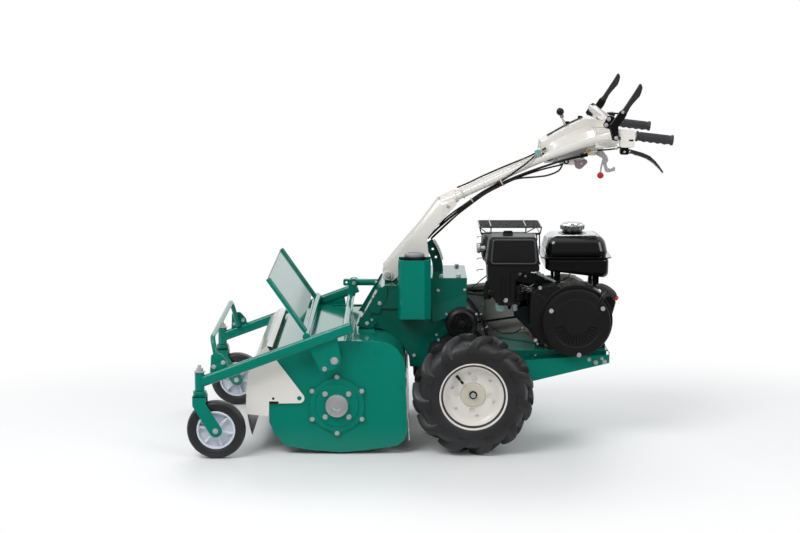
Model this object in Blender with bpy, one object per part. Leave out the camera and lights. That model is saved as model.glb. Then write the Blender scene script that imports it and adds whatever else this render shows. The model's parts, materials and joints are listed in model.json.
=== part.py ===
"""Walk-behind hammer knife mower, modelled in metres.

The front of the machine points to -X, its left side to -Y and up is +Z. The origin lies on the
ground in the middle of the machine. Each function builds one sub-part of the real product.
"""

import math

import bmesh
import bpy
from mathutils import Matrix, Vector

# Clearances
seat = 0.0003
run = 0.002

# Gauge wheels and front carriage
track_front = 0.785
caster_x = -0.773
caster_trail = 0.054
caster_radius = 0.100
caster_width = 0.042
caster_hub_radius = 0.0655
caster_bore = 0.012
fork_plate = 0.005
fork_width = 0.046
swivel_tube_radius = 0.0165
swivel_tube_low = 0.234
swivel_tube_high = 0.298
arm_height = 0.036
arm_width = 0.026
arm_front_z = 0.262
arm_rear_x = -0.272
arm_rear_z = 0.447
cross_tube_radius = 0.0135
shield_tube_radius = 0.009
guard_tube_radius = 0.0085

# Cutting head
deck_gap = 0.0295
deck_half_width = track_front / 2 - arm_width / 2 - deck_gap
side_plate = 0.005
hood_wall = 0.003
hood_top_z = 0.394
step_z = 0.178
step_x = -0.543
flap_pivot_x = -0.439
flap_pivot_z = 0.198
frame_pivot_x = -0.318
frame_pivot_z = 0.335
rotor_x = -0.311
rotor_z = 0.174
drum_radius = 0.045
pin_circle = 0.085
pin_radius = 0.005
knife_length = 0.072
knife_width = 0.020
knife_thickness = 0.006

# Height adjusting rod
rod_y = deck_half_width - 0.100
rod_z = 0.496
rod_radius = 0.0125

# Rear wheels
track_rear = 0.67
wheel_x = 0.153
tyre_radius = 0.2085
tyre_width = 0.108
rim_radius = 0.1175
bead_radius = 0.103
axle_radius = 0.0125

# Chassis
frame_half_width = 0.140
plate = 0.006

# Engine
crank_x = 0.512
crank_z = 0.441
recoil_radius = 0.123
recoil_face_y = -0.245

# Handle
handle_pivot_x = -0.139
handle_pivot_z = 0.573
tube_radius = 0.015
grip_radius = 0.0165
grip_length = 0.125
grip_y = 0.29
lever_y = 0.318

# Further sizes of the front carriage
small_bolt_x = -0.351
small_bolt_z = 0.307
frame_pin_radius = 0.008
front_cross_x = -0.411
front_cross_z = 0.418
rear_cross_x = -0.2785
rear_cross_z = 0.445
guard_x = -0.733
guard_z = 0.406
guard_half = track_front / 2 - 0.0525
shield_top_x = -0.543
shield_top_z = 0.608
shield_half = deck_half_width - 0.015
swivel_pin_radius = 0.0085
fork_top_z = 0.2195
fork_knee_z = 0.186
clevis_x = -0.268
caster_sides = 16
clevis_half = 0.016
clevis_pin = 0.006
rod_rear_x = -0.090

# Further sizes of the cutting head
hood_rear_x = -0.076
foot_front_x = -0.243
deck_foot_z = 0.007
flap_front_x = -0.621
flap_foot_z = 0.143
flap_step_z = 0.1845
flap_outer = deck_half_width + 0.0065
flap_pin_radius = 0.0077
shaft_radius = 0.015
drum_half = deck_half_width - 0.032
lug_spread = drum_half - 0.018
lug_count = 3
knife_foot = 0.084

# Further sizes of the chassis
guide_x = -0.135
handle_pin = 0.010
column_half = 0.060
canister_depth = 0.082
guard_front_x = -0.103
guard_rear_x = 0.010
rim_half = 0.048
lug_base = 0.034
lug_top = 0.017
lug_sense = 1
lugs_per_side = 11
wheel_sides = 18
dish_floor = -0.0118
wheel_hole_circle = 0.056
wheel_hole_turn = 4
wheel_gap = 0.081
base_half = track_rear / 2 - tyre_width / 2 - wheel_gap
base_front_x = 0.245
base_low = 0.3215
base_high = 0.3260
belt_y = base_half + seat
belt_cover_depth = 0.056
pulley_low = base_half + 0.014
pulley_high = pulley_low + 0.018
axle_face = track_rear / 2 - 0.087
engine_pulley = 0.050
drive_pulley = 0.065
drive_x = 0.150
drive_z = 0.405
groove = 0.009

# Further sizes of the engine
rope_radius = 0.0025
rope_way = Vector((0.55, 0.0, 0.835)).normalized()
grip_depth = 0.009
grip_reach = recoil_radius + 0.0082
grip_rope_x = crank_x + grip_reach * 0.7203
grip_rope_z = crank_z + grip_reach * 0.6936
tank_left_x = 0.394
tank_right_x = 0.640
tank_front_y = -0.150
tank_rear_y = 0.110
tank_seam_z = 0.648
tank_top_z = 0.736
tank_cap_x = 0.512
tank_cap_y = -0.030
cleaner_front_y = -0.215
cleaner_rear_y = -0.082
cleaner_seam_z = 0.635
cleaner_top_z = 0.738

# Further sizes of the handle
column_tube_y = 0.034
grip_start_x = 0.697
grip_start_z = 1.0865
grip_drop = 0.0150
grip_core = 0.0115
console_half = 0.072
gear_x = 0.500
gear_z = 1.0545
lever_x = 0.627
lever_z = 1.082
brake_x = 0.658
brake_z = 1.034
hook_x = 0.594
hook_z = 1.012
hook_y = -0.085
throttle_x = 0.678

green = (0.0, 0.215, 0.155)
dark_green = (0.0, 0.090, 0.062)
ivory = (0.72, 0.69, 0.64)
black = (0.012, 0.012, 0.013)
rubber = (0.028, 0.028, 0.030)
steel = (0.56, 0.57, 0.58)
hub_grey = (0.60, 0.62, 0.70)
casting = (0.10, 0.10, 0.105)


def clear_scene():
    for item in list(bpy.data.objects):
        bpy.data.objects.remove(item)


def make_material(name, colour, roughness=0.4, metallic=0.0):
    material = bpy.data.materials.new(name)
    material.use_nodes = True
    shader = material.node_tree.nodes["Principled BSDF"]
    shader.inputs["Base Color"].default_value = (*colour, 1.0)
    shader.inputs["Roughness"].default_value = roughness
    shader.inputs["Metallic"].default_value = metallic
    return material


# Shapes: each function below returns a closed bmesh in world coordinates

def box(low, high, turn=None):
    shape = bmesh.new()
    bmesh.ops.create_cube(shape, size=1.0)
    low = Vector(low)
    high = Vector(high)
    middle = (low + high) / 2
    for vert in shape.verts:
        vert.co = Vector(vert.co[i] * (high[i] - low[i]) for i in range(3))
    if turn is not None:
        bmesh.ops.transform(shape, matrix=turn, verts=shape.verts)
    bmesh.ops.translate(shape, vec=middle, verts=shape.verts)
    return shape


def rod(start, end, radius, sides=16, end_radius=None):
    start = Vector(start)
    end = Vector(end)
    along = end - start
    shape = bmesh.new()
    bmesh.ops.create_cone(shape, cap_ends=True, segments=sides, radius1=radius,
                          radius2=radius if end_radius is None else end_radius, depth=along.length)
    turn = Vector((0, 0, 1)).rotation_difference(along.normalized()).to_matrix().to_4x4()
    bmesh.ops.transform(shape, matrix=Matrix.Translation((start + end) / 2) @ turn, verts=shape.verts)
    return shape


def extrude_polygon(points, depth):
    shape = bmesh.new()
    face = shape.faces.new([shape.verts.new(point) for point in points])
    result = bmesh.ops.extrude_face_region(shape, geom=[face])
    moved = [item for item in result["geom"] if isinstance(item, bmesh.types.BMVert)]
    bmesh.ops.translate(shape, vec=depth, verts=moved)
    bmesh.ops.recalc_face_normals(shape, faces=shape.faces)
    return shape


def slab_xz(outline, y_low, y_high):
    return extrude_polygon([(x, y_low, z) for x, z in outline], (0, y_high - y_low, 0))


def slab_xy(outline, z_low, z_high):
    return extrude_polygon([(x, y, z_low) for x, y in outline], (0, 0, z_high - z_low))


def slab_yz(outline, x_low, x_high):
    return extrude_polygon([(x_low, y, z) for y, z in outline], (x_high - x_low, 0, 0))


def arc(centre, radius, start, end, steps):
    points = []
    for i in range(steps + 1):
        angle = math.radians(start + (end - start) * i / steps)
        points.append((centre[0] + radius * math.cos(angle), centre[1] + radius * math.sin(angle)))
    return points


def rounded(outline, radius, steps=3):
    """Round each corner of a closed outline, less where its sides are short."""
    result = []
    count = len(outline)
    for i in range(count):
        corner = Vector(outline[i])
        back = Vector(outline[i - 1]) - corner
        forth = Vector(outline[(i + 1) % count]) - corner
        reach = min(radius, back.length * 0.45, forth.length * 0.45)
        first = corner + back.normalized() * reach
        last = corner + forth.normalized() * reach
        for step in range(steps + 1):
            t = step / steps
            point = first * (1 - t) ** 2 + corner * 2 * t * (1 - t) + last * t ** 2
            result.append((point.x, point.y))
    return result


def spin(profile, centre, axis="Y", sides=32):
    """Turn a closed (radius, distance along the axis) outline round its axis."""
    shape = bmesh.new()
    rings = []
    for i in range(sides):
        angle = 2 * math.pi * i / sides
        ring = []
        for radius, along in profile:
            if radius < 1e-6 and rings:
                ring.append(rings[0][len(ring)])
                continue
            a = max(radius, 0.0) * math.cos(angle)
            b = max(radius, 0.0) * math.sin(angle)
            place = {"X": (along, a, b), "Y": (a, along, b), "Z": (a, b, along)}[axis]
            ring.append(shape.verts.new(Vector(centre) + Vector(place)))
        rings.append(ring)
    for i in range(sides):
        ring = rings[i]
        after = rings[(i + 1) % sides]
        for j in range(len(profile)):
            k = (j + 1) % len(profile)
            corners = []
            for vert in (ring[j], ring[k], after[k], after[j]):
                if vert not in corners:
                    corners.append(vert)
            if len(corners) > 2:
                shape.faces.new(corners)
    bmesh.ops.recalc_face_normals(shape, faces=shape.faces)
    return shape


def sweep(points, radius, sides=10, radii=None):
    """A round bar along a path, with flat ends."""
    points = [Vector(point) for point in points]
    shape = bmesh.new()
    rings = []
    normal = None
    for i, point in enumerate(points):
        back = points[max(i - 1, 0)]
        forth = points[min(i + 1, len(points) - 1)]
        if 0 < i < len(points) - 1:
            along = (forth - point).normalized() + (point - back).normalized()
        else:
            along = forth - back
        along.normalize()
        if normal is None:
            normal = along.orthogonal().normalized()
        normal = (normal - along * normal.dot(along)).normalized()
        side = along.cross(normal)
        stretch = 1.0
        if 0 < i < len(points) - 1:
            bend = (forth - point).normalized().dot((point - back).normalized())
            stretch = 1.0 / max(math.sqrt((1 + bend) / 2), 0.5)
            fold = (forth - point).normalized() - (point - back).normalized()
        size = radius if radii is None else radii[i]
        ring = []
        for j in range(sides):
            angle = 2 * math.pi * (j + 0.5) / sides
            offset = (normal * math.cos(angle) + side * math.sin(angle)) * size
            if stretch > 1.0001:
                outward = fold.normalized()
                offset += outward * offset.dot(outward) * (stretch - 1.0)
            ring.append(shape.verts.new(point + offset))
        rings.append(ring)
    for ring, after in zip(rings, rings[1:]):
        for j in range(sides):
            k = (j + 1) % sides
            shape.faces.new((ring[j], ring[k], after[k], after[j]))
    shape.faces.new(rings[0])
    shape.faces.new(rings[-1])
    bmesh.ops.recalc_face_normals(shape, faces=shape.faces)
    return shape


def bend_path(corners, radius, steps=4):
    """Replace each inner corner of a path by an arc of the given bend radius."""
    corners = [Vector(corner) for corner in corners]
    path = [corners[0]]
    for before, corner, after in zip(corners, corners[1:], corners[2:]):
        back = (before - corner).normalized()
        forth = (after - corner).normalized()
        half = math.acos(max(-1.0, min(1.0, back.dot(forth)))) / 2
        reach = radius / math.tan(half)
        reach = min(reach, (before - corner).length * 0.48, (after - corner).length * 0.48)
        size = reach * math.tan(half)
        centre = corner + (back + forth).normalized() * (size / math.sin(half))
        first = corner + back * reach - centre
        last = corner + forth * reach - centre
        turn = first.angle(last)
        for step in range(steps + 1):
            t = step / steps
            weight_a = math.sin((1 - t) * turn) / math.sin(turn)
            weight_b = math.sin(t * turn) / math.sin(turn)
            path.append(centre + first * weight_a + last * weight_b)
    path.append(corners[-1])
    return path


def smooth_path(points, steps):
    """Points along a smooth curve through the given ones."""
    points = [Vector(point) for point in points]
    ends = [points[0] * 2 - points[1]] + points + [points[-1] * 2 - points[-2]]
    path = []
    for i in range(1, len(ends) - 2):
        before, a, b, after = ends[i - 1:i + 3]
        for step in range(steps):
            t = step / steps
            path.append(0.5 * (a * 2 + (b - before) * t + (before * 2 - a * 5 + b * 4 - after) * t ** 2
                               + (a * 3 - before - b * 3 + after) * t ** 3))
    path.append(points[-1])
    return path


def hole(radius, sides):
    """Radius of a faceted hole whose flats clear a round pin of the given radius."""
    return (radius + seat) / math.cos(math.pi / sides)


def hex_bolt(place, direction, size, height):
    """Bolt head or nut that stands on a surface and sinks a little into it."""
    place = Vector(place)
    direction = Vector(direction).normalized()
    return rod(place - direction * 0.0015, place + direction * height, size / 2 / math.cos(math.pi / 6), 6)


def turned(angle, axis):
    return Matrix.Rotation(math.radians(angle), 4, axis)


def placed(shape, matrix):
    bmesh.ops.transform(shape, matrix=matrix, verts=shape.verts)
    return shape


def temporary(shape, collection):
    mesh = bpy.data.meshes.new("shape")
    shape.to_mesh(mesh)
    shape.free()
    item = bpy.data.objects.new("shape", mesh)
    collection.objects.link(item)
    return item


def finish(name, mesh, material, origin, smooth):
    mesh.name = name
    mesh.materials.clear()
    mesh.materials.append(material)
    mesh.transform(Matrix.Translation(-Vector(origin)))
    if smooth:
        mesh.shade_smooth()
        mesh.set_sharp_from_angle(angle=math.radians(smooth))
    item = bpy.data.objects.new(name, mesh)
    item.location = origin
    bpy.context.scene.collection.objects.link(item)
    return item


def solid(name, shape, material, origin=(0, 0, 0), smooth=35):
    """One node from one closed shape."""
    mesh = bpy.data.meshes.new(name)
    shape.to_mesh(mesh)
    shape.free()
    return finish(name, mesh, material, origin, smooth)


def fuse(name, shapes, material, cuts=(), origin=(0, 0, 0), smooth=35):
    """One node from overlapping shapes joined into one body, less what is cut out of it."""
    adds = bpy.data.collections.new(name + "_add")
    takes = bpy.data.collections.new(name + "_cut")
    for collection in (adds, takes):
        bpy.context.scene.collection.children.link(collection)
    base = temporary(shapes[0], bpy.context.scene.collection)
    helpers = [temporary(shape, adds) for shape in shapes[1:]]
    helpers += [temporary(shape, takes) for shape in cuts]
    for collection, operation in ((adds, "UNION"), (takes, "DIFFERENCE")):
        if not collection.objects:
            continue
        modifier = base.modifiers.new(operation, "BOOLEAN")
        modifier.operation = operation
        modifier.solver = "EXACT"
        modifier.operand_type = "COLLECTION"
        modifier.collection = collection
    depsgraph = bpy.context.evaluated_depsgraph_get()
    mesh = bpy.data.meshes.new_from_object(base.evaluated_get(depsgraph), depsgraph=depsgraph)
    for item in helpers + [base]:
        bpy.data.objects.remove(item)
    for collection in (adds, takes):
        bpy.data.collections.remove(collection)
    tidy = bmesh.new()
    tidy.from_mesh(mesh)
    bmesh.ops.remove_doubles(tidy, verts=tidy.verts, dist=2e-6)
    bmesh.ops.dissolve_degenerate(tidy, dist=1e-6, edges=tidy.edges)
    bmesh.ops.dissolve_limit(tidy, angle_limit=0.002, verts=tidy.verts, edges=tidy.edges)
    tidy.to_mesh(mesh)
    tidy.free()
    return finish(name, mesh, material, origin, smooth)


def offset_path(path, distance):
    """The same open path moved sideways, to the left of its direction."""
    path = [Vector(point) for point in path]
    result = []
    for i, point in enumerate(path):
        back = (point - path[max(i - 1, 0)])
        forth = (path[min(i + 1, len(path) - 1)] - point)
        if i == 0:
            back = forth
        if i == len(path) - 1:
            forth = back
        normal_a = Vector((-back.y, back.x)).normalized()
        normal_b = Vector((-forth.y, forth.x)).normalized()
        middle = (normal_a + normal_b).normalized()
        reach = distance / max(middle.dot(normal_a), 0.3)
        result.append(tuple(point + middle * reach))
    return result


def folded_strip(path, wall):
    """Closed outline of a sheet of the given wall, folded along a path."""
    return list(path) + offset_path(path, wall)[::-1]


def arm_centre_z(x):
    slope = (arm_rear_z - arm_front_z) / (arm_rear_x - caster_x)
    return arm_front_z + (x - caster_x) * slope


# Front carriage

def front_arm(side):
    """Oval bar that rises from the swivel tube to the rear cross tube."""
    run_x = arm_rear_x - caster_x
    rise = arm_rear_z - arm_front_z
    length = math.hypot(run_x, rise)
    section = rounded([(-arm_width / 2, -arm_height / 2), (arm_width / 2, -arm_height / 2),
                       (arm_width / 2, arm_height / 2), (-arm_width / 2, arm_height / 2)],
                      arm_width * 0.40, 2)
    bar = slab_yz(section, 0.0, length + arm_height * 0.4)
    slope = math.degrees(math.atan2(rise, run_x))
    matrix = Matrix.Translation((caster_x, side * track_front / 2, arm_front_z)) @ turned(-slope, "Y")
    return placed(bar, matrix)


def gusset_outline():
    """Plate that hangs the arm on its pivot bolt."""
    low_front = (frame_pivot_x - 0.058, frame_pivot_z - 0.012)
    return rounded([(frame_pivot_x - 0.095, arm_centre_z(frame_pivot_x - 0.095)), low_front,
                    (small_bolt_x - 0.012, small_bolt_z - 0.016), (frame_pivot_x + 0.010, frame_pivot_z - 0.026),
                    (frame_pivot_x + 0.024, frame_pivot_z - 0.002),
                    (frame_pivot_x + 0.008, arm_centre_z(frame_pivot_x + 0.008))], 0.010, 1)


def guard_tab_outline():
    """Ear on top of the arm that carries the guard."""
    base = arm_centre_z(guard_x)
    return rounded([(guard_x - 0.006, base), (guard_x - 0.004, base + 0.042), (guard_x + 0.050, base + 0.062),
                    (guard_x + 0.062, base + 0.010)], 0.006, 1)


def make_front_frame(paint):
    ear_inner = track_front / 2 - arm_width / 2 + 0.003
    ear_outer = ear_inner + plate
    boss_inner = deck_half_width + run
    shapes = []
    cuts = []
    for side in (-1, 1):
        y = side * track_front / 2
        tube = rod((caster_x, y, swivel_tube_low), (caster_x, y, swivel_tube_high), swivel_tube_radius, 10)
        cuts.append(rod((caster_x, y, swivel_tube_low - 0.01), (caster_x, y, swivel_tube_high + 0.01),
                        hole(swivel_pin_radius, 8), 8))
        shapes += [tube, front_arm(side)]
        faces = sorted((side * ear_inner, side * ear_outer))
        shapes.append(slab_xz(gusset_outline(), *faces))
        shapes.append(slab_xz(guard_tab_outline(), *faces))
        shapes.append(rod((frame_pivot_x, side * boss_inner, frame_pivot_z),
                          (frame_pivot_x, side * (ear_inner + 0.001), frame_pivot_z), 0.019, 8))
        shapes.append(rod((frame_pivot_x, side * (deck_half_width - side_plate - 0.004), frame_pivot_z),
                          (frame_pivot_x, side * ear_inner, frame_pivot_z), frame_pin_radius, 8))
        shapes.append(hex_bolt((frame_pivot_x, side * ear_outer, frame_pivot_z), (0, side, 0), 0.024, 0.011))
    reach = track_front / 2
    shapes.append(rod((front_cross_x, -reach, front_cross_z), (front_cross_x, reach, front_cross_z),
                      cross_tube_radius, 10))
    shapes.append(rod((rear_cross_x, -reach, rear_cross_z), (rear_cross_x, reach, rear_cross_z),
                      cross_tube_radius, 10))
    for side in (-1, 1):
        near = rod_y + side * (clevis_half + seat * 2)
        lug = rounded([(rear_cross_x - 0.014, rear_cross_z - 0.004), (rear_cross_x + 0.014, rear_cross_z - 0.004),
                       (clevis_x + 0.016, rod_z + 0.016), (clevis_x - 0.016, rod_z + 0.016)], 0.012, 1)
        shapes.append(slab_xz(lug, *sorted((near, near + side * 0.005))))
    wide = clevis_pin + 0.0007
    slot = rounded([(clevis_x - wide, rod_z - clevis_pin - 0.0068), (clevis_x + wide, rod_z - clevis_pin - 0.0068),
                    (clevis_x + wide, rod_z + clevis_pin + 0.001), (clevis_x - wide, rod_z + clevis_pin + 0.001)],
                   clevis_pin * 0.5, 2)
    cuts.append(slab_xz(slot, rod_y - 0.04, rod_y + 0.04))
    return fuse("front_frame", shapes, paint, cuts, origin=(frame_pivot_x, 0, frame_pivot_z))


def make_front_guard(paint):
    """Bent bar in front of the gauge wheels, on two bracket plates."""
    y_plate = track_front / 2 - arm_width / 2 + 0.003 - seat
    base = arm_centre_z(guard_x)
    path = [(guard_x + 0.022, -y_plate + 0.012, base + 0.030), (guard_x + 0.010, -y_plate + 0.022, base + 0.086),
            (guard_x, -guard_half, guard_z), (guard_x, guard_half, guard_z),
            (guard_x + 0.010, y_plate - 0.022, base + 0.086), (guard_x + 0.022, y_plate - 0.012, base + 0.030)]
    shapes = [sweep(bend_path(path, 0.030, 2), guard_tube_radius, 6)]
    for side in (-1, 1):
        outline = rounded([(guard_x - 0.004, base + 0.023), (guard_x - 0.002, base + 0.078),
                           (guard_x + 0.030, base + 0.084), (guard_x + 0.053, base + 0.056),
                           (guard_x + 0.052, base + 0.045)], 0.004, 1)
        faces = sorted((side * y_plate, side * (y_plate - 0.005)))
        shapes.append(slab_xz(outline, *faces))
        shapes.append(box((guard_x + 0.012, min(side * (y_plate - 0.004), side * (y_plate - 0.014)), base + 0.034),
                          (guard_x + 0.032, max(side * (y_plate - 0.004), side * (y_plate - 0.014)), base + 0.060)))
    return fuse("front_guard", shapes, paint, origin=(guard_x, 0, guard_z))


def make_front_shield(paint):
    """Inclined sheet with a bar along each side, which stands on the front cross tube."""
    top = Vector((shield_top_x, shield_top_z))
    foot = Vector((front_cross_x, front_cross_z))
    along = (top - foot).normalized()
    lift = Vector((-along.y, along.x))
    sheet_foot = foot + along * 0.028
    shapes = [slab_xz([tuple(sheet_foot), tuple(sheet_foot + lift * 0.002), tuple(top + lift * 0.002), tuple(top)],
                      -shield_half, shield_half)]
    cuts = []
    for side in (-1, 1):
        y = side * shield_half
        shapes.append(sweep([(foot.x, y, foot.y), (top.x, y, top.y)], shield_tube_radius, 8))
    cuts.append(rod((foot.x, -shield_half - 0.03, foot.y), (foot.x, shield_half + 0.03, foot.y),
                    hole(cross_tube_radius, 10), 10))
    normal = Vector((lift.x, 0, lift.y))
    for i in range(3):
        y = shield_half * (i - 1) / 1.3
        place = Vector((top.x - along.x * 0.012, y, top.y - along.y * 0.012))
        cuts.append(rod(place - normal * 0.01, place + normal * 0.01, 0.003, 6))
    return fuse("front_shield", shapes, paint, cuts, origin=(foot.x, 0, foot.y))


def fork_leg_outline():
    foot = Vector((caster_x + caster_trail, caster_radius))
    half = fork_width / 2
    lean_front = Vector((caster_x - half, fork_knee_z))
    lean_rear = Vector((caster_x + half, fork_knee_z + 0.006))
    outline = [(caster_x + half, fork_top_z), (caster_x - half, fork_top_z), tuple(lean_front)]
    outline += arc(tuple(foot), 0.022, 208, 388, 6)
    outline.append(tuple(lean_rear))
    return outline


def make_fork(side, paint):
    name = "caster_fork_" + ("left" if side < 0 else "right")
    y = side * track_front / 2
    inner = caster_width / 2 + 0.005
    outer = inner + fork_plate
    axle_x = caster_x + caster_trail
    shapes = [box((caster_x - fork_width / 2, y - outer, fork_top_z - fork_plate),
                  (caster_x + fork_width / 2, y + outer, fork_top_z))]
    for hand in (-1, 1):
        faces = sorted((y + hand * inner, y + hand * outer))
        shapes.append(slab_xz(fork_leg_outline(), *faces))
        shapes.append(hex_bolt((axle_x, y + hand * outer, caster_radius), (0, hand, 0), 0.018, 0.009))
    shapes.append(rod((axle_x, y - inner - 0.001, caster_radius), (axle_x, y + inner + 0.001, caster_radius),
                      caster_bore / 2, 8))
    low = fork_top_z - 0.001
    collar = swivel_tube_low - seat
    washer = swivel_tube_high + seat
    profile = [(0.0, low), (0.023, low), (0.023, collar), (swivel_pin_radius, collar), (swivel_pin_radius, washer),
               (0.020, washer), (0.020, washer + 0.004), (0.013, washer + 0.004), (0.011, washer + 0.015),
               (0.006, washer + 0.015), (0.005, washer + 0.026), (0.0, washer + 0.026)]
    shapes.append(spin(profile, (caster_x, y, 0), "Z", 8))
    return fuse(name, shapes, paint, origin=(caster_x, y, swivel_tube_low))


def make_caster_tyre(side, material):
    name = "caster_tyre_" + ("left" if side < 0 else "right")
    centre = (caster_x + caster_trail, side * track_front / 2, caster_radius)
    inner = caster_hub_radius + seat
    half = caster_width / 2
    profile = [(inner, -half * 0.86), (inner + 0.010, -half), (caster_radius - 0.010, -half * 0.90),
               (caster_radius, -half * 0.30), (caster_radius, half * 0.30), (caster_radius - 0.010, half * 0.90),
               (inner + 0.010, half), (inner, half * 0.86)]
    return solid(name, spin(profile, centre, "Y", caster_sides), material, centre, 50)


def make_caster_hub(side, material):
    """Moulded wheel centre with five ribs on each face."""
    name = "caster_hub_" + ("left" if side < 0 else "right")
    centre = Vector((caster_x + caster_trail, side * track_front / 2, caster_radius))
    half = caster_width / 2
    boss = half + 0.003
    bore = hole(caster_bore / 2, caster_sides)
    lip = caster_hub_radius - 0.007
    web = 0.005
    profile = [(bore, -boss), (0.017, -boss), (0.019, -web), (lip, -web), (lip + 0.001, -half * 0.84),
               (caster_hub_radius, -half * 0.84), (caster_hub_radius, half * 0.84), (lip + 0.001, half * 0.84),
               (lip, web), (0.019, web), (0.017, boss), (bore, boss)]
    shapes = [spin(profile, centre, "Y", caster_sides)]
    for i in range(5):
        rib = box((0.012, -half * 0.66, -0.005), (caster_hub_radius - 0.003, half * 0.66, 0.005))
        place = Matrix.Translation(centre) @ turned(72 * i + 18, "Y")
        shapes.append(placed(rib, place))
    return fuse(name, shapes, material, origin=centre)


def make_height_rod(paint):
    """Bar that tilts the front frame when it is slid to and fro."""
    front = clevis_x - 0.040
    flat = slab_xz(rounded([(front, rod_z - 0.013), (front, rod_z + 0.013), (clevis_x - 0.008, rod_z + 0.010),
                            (clevis_x - 0.008, rod_z - 0.010)], 0.004, 2), rod_y - 0.006, rod_y + 0.006)
    shapes = [flat, rod((clevis_x - 0.010, rod_y, rod_z), (rod_rear_x, rod_y, rod_z), rod_radius, 10),
              rod((clevis_x, rod_y - clevis_half, rod_z), (clevis_x, rod_y + clevis_half, rod_z), 0.0155, 10),
              rod((clevis_x, rod_y - clevis_half - 0.012, rod_z), (clevis_x, rod_y + clevis_half + 0.012, rod_z),
                  clevis_pin, 6)]
    cuts = [rod((front + 0.012, rod_y - 0.03, rod_z), (front + 0.012, rod_y + 0.03, rod_z), 0.004, 8),
            rod((rod_rear_x - 0.016, rod_y, rod_z - 0.03), (rod_rear_x - 0.016, rod_y, rod_z + 0.03), 0.003, 8)]
    return fuse("height_rod", shapes, paint, cuts, origin=(clevis_x, rod_y, rod_z))


# Cutting head

def hood_path():
    """Outer side of the hood from its front edge over the top and down behind."""
    top = [(-0.525, 0.362), (-0.470, 0.383), (-0.410, hood_top_z - 0.003), (-0.300, hood_top_z - 0.002)]
    rear = (hood_rear_x - 0.001, 0.290)
    knee = (-0.170, hood_top_z - 0.002)
    curve = [(knee[0] + (rear[0] - knee[0]) * math.sin(a), rear[1] + (knee[1] - rear[1]) * math.cos(a))
             for a in (math.pi / 2 * i / 6 for i in range(7))]
    return top + curve + [(rear[0], 0.262)]


def make_hood(paint):
    half = deck_half_width - side_plate - seat
    path = hood_path()
    outline = folded_strip(path, -hood_wall)
    shapes = [slab_xz(outline, -half, half)]
    rail = [(-0.523, 0.360), (-0.503, 0.368), (-0.500, 0.348), (-0.512, 0.343)]
    shapes.append(slab_xz(rail, -half, half))
    for y in (-frame_half_width, frame_half_width):
        shapes.append(box((foot_front_x, y - 0.022, hood_top_z - 0.005), (foot_front_x + 0.058, y + 0.022,
                                                                       hood_top_z + 0.004)))
    return fuse("deck_hood", shapes, paint, origin=(-0.3, 0, hood_top_z))


def side_outline():
    """Side plate: its top follows the hood, its foot sweeps close over the ground."""
    top = [(x, z + 0.003) for x, z in hood_path()]
    front = [(step_x + 0.038, step_z + 0.002), (step_x + 0.006, 0.300), (-0.526, 0.350)]
    foot = [(-0.072, 0.086), (-0.080, 0.052), (-0.103, 0.031), (-0.196, 0.016), (-0.300, deck_foot_z),
            (-0.418, 0.017), (-0.490, 0.031), (-0.527, 0.075), (step_x, 0.115), (step_x, step_z)]
    top[-1] = (hood_rear_x, 0.262)
    return front + top + foot


def make_side_plate(side, paint):
    name = "side_plate_" + ("left" if side < 0 else "right")
    inner = side * (deck_half_width - side_plate)
    outer = side * deck_half_width
    shapes = [slab_xz(side_outline(), *sorted((inner, outer)))]
    bead_top = [(-0.35, hood_top_z - 0.001), (-0.18, hood_top_z - 0.001), (-0.18, hood_top_z + 0.002),
                (-0.35, hood_top_z + 0.002)]
    shapes.append(slab_xz(bead_top, *sorted((side * (deck_half_width - 0.016), side * (deck_half_width - 0.001)))))
    shapes.append(rod((flap_pivot_x, inner, flap_pivot_z), (flap_pivot_x, side * flap_outer, flap_pivot_z),
                      flap_pin_radius, 10))
    cuts = [rod((rotor_x, inner - side * 0.02, rotor_z), (rotor_x, outer + side * 0.02, rotor_z), 0.052, 14),
            rod((frame_pivot_x, inner - side * 0.02, frame_pivot_z), (frame_pivot_x, outer + side * 0.02,
                                                                   frame_pivot_z), hole(frame_pin_radius, 10), 10)]
    for x, z in ((-0.178, 0.357), (-0.092, 0.237)):
        cuts.append(rod((x, inner - side * 0.02, z), (x, outer + side * 0.02, z), 0.004, 8))
    return fuse(name, shapes, paint, cuts, origin=(-0.3, outer, 0.2))


def flange_outline(radius, bolt_circle, lobe, bolts=6):
    """Round plate with a lobe at each bolt."""
    points = []
    for i in range(bolts):
        middle = 90 + 360 / bolts * i
        centre = (rotor_x + bolt_circle * math.cos(math.radians(middle)),
                  rotor_z + bolt_circle * math.sin(math.radians(middle)))
        points += arc((rotor_x, rotor_z), radius, middle - 18, middle - 14, 1)[:1]
        points += arc(centre, lobe, middle - 80, middle + 80, 3)
        points += arc((rotor_x, rotor_z), radius, middle + 18, middle + 42, 2)[:-1]
    return points


def make_bearing_housing(paint):
    """Flanged housing of the left rotor bearing, with its domed cap."""
    face = -deck_half_width - seat
    flange = face - 0.006
    hub = [(0.034, face + 0.030), (0.050, face + 0.030), (0.050, flange - 0.004), (0.041, flange - 0.008),
           (0.040, flange - 0.016), (0.034, flange - 0.020), (0.012, flange - 0.022), (0.012, flange - 0.026),
           (0.0, flange - 0.026), (0.0, flange - 0.004), (0.030, flange - 0.004)]
    shapes = [slab_xz(flange_outline(0.090, 0.098, 0.014), flange, face), spin(hub, (rotor_x, 0, rotor_z), "Y", 16),
              rod((rotor_x, face + 0.024, rotor_z), (rotor_x, flange - 0.002, rotor_z), 0.040, 12)]
    cuts = [rod((rotor_x, face + 0.04, rotor_z), (rotor_x, flange - 0.003, rotor_z), hole(shaft_radius, 10), 10)]
    return fuse("bearing_housing", shapes, paint, cuts, origin=(rotor_x, face, rotor_z))


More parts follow.
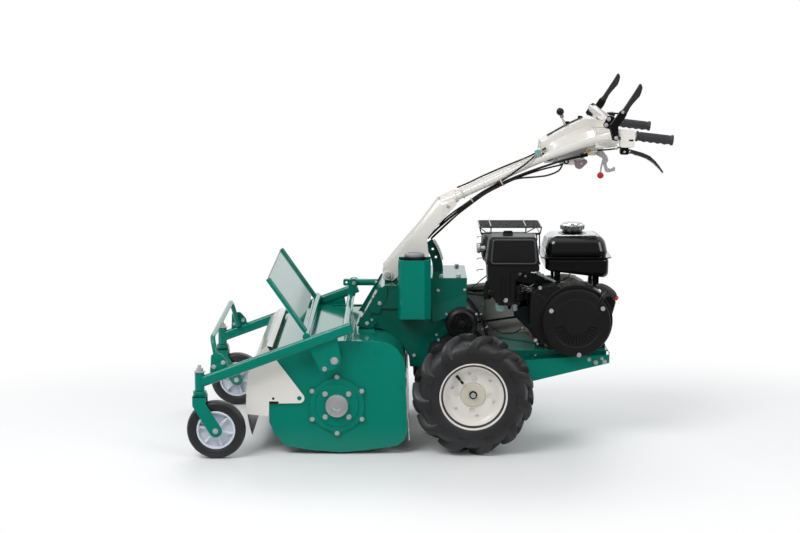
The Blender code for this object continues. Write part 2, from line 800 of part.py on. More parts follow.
def hull_outline(circles, steps=8):
    """Belt-like outline round a few circles (x, z, radius), counterclockwise."""
    points = []
    for x, z, radius in circles:
        points += [Vector(point) for point in arc((x, z), radius, 0, 360, steps * 3)[:-1]]
    points.sort(key=lambda p: (p.x, p.y))
    halves = []
    for ordered in (points, points[::-1]):
        chain = []
        for point in ordered:
            while len(chain) > 1:
                a, b = chain[-2], chain[-1]
                if (b.x - a.x) * (point.y - a.y) - (b.y - a.y) * (point.x - a.x) > 1e-9:
                    break
                chain.pop()
            chain.append(point)
        halves.append(chain[:-1])
    return [tuple(point) for point in halves[0] + halves[1]]


def make_rotor_drive_cover(paint):
    """Belt case on the right side, from the cross shaft down to the rotor."""
    face = deck_half_width + seat
    circles = [(rotor_x, rotor_z, 0.080), (-0.135, 0.300, 0.050)]
    case = hull_outline(circles, 5)
    rim = hull_outline([(x, z, radius + 0.010) for x, z, radius in circles], 5)
    shapes = [slab_xz(case, face, face + 0.022), slab_xz(rim, face, face + 0.005),
              rod((rotor_x, face + 0.020, rotor_z), (rotor_x, face + 0.026, rotor_z), 0.035, 14)]
    inner = deck_half_width - 0.030
    shapes.append(rod((rotor_x, inner, rotor_z), (rotor_x, face + 0.001, rotor_z), 0.050, 14))
    cuts = [rod((rotor_x, inner - 0.01, rotor_z), (rotor_x, face + 0.012, rotor_z), hole(shaft_radius, 10), 10)]
    return fuse("rotor_drive_cover", shapes, paint, cuts, origin=(rotor_x, face, rotor_z))


def pin_place(row):
    angle = math.radians(45 + 90 * row)
    return rotor_x + pin_circle * math.cos(angle), rotor_z + pin_circle * math.sin(angle)


def make_rotor(material):
    """Drum on a shaft with four rows of lugs for the pivot rods of the knives."""
    shapes = [rod((rotor_x, -drum_half, rotor_z), (rotor_x, drum_half, rotor_z), drum_radius, 12),
              rod((rotor_x, -deck_half_width - 0.002, rotor_z), (rotor_x, deck_half_width + 0.008, rotor_z),
                  shaft_radius, 8)]
    cuts = []
    for row in range(4):
        turn = Matrix.Translation((rotor_x, 0, rotor_z)) @ turned(-45 - 90 * row, "Y")
        for i in range(lug_count):
            y = lug_spread * (2 * i / (lug_count - 1) - 1)
            outline = [(drum_radius - 0.008, -0.014)] + arc((pin_circle, 0), 0.012, -90, 90, 2)
            outline.append((drum_radius - 0.008, 0.014))
            shapes.append(placed(slab_xz(outline, y - 0.004, y + 0.004), turn))
        x, z = pin_place(row)
        cuts.append(rod((x, -drum_half - 0.02, z), (x, drum_half + 0.02, z), hole(pin_radius, 6), 6))
    return fuse("rotor", shapes, material, cuts, origin=(rotor_x, 0, rotor_z))


def make_knife_row(row, material):
    """Pivot rod with the hammer knives of one row, all hanging straight down."""
    x, z = pin_place(row)
    reach = lug_spread + 0.012
    shapes = [rod((x, -reach, z), (x, reach, z), pin_radius, 6)]
    gaps = lug_count - 1
    pitch = 2 * lug_spread / gaps
    for i in range(gaps * 2):
        y = -lug_spread + pitch * (i + 0.5) / 2
        foot = knife_foot / 2
        half = knife_width / 2
        outline = [(y - half, z + half), (y + half, z + half), (y + half, z - knife_length * 0.35),
                   (y + foot, z - knife_length * 0.66), (y + foot, z - knife_length), (y - foot, z - knife_length),
                   (y - foot, z - knife_length * 0.66), (y - half, z - knife_length * 0.35)]
        shapes.append(slab_yz(outline, x - knife_thickness / 2, x + knife_thickness / 2))
    return fuse("knife_row_" + str(row + 1), shapes, material, origin=(x, 0, z))


def flap_face():
    return [(flap_front_x + 0.002, flap_foot_z), (flap_front_x - 0.003, 0.232), (flap_front_x - 0.014, 0.279),
            (-0.585, 0.346), (-0.548, 0.380), (-0.530, 0.377)]


def make_front_flap(paint):
    """Swinging front cover: a folded face between two end plates that turn on the side plates."""
    outer = flap_outer - 0.0005
    inner = outer - 0.003
    face = flap_face()
    shapes = [slab_xz(folded_strip(face, -0.0025), -inner - 0.001, inner + 0.001)]
    lug = arc((flap_pivot_x, flap_pivot_z), 0.021, 30, -90, 6)
    plate_outline = face[:-1] + [(-0.520, 0.352)] + lug + [(-0.509, flap_step_z), (step_x + 0.001, flap_step_z),
                                                          (step_x - 0.0015, flap_step_z - 0.010),
                                                          (step_x - 0.0025, flap_foot_z - 0.008)]
    cuts = []
    for side in (-1, 1):
        shapes.append(slab_xz(plate_outline, *sorted((side * inner, side * outer))))
        near, far = side * (outer - 0.02), side * (outer + 0.02)
        cuts.append(rod((flap_pivot_x, near, flap_pivot_z), (flap_pivot_x, far, flap_pivot_z),
                        hole(flap_pin_radius, 10), 10))
        cuts.append(rod((-0.527, near, 0.198), (-0.527, far, 0.198), 0.004, 8))
    return fuse("front_flap", shapes, paint, cuts, origin=(flap_pivot_x, 0, flap_pivot_z))


def make_flap_curtain(material):
    top = flap_foot_z + 0.030
    outline = [(flap_front_x + 0.0031, top), (flap_front_x + 0.0061, top), (flap_front_x + 0.0078, flap_foot_z),
               (flap_front_x + 0.021, 0.066), (flap_front_x + 0.018, 0.065), (flap_front_x + 0.0048, flap_foot_z)]
    return solid("flap_curtain", slab_xz(outline, -shield_half, shield_half), material,
                 (flap_front_x, 0, flap_foot_z))


def make_rear_flap(paint):
    """Strip that closes the rear of the hood, with a rubber skirt riveted behind it."""
    x = hood_rear_x + 0.002
    skirt = [(x + 0.003, 0.215), (x + 0.007, 0.215), (x + 0.007, 0.120), (x + 0.011, 0.046), (x + 0.008, 0.045),
             (x + 0.004, 0.120)]
    half = deck_half_width - side_plate - run
    shapes = [box((x, -half, 0.125), (x + 0.004, half, 0.300)),
              box((x - 0.0026, -half, 0.266), (x + 0.001, half, 0.285)),
              slab_xz(skirt, -half + 0.010, half - 0.010)]
    return fuse("rear_flap", shapes, paint, origin=(x, 0, 0.3))


# Chassis and rear wheels

def chassis_outline():
    """Side plate of the main frame, from its foot on the hood back to the gearbox."""
    return [(foot_front_x, hood_top_z + 0.0045), (-0.163, 0.543), (-0.150, 0.550), (-0.020, 0.550), (0.012, 0.577),
            (0.137, 0.577), (0.137, 0.447), (0.090, 0.390), (0.010, 0.345), (-0.015, 0.262), (-0.062, 0.262),
            (-0.066, 0.300), (-0.092, 0.345), (-0.130, 0.382), (-0.165, hood_top_z + 0.0045)]


def make_chassis(paint):
    outer = frame_half_width
    shapes = []
    for side in (-1, 1):
        shapes.append(slab_xz(chassis_outline(), *sorted((side * outer, side * (outer - plate)))))
        strap = [(-0.249, 0.408), (-0.166, 0.546), (-0.140, 0.546), (-0.158, 0.490), (-0.200, 0.445), (-0.222, 0.405)]
        shapes.append(slab_xz(strap, *sorted((side * (outer - 0.001), side * (outer + 0.004)))))
        ear = rounded([(handle_pivot_x - 0.013, 0.547), (handle_pivot_x + 0.040, 0.547),
                       (handle_pivot_x + 0.016, handle_pivot_z + 0.018), (handle_pivot_x - 0.013,
                                                                        handle_pivot_z + 0.018)], 0.012, 2)
        faces = sorted((side * (column_half - 0.006), side * (column_half - 0.012)))
        shapes.append(slab_xz(ear, *faces))
    front = chassis_outline()[:6]
    shapes.append(slab_xz(folded_strip(front, -0.004), -outer + 0.001, outer - 0.001))
    shapes.append(box((0.128, -outer + 0.001, 0.450), (0.134, outer - 0.001, 0.575)))
    guide = [(outer - 0.002, rod_z - 0.022), (rod_y + 0.022, rod_z - 0.022), (rod_y + 0.022, rod_z + 0.022),
             (outer - 0.002, rod_z + 0.022)]
    shapes.append(slab_yz(rounded(guide, 0.008, 2), guide_x, guide_x + 0.008))
    sector, cuts = height_sector()
    shapes += sector + canister_guard()
    over_hood = [(x, z + seat) for x, z in hood_path()[3:]]
    over_hood = [(x + seat * i / len(over_hood), z) for i, (x, z) in enumerate(over_hood)]
    cuts.append(slab_xz(over_hood + [(-0.3, 0.20)], -outer - 0.01, outer + 0.01))
    cuts.append(box((foot_front_x - 0.02, -outer - 0.01, 0.30),
                    (foot_front_x + 0.070, outer + 0.01, hood_top_z + 0.004 + seat)))
    cuts.append(rod((guide_x - 0.02, rod_y, rod_z), (guide_x + 0.03, rod_y, rod_z), hole(rod_radius, 12), 12))
    cuts.append(rod((handle_pivot_x, -0.1, handle_pivot_z), (handle_pivot_x, 0.1, handle_pivot_z),
                    hole(handle_pin, 10), 10))
    return fuse("chassis_frame", shapes, paint, cuts, origin=(0, 0, 0.45))


def canister_guard():
    """Folded sheet round the canister, open above and below."""
    back = -frame_half_width + 0.002
    depth = canister_depth
    path = [(guard_front_x, back), (guard_front_x, back - depth + 0.016), (guard_front_x + 0.011, back - depth),
            (guard_rear_x - 0.022, back - depth), (guard_rear_x, back - depth + 0.022), (guard_rear_x, back)]
    shape = slab_xy(folded_strip(path, 0.0025), 0.445, 0.651)
    backing = box((guard_front_x, back, 0.445), (guard_rear_x, back + plate - 0.001, 0.651))
    return [shape, backing]


def make_canister(material):
    radius = 0.0365
    y = -frame_half_width - seat - radius
    profile = [(0.0, 0.448), (radius, 0.448), (radius, 0.640), (0.0355, 0.645),
               (0.0355, 0.658), (0.029, 0.660), (0.029, 0.668), (0.024, 0.671), (0.0, 0.671)]
    return solid("oil_canister", spin(profile, ((guard_front_x + guard_rear_x) / 2, y, 0), "Z", 16), material,
                 ((guard_front_x + guard_rear_x) / 2, y, 0.448))


def make_transmission(material):
    """Cast gear case with an axle housing on each side."""
    half = frame_half_width - plate - seat
    outline = rounded([(-0.050, 0.190), (0.020, 0.120), (0.190, 0.120), (0.240, 0.180), (0.240, base_low - 0.010),
                       (0.125, 0.440), (0.010, 0.440), (-0.050, 0.330)], 0.035, 1)
    shapes = [slab_xz(outline, -half * 0.72, half * 0.72),
              slab_xz([(x * 0.86 + 0.012, z * 0.86 + 0.040) for x, z in outline], -half, half),
              box((0.200, -0.060, 0.240), (0.300, 0.060, base_low - seat))]
    for side in (-1, 1):
        profile = [(0.0, half * 0.6), (0.052, half * 0.6), (0.052, half + 0.012), (0.034, half + 0.022),
                   (0.032, axle_face - 0.012), (0.042, axle_face - 0.008), (0.042, axle_face), (0.0, axle_face)]
        shapes.append(spin([(r, side * y) for r, y in profile], (wheel_x, 0, tyre_radius), "Y", 12))
    cuts = [rod((wheel_x, -0.3, tyre_radius), (wheel_x, 0.3, tyre_radius), hole(axle_radius, 10), 10)]
    return fuse("transmission_case", shapes, material, cuts, origin=(wheel_x, 0, tyre_radius))


def make_fan_cover(material):
    """Round ribbed cover over the fan of the drive, on the left side of the frame."""
    back = -frame_half_width - seat
    centre = (0.118, 0.0, 0.420)
    profile = [(0.0, back), (0.055, back), (0.055, back - 0.020), (0.048, back - 0.036), (0.012, back - 0.040),
               (0.012, back - 0.046), (0.0, back - 0.046)]
    shapes = [spin(profile, centre, "Y", 18)]
    for i in range(6):
        rib = box((0.010, back - 0.0435, -0.0022), (0.050, back - 0.020, 0.0022))
        shapes.append(placed(rib, Matrix.Translation(centre) @ turned(60 * i, "Y")))
    return fuse("drive_fan_cover", shapes, material, origin=(centre[0], back, centre[2]))


def make_rim(side, paint):
    """Pressed wheel with a dished disc, a hub plate and the end of its axle."""
    name = "rim_" + ("left" if side < 0 else "right")
    centre = Vector((wheel_x, side * track_rear / 2, tyre_radius))
    flange = rim_half
    axle_end = 0.150 - track_rear / 2
    outline = [(0.0, -0.002), (0.016, -0.002), (0.018, -0.0074), (0.042, -0.0074), (0.0445, dish_floor),
               (0.080, dish_floor), (0.094, -0.004), (bead_radius - 0.003, flange - 0.005),
               (rim_radius, flange), (bead_radius, flange - 0.006), (0.097, -0.006), (0.097, -0.012),
               (bead_radius, -flange + 0.006), (rim_radius, -flange), (bead_radius - 0.003, -flange + 0.005),
               (0.094, dish_floor - 0.004), (0.024, dish_floor - 0.004), (0.024, -0.060),
               (axle_radius, -0.060), (axle_radius, axle_end), (0.0, axle_end)]
    shapes = [spin([(r, side * y) for r, y in outline], centre, "Y", wheel_sides)]
    cuts = []
    for i in range(4):
        angle = math.radians(wheel_hole_turn + 90 * i)
        place = centre + Vector((wheel_hole_circle * math.cos(angle), side * dish_floor,
                                 wheel_hole_circle * math.sin(angle)))
        cuts.append(rod(place - Vector((0, 0.01, 0)), place + Vector((0, 0.01, 0)), 0.010, 8))
    valve = centre + Vector((-0.045, side * (dish_floor - 0.002), 0.062))
    shapes.append(rod(valve, valve + Vector((0.012, side * 0.026, -0.018)), 0.0042, 6))
    return fuse(name, shapes, paint, cuts, origin=centre)


def lug_bar(side, first, hand):
    """One slanting bar of the tread, from the middle of the tyre down over its shoulder."""
    sections = ((-0.004, 0.0, tyre_radius, 0.182), (0.044, 14.0, tyre_radius - 0.006, 0.168),
                (0.0565, 19.0, 0.180, 0.156))
    shape = bmesh.new()
    rings = []
    for y, swing, high, low in sections:
        ring = []
        for radius, half in ((low, lug_base / 2), (high, lug_top / 2), (high, -lug_top / 2), (low, -lug_base / 2)):
            angle = math.radians(first + swing * lug_sense) + half / radius
            ring.append(shape.verts.new((wheel_x + radius * math.cos(angle), side * track_rear / 2 + hand * y,
                                         tyre_radius + radius * math.sin(angle))))
        rings.append(ring)
    for ring, after in zip(rings, rings[1:]):
        for j in range(4):
            k = (j + 1) % 4
            shape.faces.new((ring[j], ring[k], after[k], after[j]))
    shape.faces.new(rings[0])
    shape.faces.new(rings[-1])
    bmesh.ops.recalc_face_normals(shape, faces=shape.faces)
    return shape


def make_tyre(side, material):
    """Farm tyre whose bars meet in a chevron and point forward at the top."""
    name = "tyre_" + ("left" if side < 0 else "right")
    centre = (wheel_x, side * track_rear / 2, tyre_radius)
    bead = bead_radius + seat
    half = rim_half - 0.0068
    wall = [(bead, -half), (rim_radius, -half - 0.0015), (0.138, -tyre_width / 2),
            (0.166, -tyre_width / 2), (0.188, -0.034)]
    profile = wall + [(radius, -y) for radius, y in wall[::-1]]
    shapes = [spin(profile, centre, "Y", wheel_sides)]
    for i in range(lugs_per_side):
        pitch = 360 / lugs_per_side
        shapes.append(lug_bar(side, -90 + pitch * i, 1))
        shapes.append(lug_bar(side, -90 + pitch * (i + 0.5), -1))
    return fuse(name, shapes, material, origin=centre, smooth=38)


def make_engine_base(paint):
    """Channel under the engine, hung on the gear case, with holes to set the belt tension."""
    half = base_half
    front = base_front_x
    skirt = [(0.632, base_high), (0.632, 0.287), (0.354, 0.219), (front, 0.193), (front, base_high)]
    shapes = [box((front, -half + 0.001, base_low), (0.632 - 0.001, half - 0.001, base_high))]
    cuts = []
    for side in (-1, 1):
        shapes.append(slab_xz(skirt, *sorted((side * half, side * (half - 0.004)))))
        for x in (0.318, 0.334, 0.350):
            cuts.append(rod((x, side * (half - 0.016), 0.30), (x, side * (half - 0.016), 0.35), 0.005, 6))
    return fuse("engine_base", shapes, paint, cuts, origin=(0.45, 0, base_high))


def make_belt_cover(paint):
    """Cover of the main drive belt on the right side of the engine."""
    circles = [(drive_x, drive_z, 0.082), (crank_x, crank_z, 0.088), (0.330, 0.330, 0.086)]
    outline = hull_outline(circles, 5)
    inner = hull_outline([(x, z, radius - 0.004) for x, z, radius in circles], 5)
    rim = hull_outline([(x, z, radius + 0.008) for x, z, radius in circles], 5)
    face = belt_y + belt_cover_depth
    shapes = [slab_xz(outline, belt_y, face), slab_xz(rim, belt_y, belt_y + 0.004)]
    for x, z in ((drive_x, drive_z), (crank_x, crank_z)):
        shapes.append(rod((x, face - 0.002, z), (x, face + 0.003, z), 0.040, 12))
    cuts = [slab_xz(inner, belt_y - 0.01, face - 0.003)]
    return fuse("belt_cover", shapes, paint, cuts, origin=(0.3, belt_y, 0.4))


def make_pulley(name, x, z, radius, y_low, y_high, shaft_low, material):
    """Grooved belt pulley with its shaft."""
    middle = (y_low + y_high) / 2
    half = (y_high - y_low) / 2
    profile = [(0.0, shaft_low), (0.012, shaft_low), (0.012, y_low), (radius, y_low), (radius, middle - half * 0.75),
               (radius - groove, middle - half * 0.45), (radius - groove, middle + half * 0.45),
               (radius, middle + half * 0.75), (radius, y_high), (0.0, y_high)]
    return solid(name, spin(profile, (x, 0, z), "Y", 14), material, (x, middle, z))


def make_belt(material):
    """Drive belt round the two pulleys."""
    y = (pulley_low + pulley_high) / 2
    circles = [(drive_x, drive_z, hole(drive_pulley - groove, 15)),
               (crank_x, crank_z, hole(engine_pulley - groove, 15))]
    outer = hull_outline([(cx, cz, radius + 0.007) for cx, cz, radius in circles], 5)
    inner = hull_outline(circles, 5)
    shapes = [slab_xz(outer, y - 0.0035, y + 0.0035)]
    return fuse("drive_belt", shapes, material, [slab_xz(inner, y - 0.02, y + 0.02)], origin=(crank_x, y, crank_z))


# Engine

def soft_box(low, high, radius, steps=2):
    """Box with all its edges rounded off."""
    shape = box(low, high)
    bmesh.ops.bevel(shape, geom=shape.edges[:], offset=radius, segments=steps, affect="EDGES", profile=0.5)
    return shape


def tapered_box(low, high, inset, radius, steps=2):
    """Box that narrows towards its top by the given inset."""
    shape = box(low, high)
    for vert in shape.verts:
        if vert.co.z > (low[2] + high[2]) / 2:
            vert.co.x += inset if vert.co.x < (low[0] + high[0]) / 2 else -inset
            vert.co.y += inset if vert.co.y < (low[1] + high[1]) / 2 else -inset
    bmesh.ops.bevel(shape, geom=shape.edges[:], offset=radius, segments=steps, affect="EDGES", profile=0.5)
    return shape


def make_engine_block(material):
    """Crankcase with its foot and an inclined finned cylinder that leans to the front."""
    top = base_high + seat
    shapes = [soft_box((0.395, -0.112, top + 0.006), (0.612, 0.150, 0.520), 0.020, 1),
              box((0.385, -0.120, top), (0.625, 0.160, top + 0.012))]
    turn = Matrix.Translation((crank_x - 0.02, 0, crank_z)) @ turned(25, "Y")
    barrel = box((-0.235, -0.050, -0.048), (-0.051, 0.050, 0.048))
    shapes.append(placed(barrel, turn))
    for i in range(6):
        x = -0.115 - 0.019 * i
        fin = box((x - 0.0030, -0.078, -0.074), (x + 0.0030, 0.078, 0.074))
        shapes.append(placed(fin, turn))
    head = box((-0.252, -0.060, -0.062), (-0.228, 0.060, 0.062))
    shapes.append(placed(head, turn))
    shapes.append(rod((crank_x, 0.140, crank_z), (crank_x, 0.166, crank_z), 0.055, 14))
    cuts = [rod((crank_x, 0.12, crank_z), (crank_x, 0.2, crank_z), hole(0.012, 14), 14)]
    return fuse("engine_block", shapes, material, cuts, origin=(crank_x, 0, crank_z))


def make_fan_housing(material):
    """Sheet housing that leads the cooling air from the starter side to the cylinder."""
    circle = arc((crank_x, crank_z), recoil_radius + 0.002, -120, 114, 13)
    rest = [(0.430, 0.572), (0.366, 0.552), (0.352, 0.500), (0.352, 0.360), (0.372, base_high + 0.008)]
    outline = circle + rest
    back = recoil_face_y + 0.118
    front = recoil_face_y + 0.022
    shapes = [slab_xz(outline, front, back)]
    inner = arc((crank_x, crank_z), recoil_radius - 0.003, -120, 114, 13)
    inner += [(0.436, 0.564), (0.372, 0.546), (0.358, 0.500), (0.358, 0.364), (0.378, base_high + 0.016)]
    cuts = [slab_xz(inner, front + 0.004, back + 0.01),
            rod((crank_x, front - 0.01, crank_z), (crank_x, front + 0.02, crank_z), 0.085, 12)]
    rim = [(recoil_radius + 0.002, front + 0.006), (recoil_radius + 0.002, front - 0.004),
           (recoil_radius - 0.012, front - 0.004), (recoil_radius - 0.012, front + 0.006)]
    shapes.append(spin(rim, (crank_x, 0, crank_z), "Y", 20))
    cuts.append(box((0.30, -base_half - 0.001, 0.20), (0.70, 0.0, base_high + seat)))
    return fuse("fan_housing", shapes, material, cuts, origin=(crank_x, front, crank_z))


def make_recoil_cover(material):
    """Starter cover: a shallow pan with radial slots in its lower half and a few above."""
    back = recoil_face_y + 0.018 - seat
    front = recoil_face_y
    profile = [(0.0, front + 0.002), (0.052, front + 0.002), (0.058, front), (recoil_radius - 0.014, front + 0.001),
               (recoil_radius - 0.003, front + 0.005), (recoil_radius, front + 0.012), (recoil_radius, back),
               (recoil_radius - 0.004, back), (recoil_radius - 0.006, front + 0.012), (0.0, front + 0.010)]
    shapes = [spin(profile, (crank_x, 0, crank_z), "Y", 20)]
    cuts = []
    for i in range(8):
        slot = box((0.052, front - 0.01, -0.0026), (0.088, front + 0.02, 0.0026))
        cuts.append(placed(slot, Matrix.Translation((crank_x, 0, crank_z)) @ turned(20 * i + 20, "Y")))
    eye = Vector((grip_rope_x, front + grip_depth, grip_rope_z))
    shapes.append(rod(eye - rope_way * 0.030, eye, 0.008, 8))
    cuts.append(rod(eye - rope_way * 0.020, eye + rope_way * 0.01, rope_radius + 0.0010, 6))
    return fuse("recoil_cover", shapes, material, cuts, origin=(crank_x, front, crank_z))


def make_recoil_grip(material):
    """Pull handle of the starter, with the end of its rope."""
    eye = Vector((grip_rope_x, recoil_face_y + grip_depth, grip_rope_z)) + rope_way * 0.0004
    across = Vector((rope_way.z, 0, -rope_way.x))
    centre = eye + rope_way * 0.010
    bar = sweep([centre - across * 0.036, centre - across * 0.030, centre + across * 0.030, centre + across * 0.036],
                0.010, 10, [0.006, 0.0095, 0.0095, 0.006])
    shapes = [bar, rod(eye, centre + rope_way * 0.004, 0.0085, 6), rod(eye - rope_way * 0.018, centre, rope_radius, 8)]
    return fuse("recoil_grip", shapes, material, origin=eye)


def make_fuel_tank(material):
    low = (0.410, tank_front_y, 0.583)
    seam = tank_seam_z
    shapes = [tapered_box((0.410, tank_front_y, seam - 0.004), (0.630, tank_rear_y, tank_top_z), 0.014, 0.022, 2),
              box((tank_left_x, tank_front_y - 0.010, seam - 0.003), (tank_right_x, tank_rear_y + 0.010, seam + 0.003))]
    lower = tapered_box((0.410, tank_front_y, low[2]), (0.630, tank_rear_y, seam + 0.002), -0.002, 0.016, 1)
    for vert in lower.verts:
        if vert.co.z < (low[2] + seam) / 2 and vert.co.x < 0.48:
            vert.co.z += 0.022
    shapes.append(lower)
    neck = (tank_cap_x, tank_cap_y)
    shapes.append(rod((*neck, tank_top_z - 0.01), (*neck, tank_top_z + 0.009), 0.037, 12))
    for x in (0.455, 0.590):
        for y in (-0.09, 0.06):
            shapes.append(box((x - 0.012, y - 0.012, 0.520 + seat), (x + 0.012, y + 0.012, low[2] + 0.030)))
    return fuse("fuel_tank", shapes, material, origin=(0.51, 0, seam))


def make_fuel_cap(material):
    """Screw cap with a fluted rim."""
    base = tank_top_z + 0.009 + seat
    flutes = []
    for i in range(12):
        for part, radius in ((0.0, 0.0430), (0.5, 0.0405)):
            angle = 2 * math.pi * (i + part) / 12
            flutes.append((tank_cap_x + radius * math.cos(angle), tank_cap_y + radius * math.sin(angle)))
    shapes = [slab_xy(flutes, base, base + 0.018),
              rod((tank_cap_x, tank_cap_y, base + 0.017), (tank_cap_x, tank_cap_y, base + 0.024), 0.038, 12, 0.034)]
    return fuse("fuel_cap", shapes, material, origin=(tank_cap_x, tank_cap_y, base))


def make_air_cleaner(plastic):
    """Cleaner case: a base that carries the filter and a cover held by a wing knob."""
    seam = cleaner_seam_z
    lower = rounded([(0.206, seam), (0.384, seam), (0.380, 0.600), (0.312, 0.590), (0.300, 0.505), (0.262, 0.500),
                     (0.222, 0.560)], 0.008, 1)
    base = [slab_xz(lower, cleaner_front_y + 0.004, cleaner_rear_y),
            box((0.276, cleaner_rear_y - 0.010, 0.520), (0.3175, -0.078 - seat, 0.580))]
    fuse("air_cleaner_base", base, plastic, origin=(0.29, cleaner_front_y, seam))
    cover = [tapered_box((0.201, cleaner_front_y, seam + seat), (0.386, cleaner_rear_y, cleaner_top_z), 0.008,
                         0.014, 2)]
    frame = rounded([(0.222, seam + 0.012), (0.370, seam + 0.012), (0.364, cleaner_top_z - 0.016),
                     (0.228, cleaner_top_z - 0.016)], 0.010, 1)
    cuts = [slab_xz(frame, cleaner_front_y - 0.01, cleaner_front_y + 0.0085)]
    knob = (0.278, (cleaner_front_y + cleaner_rear_y) / 2)
    cover.append(rod((*knob, cleaner_top_z - 0.004), (*knob, cleaner_top_z + 0.006), 0.019, 10))
    cover.append(box((knob[0] - 0.016, knob[1] - 0.004, cleaner_top_z), (knob[0] + 0.016, knob[1] + 0.004,
                                                                        cleaner_top_z + 0.015)))
    fuse("air_cleaner_cover", cover, plastic, cuts, origin=(0.29, cleaner_front_y, seam))


def make_carburettor(material):
    """Carburettor between the cleaner and the head, with its float bowl and levers."""
    x = 0.350
    face = -0.078 - seat
    shapes = [rod((x, -0.122, 0.552), (x, face - 0.003, 0.552), 0.022, 12),
              rod((x, -0.100, 0.500), (x, -0.100, 0.556), 0.020, 12),
              box((x - 0.030, face - 0.006, 0.532), (x + 0.030, face, 0.572)),
              box((x - 0.010, -0.104, 0.568), (x + 0.060, -0.100, 0.584)),
              rod((x + 0.050, -0.118, 0.576), (x + 0.050, -0.096, 0.576), 0.008, 8)]
    return fuse("carburettor", shapes, material, origin=(x, -0.1, 0.552))


def make_muffler(material):
    """Box muffler above the cylinder, with its inlet elbow and outlet pipe."""
    shapes = [soft_box((0.194, 0.012, 0.606), (0.381, 0.165, 0.700), 0.022, 1),
              rod((0.206, 0.060, 0.654), (0.178, 0.060, 0.654), 0.016, 10),
              box((0.190, 0.008, 0.650), (0.385, 0.169, 0.657)),
              box((0.270, 0.078 + seat, 0.520), (0.310, 0.110, 0.612))]
    cuts = [rod((0.190, 0.060, 0.654), (0.160, 0.060, 0.654), 0.012, 8)]
    return fuse("muffler", shapes, material, cuts, origin=(0.29, 0.09, 0.63))


def make_muffler_guard(material):
    """Wire cage over the muffler."""
    left, right = 0.180, 0.402
    front, back = 0.000, 0.178
    wire = 0.0022
    shapes = []
    corners = [(left, front), (right, front), (right, back), (left, back)]
    for z in (0.741, 0.716):
        outer = box((left - wire, front - wire, z - wire), (right + wire, back + wire, z + wire))
        inner = box((left + wire, front + wire, z - wire * 2), (right - wire, back - wire, z + wire * 2))
        shapes.append(to_shape(fuse("ring", [outer], material, [inner])))
    for i in range(3):
        y = front + (back - front) * (i + 1) / 4
        shapes.append(box((left - wire, y - wire, 0.7405), (right + wire, y + wire, 0.7450)))
    for x in (0.254, 0.328):
        shapes.append(box((x - wire, front - wire, 0.7370), (x + wire, back + wire, 0.7412)))
        shapes.append(box((x - wire, front - wire * 1.5, 0.7150), (x + wire, front + wire * 0.5, 0.7400)))
    for x, y in corners:
        foot = (0.212 if x < 0.3 else 0.366, 0.038 if y < 0.09 else 0.140, 0.7003)
        shapes.append(sweep([(x, y, 0.742), (x, y, 0.712), foot], wire * 1.4, 4))
    return fuse("muffler_guard", shapes, material, origin=(0.3, 0.09, 0.74))


# Handle

def column_outline():
    return [(-0.158, 0.560), (-0.160, 0.590), (-0.100, 0.683), (-0.022, 0.812), (0.036, 0.847), (0.087, 0.864),
            (0.103, 0.825), (0.049, 0.767), (-0.002, 0.703), (0.006, 0.629), (-0.060, 0.600), (-0.125, 0.552)]


def make_column(paint):
    """Folded column that carries the handle tubes and turns on its shaft; its rear side is open."""
    front = column_outline()[:6]
    inner = offset_path(front, -0.003)
    inner = inner[:5] + [(0.084, 0.830), (0.12, 0.80), (0.06, 0.70), (0.03, 0.600), (-0.09, 0.53), (-0.14, 0.53)]
    shapes = [slab_xz(column_outline(), -column_half, column_half)]
    cuts = [slab_xz(inner, -column_half + 0.003, column_half - 0.003)]
    base = fuse("handle_column", shapes, paint, cuts)
    shapes = [to_shape(base), rod((handle_pivot_x, -column_half - 0.002, handle_pivot_z),
                                  (handle_pivot_x, column_half + 0.002, handle_pivot_z), handle_pin, 8)]
    sockets = []
    for side in (-1, 1):
        shapes.append(hex_bolt((handle_pivot_x, side * column_half, handle_pivot_z), (0, side, 0), 0.020, 0.008))
        start, bend = [Vector(point) for point in handle_route(side)[:2]]
        along = (bend - start).normalized()
        shapes.append(rod(start - along * 0.012, start + along * 0.046, 0.0205, 10))
        sockets.append(rod(start - along * seat, start + along * 0.080, hole(tube_radius, 10), 10))
    return fuse("handle_column", shapes, paint, sockets, origin=(handle_pivot_x, 0, handle_pivot_z))


def to_shape(item):
    """Take an object back as a shape in world coordinates and remove it."""
    shape = bmesh.new()
    shape.from_mesh(item.data)
    bmesh.ops.transform(shape, matrix=Matrix.Translation(item.location), verts=shape.verts)
    bpy.data.objects.remove(item)
    return shape


def height_sector():
    """Curved plate behind the column whose holes and rim set the height of the handle."""
    pivot = (handle_pivot_x, handle_pivot_z)
    outline = arc(pivot, 0.196, -4, 37, 7) + arc(pivot, 0.160, 37, -4, 5)
    shapes = [slab_xz(outline, 0.027, 0.033),
              slab_xz(arc(pivot, 0.202, 13, 35, 4) + arc(pivot, 0.1945, 35, 13, 4), 0.012, 0.048)]
    cuts = [rod((handle_pivot_x + 0.178 * math.cos(math.radians(angle)), 0.0,
                 handle_pivot_z + 0.178 * math.sin(math.radians(angle))),
                (handle_pivot_x + 0.178 * math.cos(math.radians(angle)), 0.06,
                 handle_pivot_z + 0.178 * math.sin(math.radians(angle))), 0.0045, 8) for angle in (17, 27)]
    return shapes, cuts


def handle_route(side):
    """Middle line of one handle tube, from the column to the end of its grip."""
    return [(0.062, side * column_tube_y, 0.8325),
            (0.400, side * 0.062, 0.990), (0.555, side * 0.150, 1.056), (0.612, side * 0.262, 1.080),
            (grip_start_x - 0.030, side * grip_y, grip_start_z + 0.0035), (grip_start_x, side * grip_y, grip_start_z),
            (grip_start_x + grip_length, side * grip_y, grip_start_z - grip_drop)]


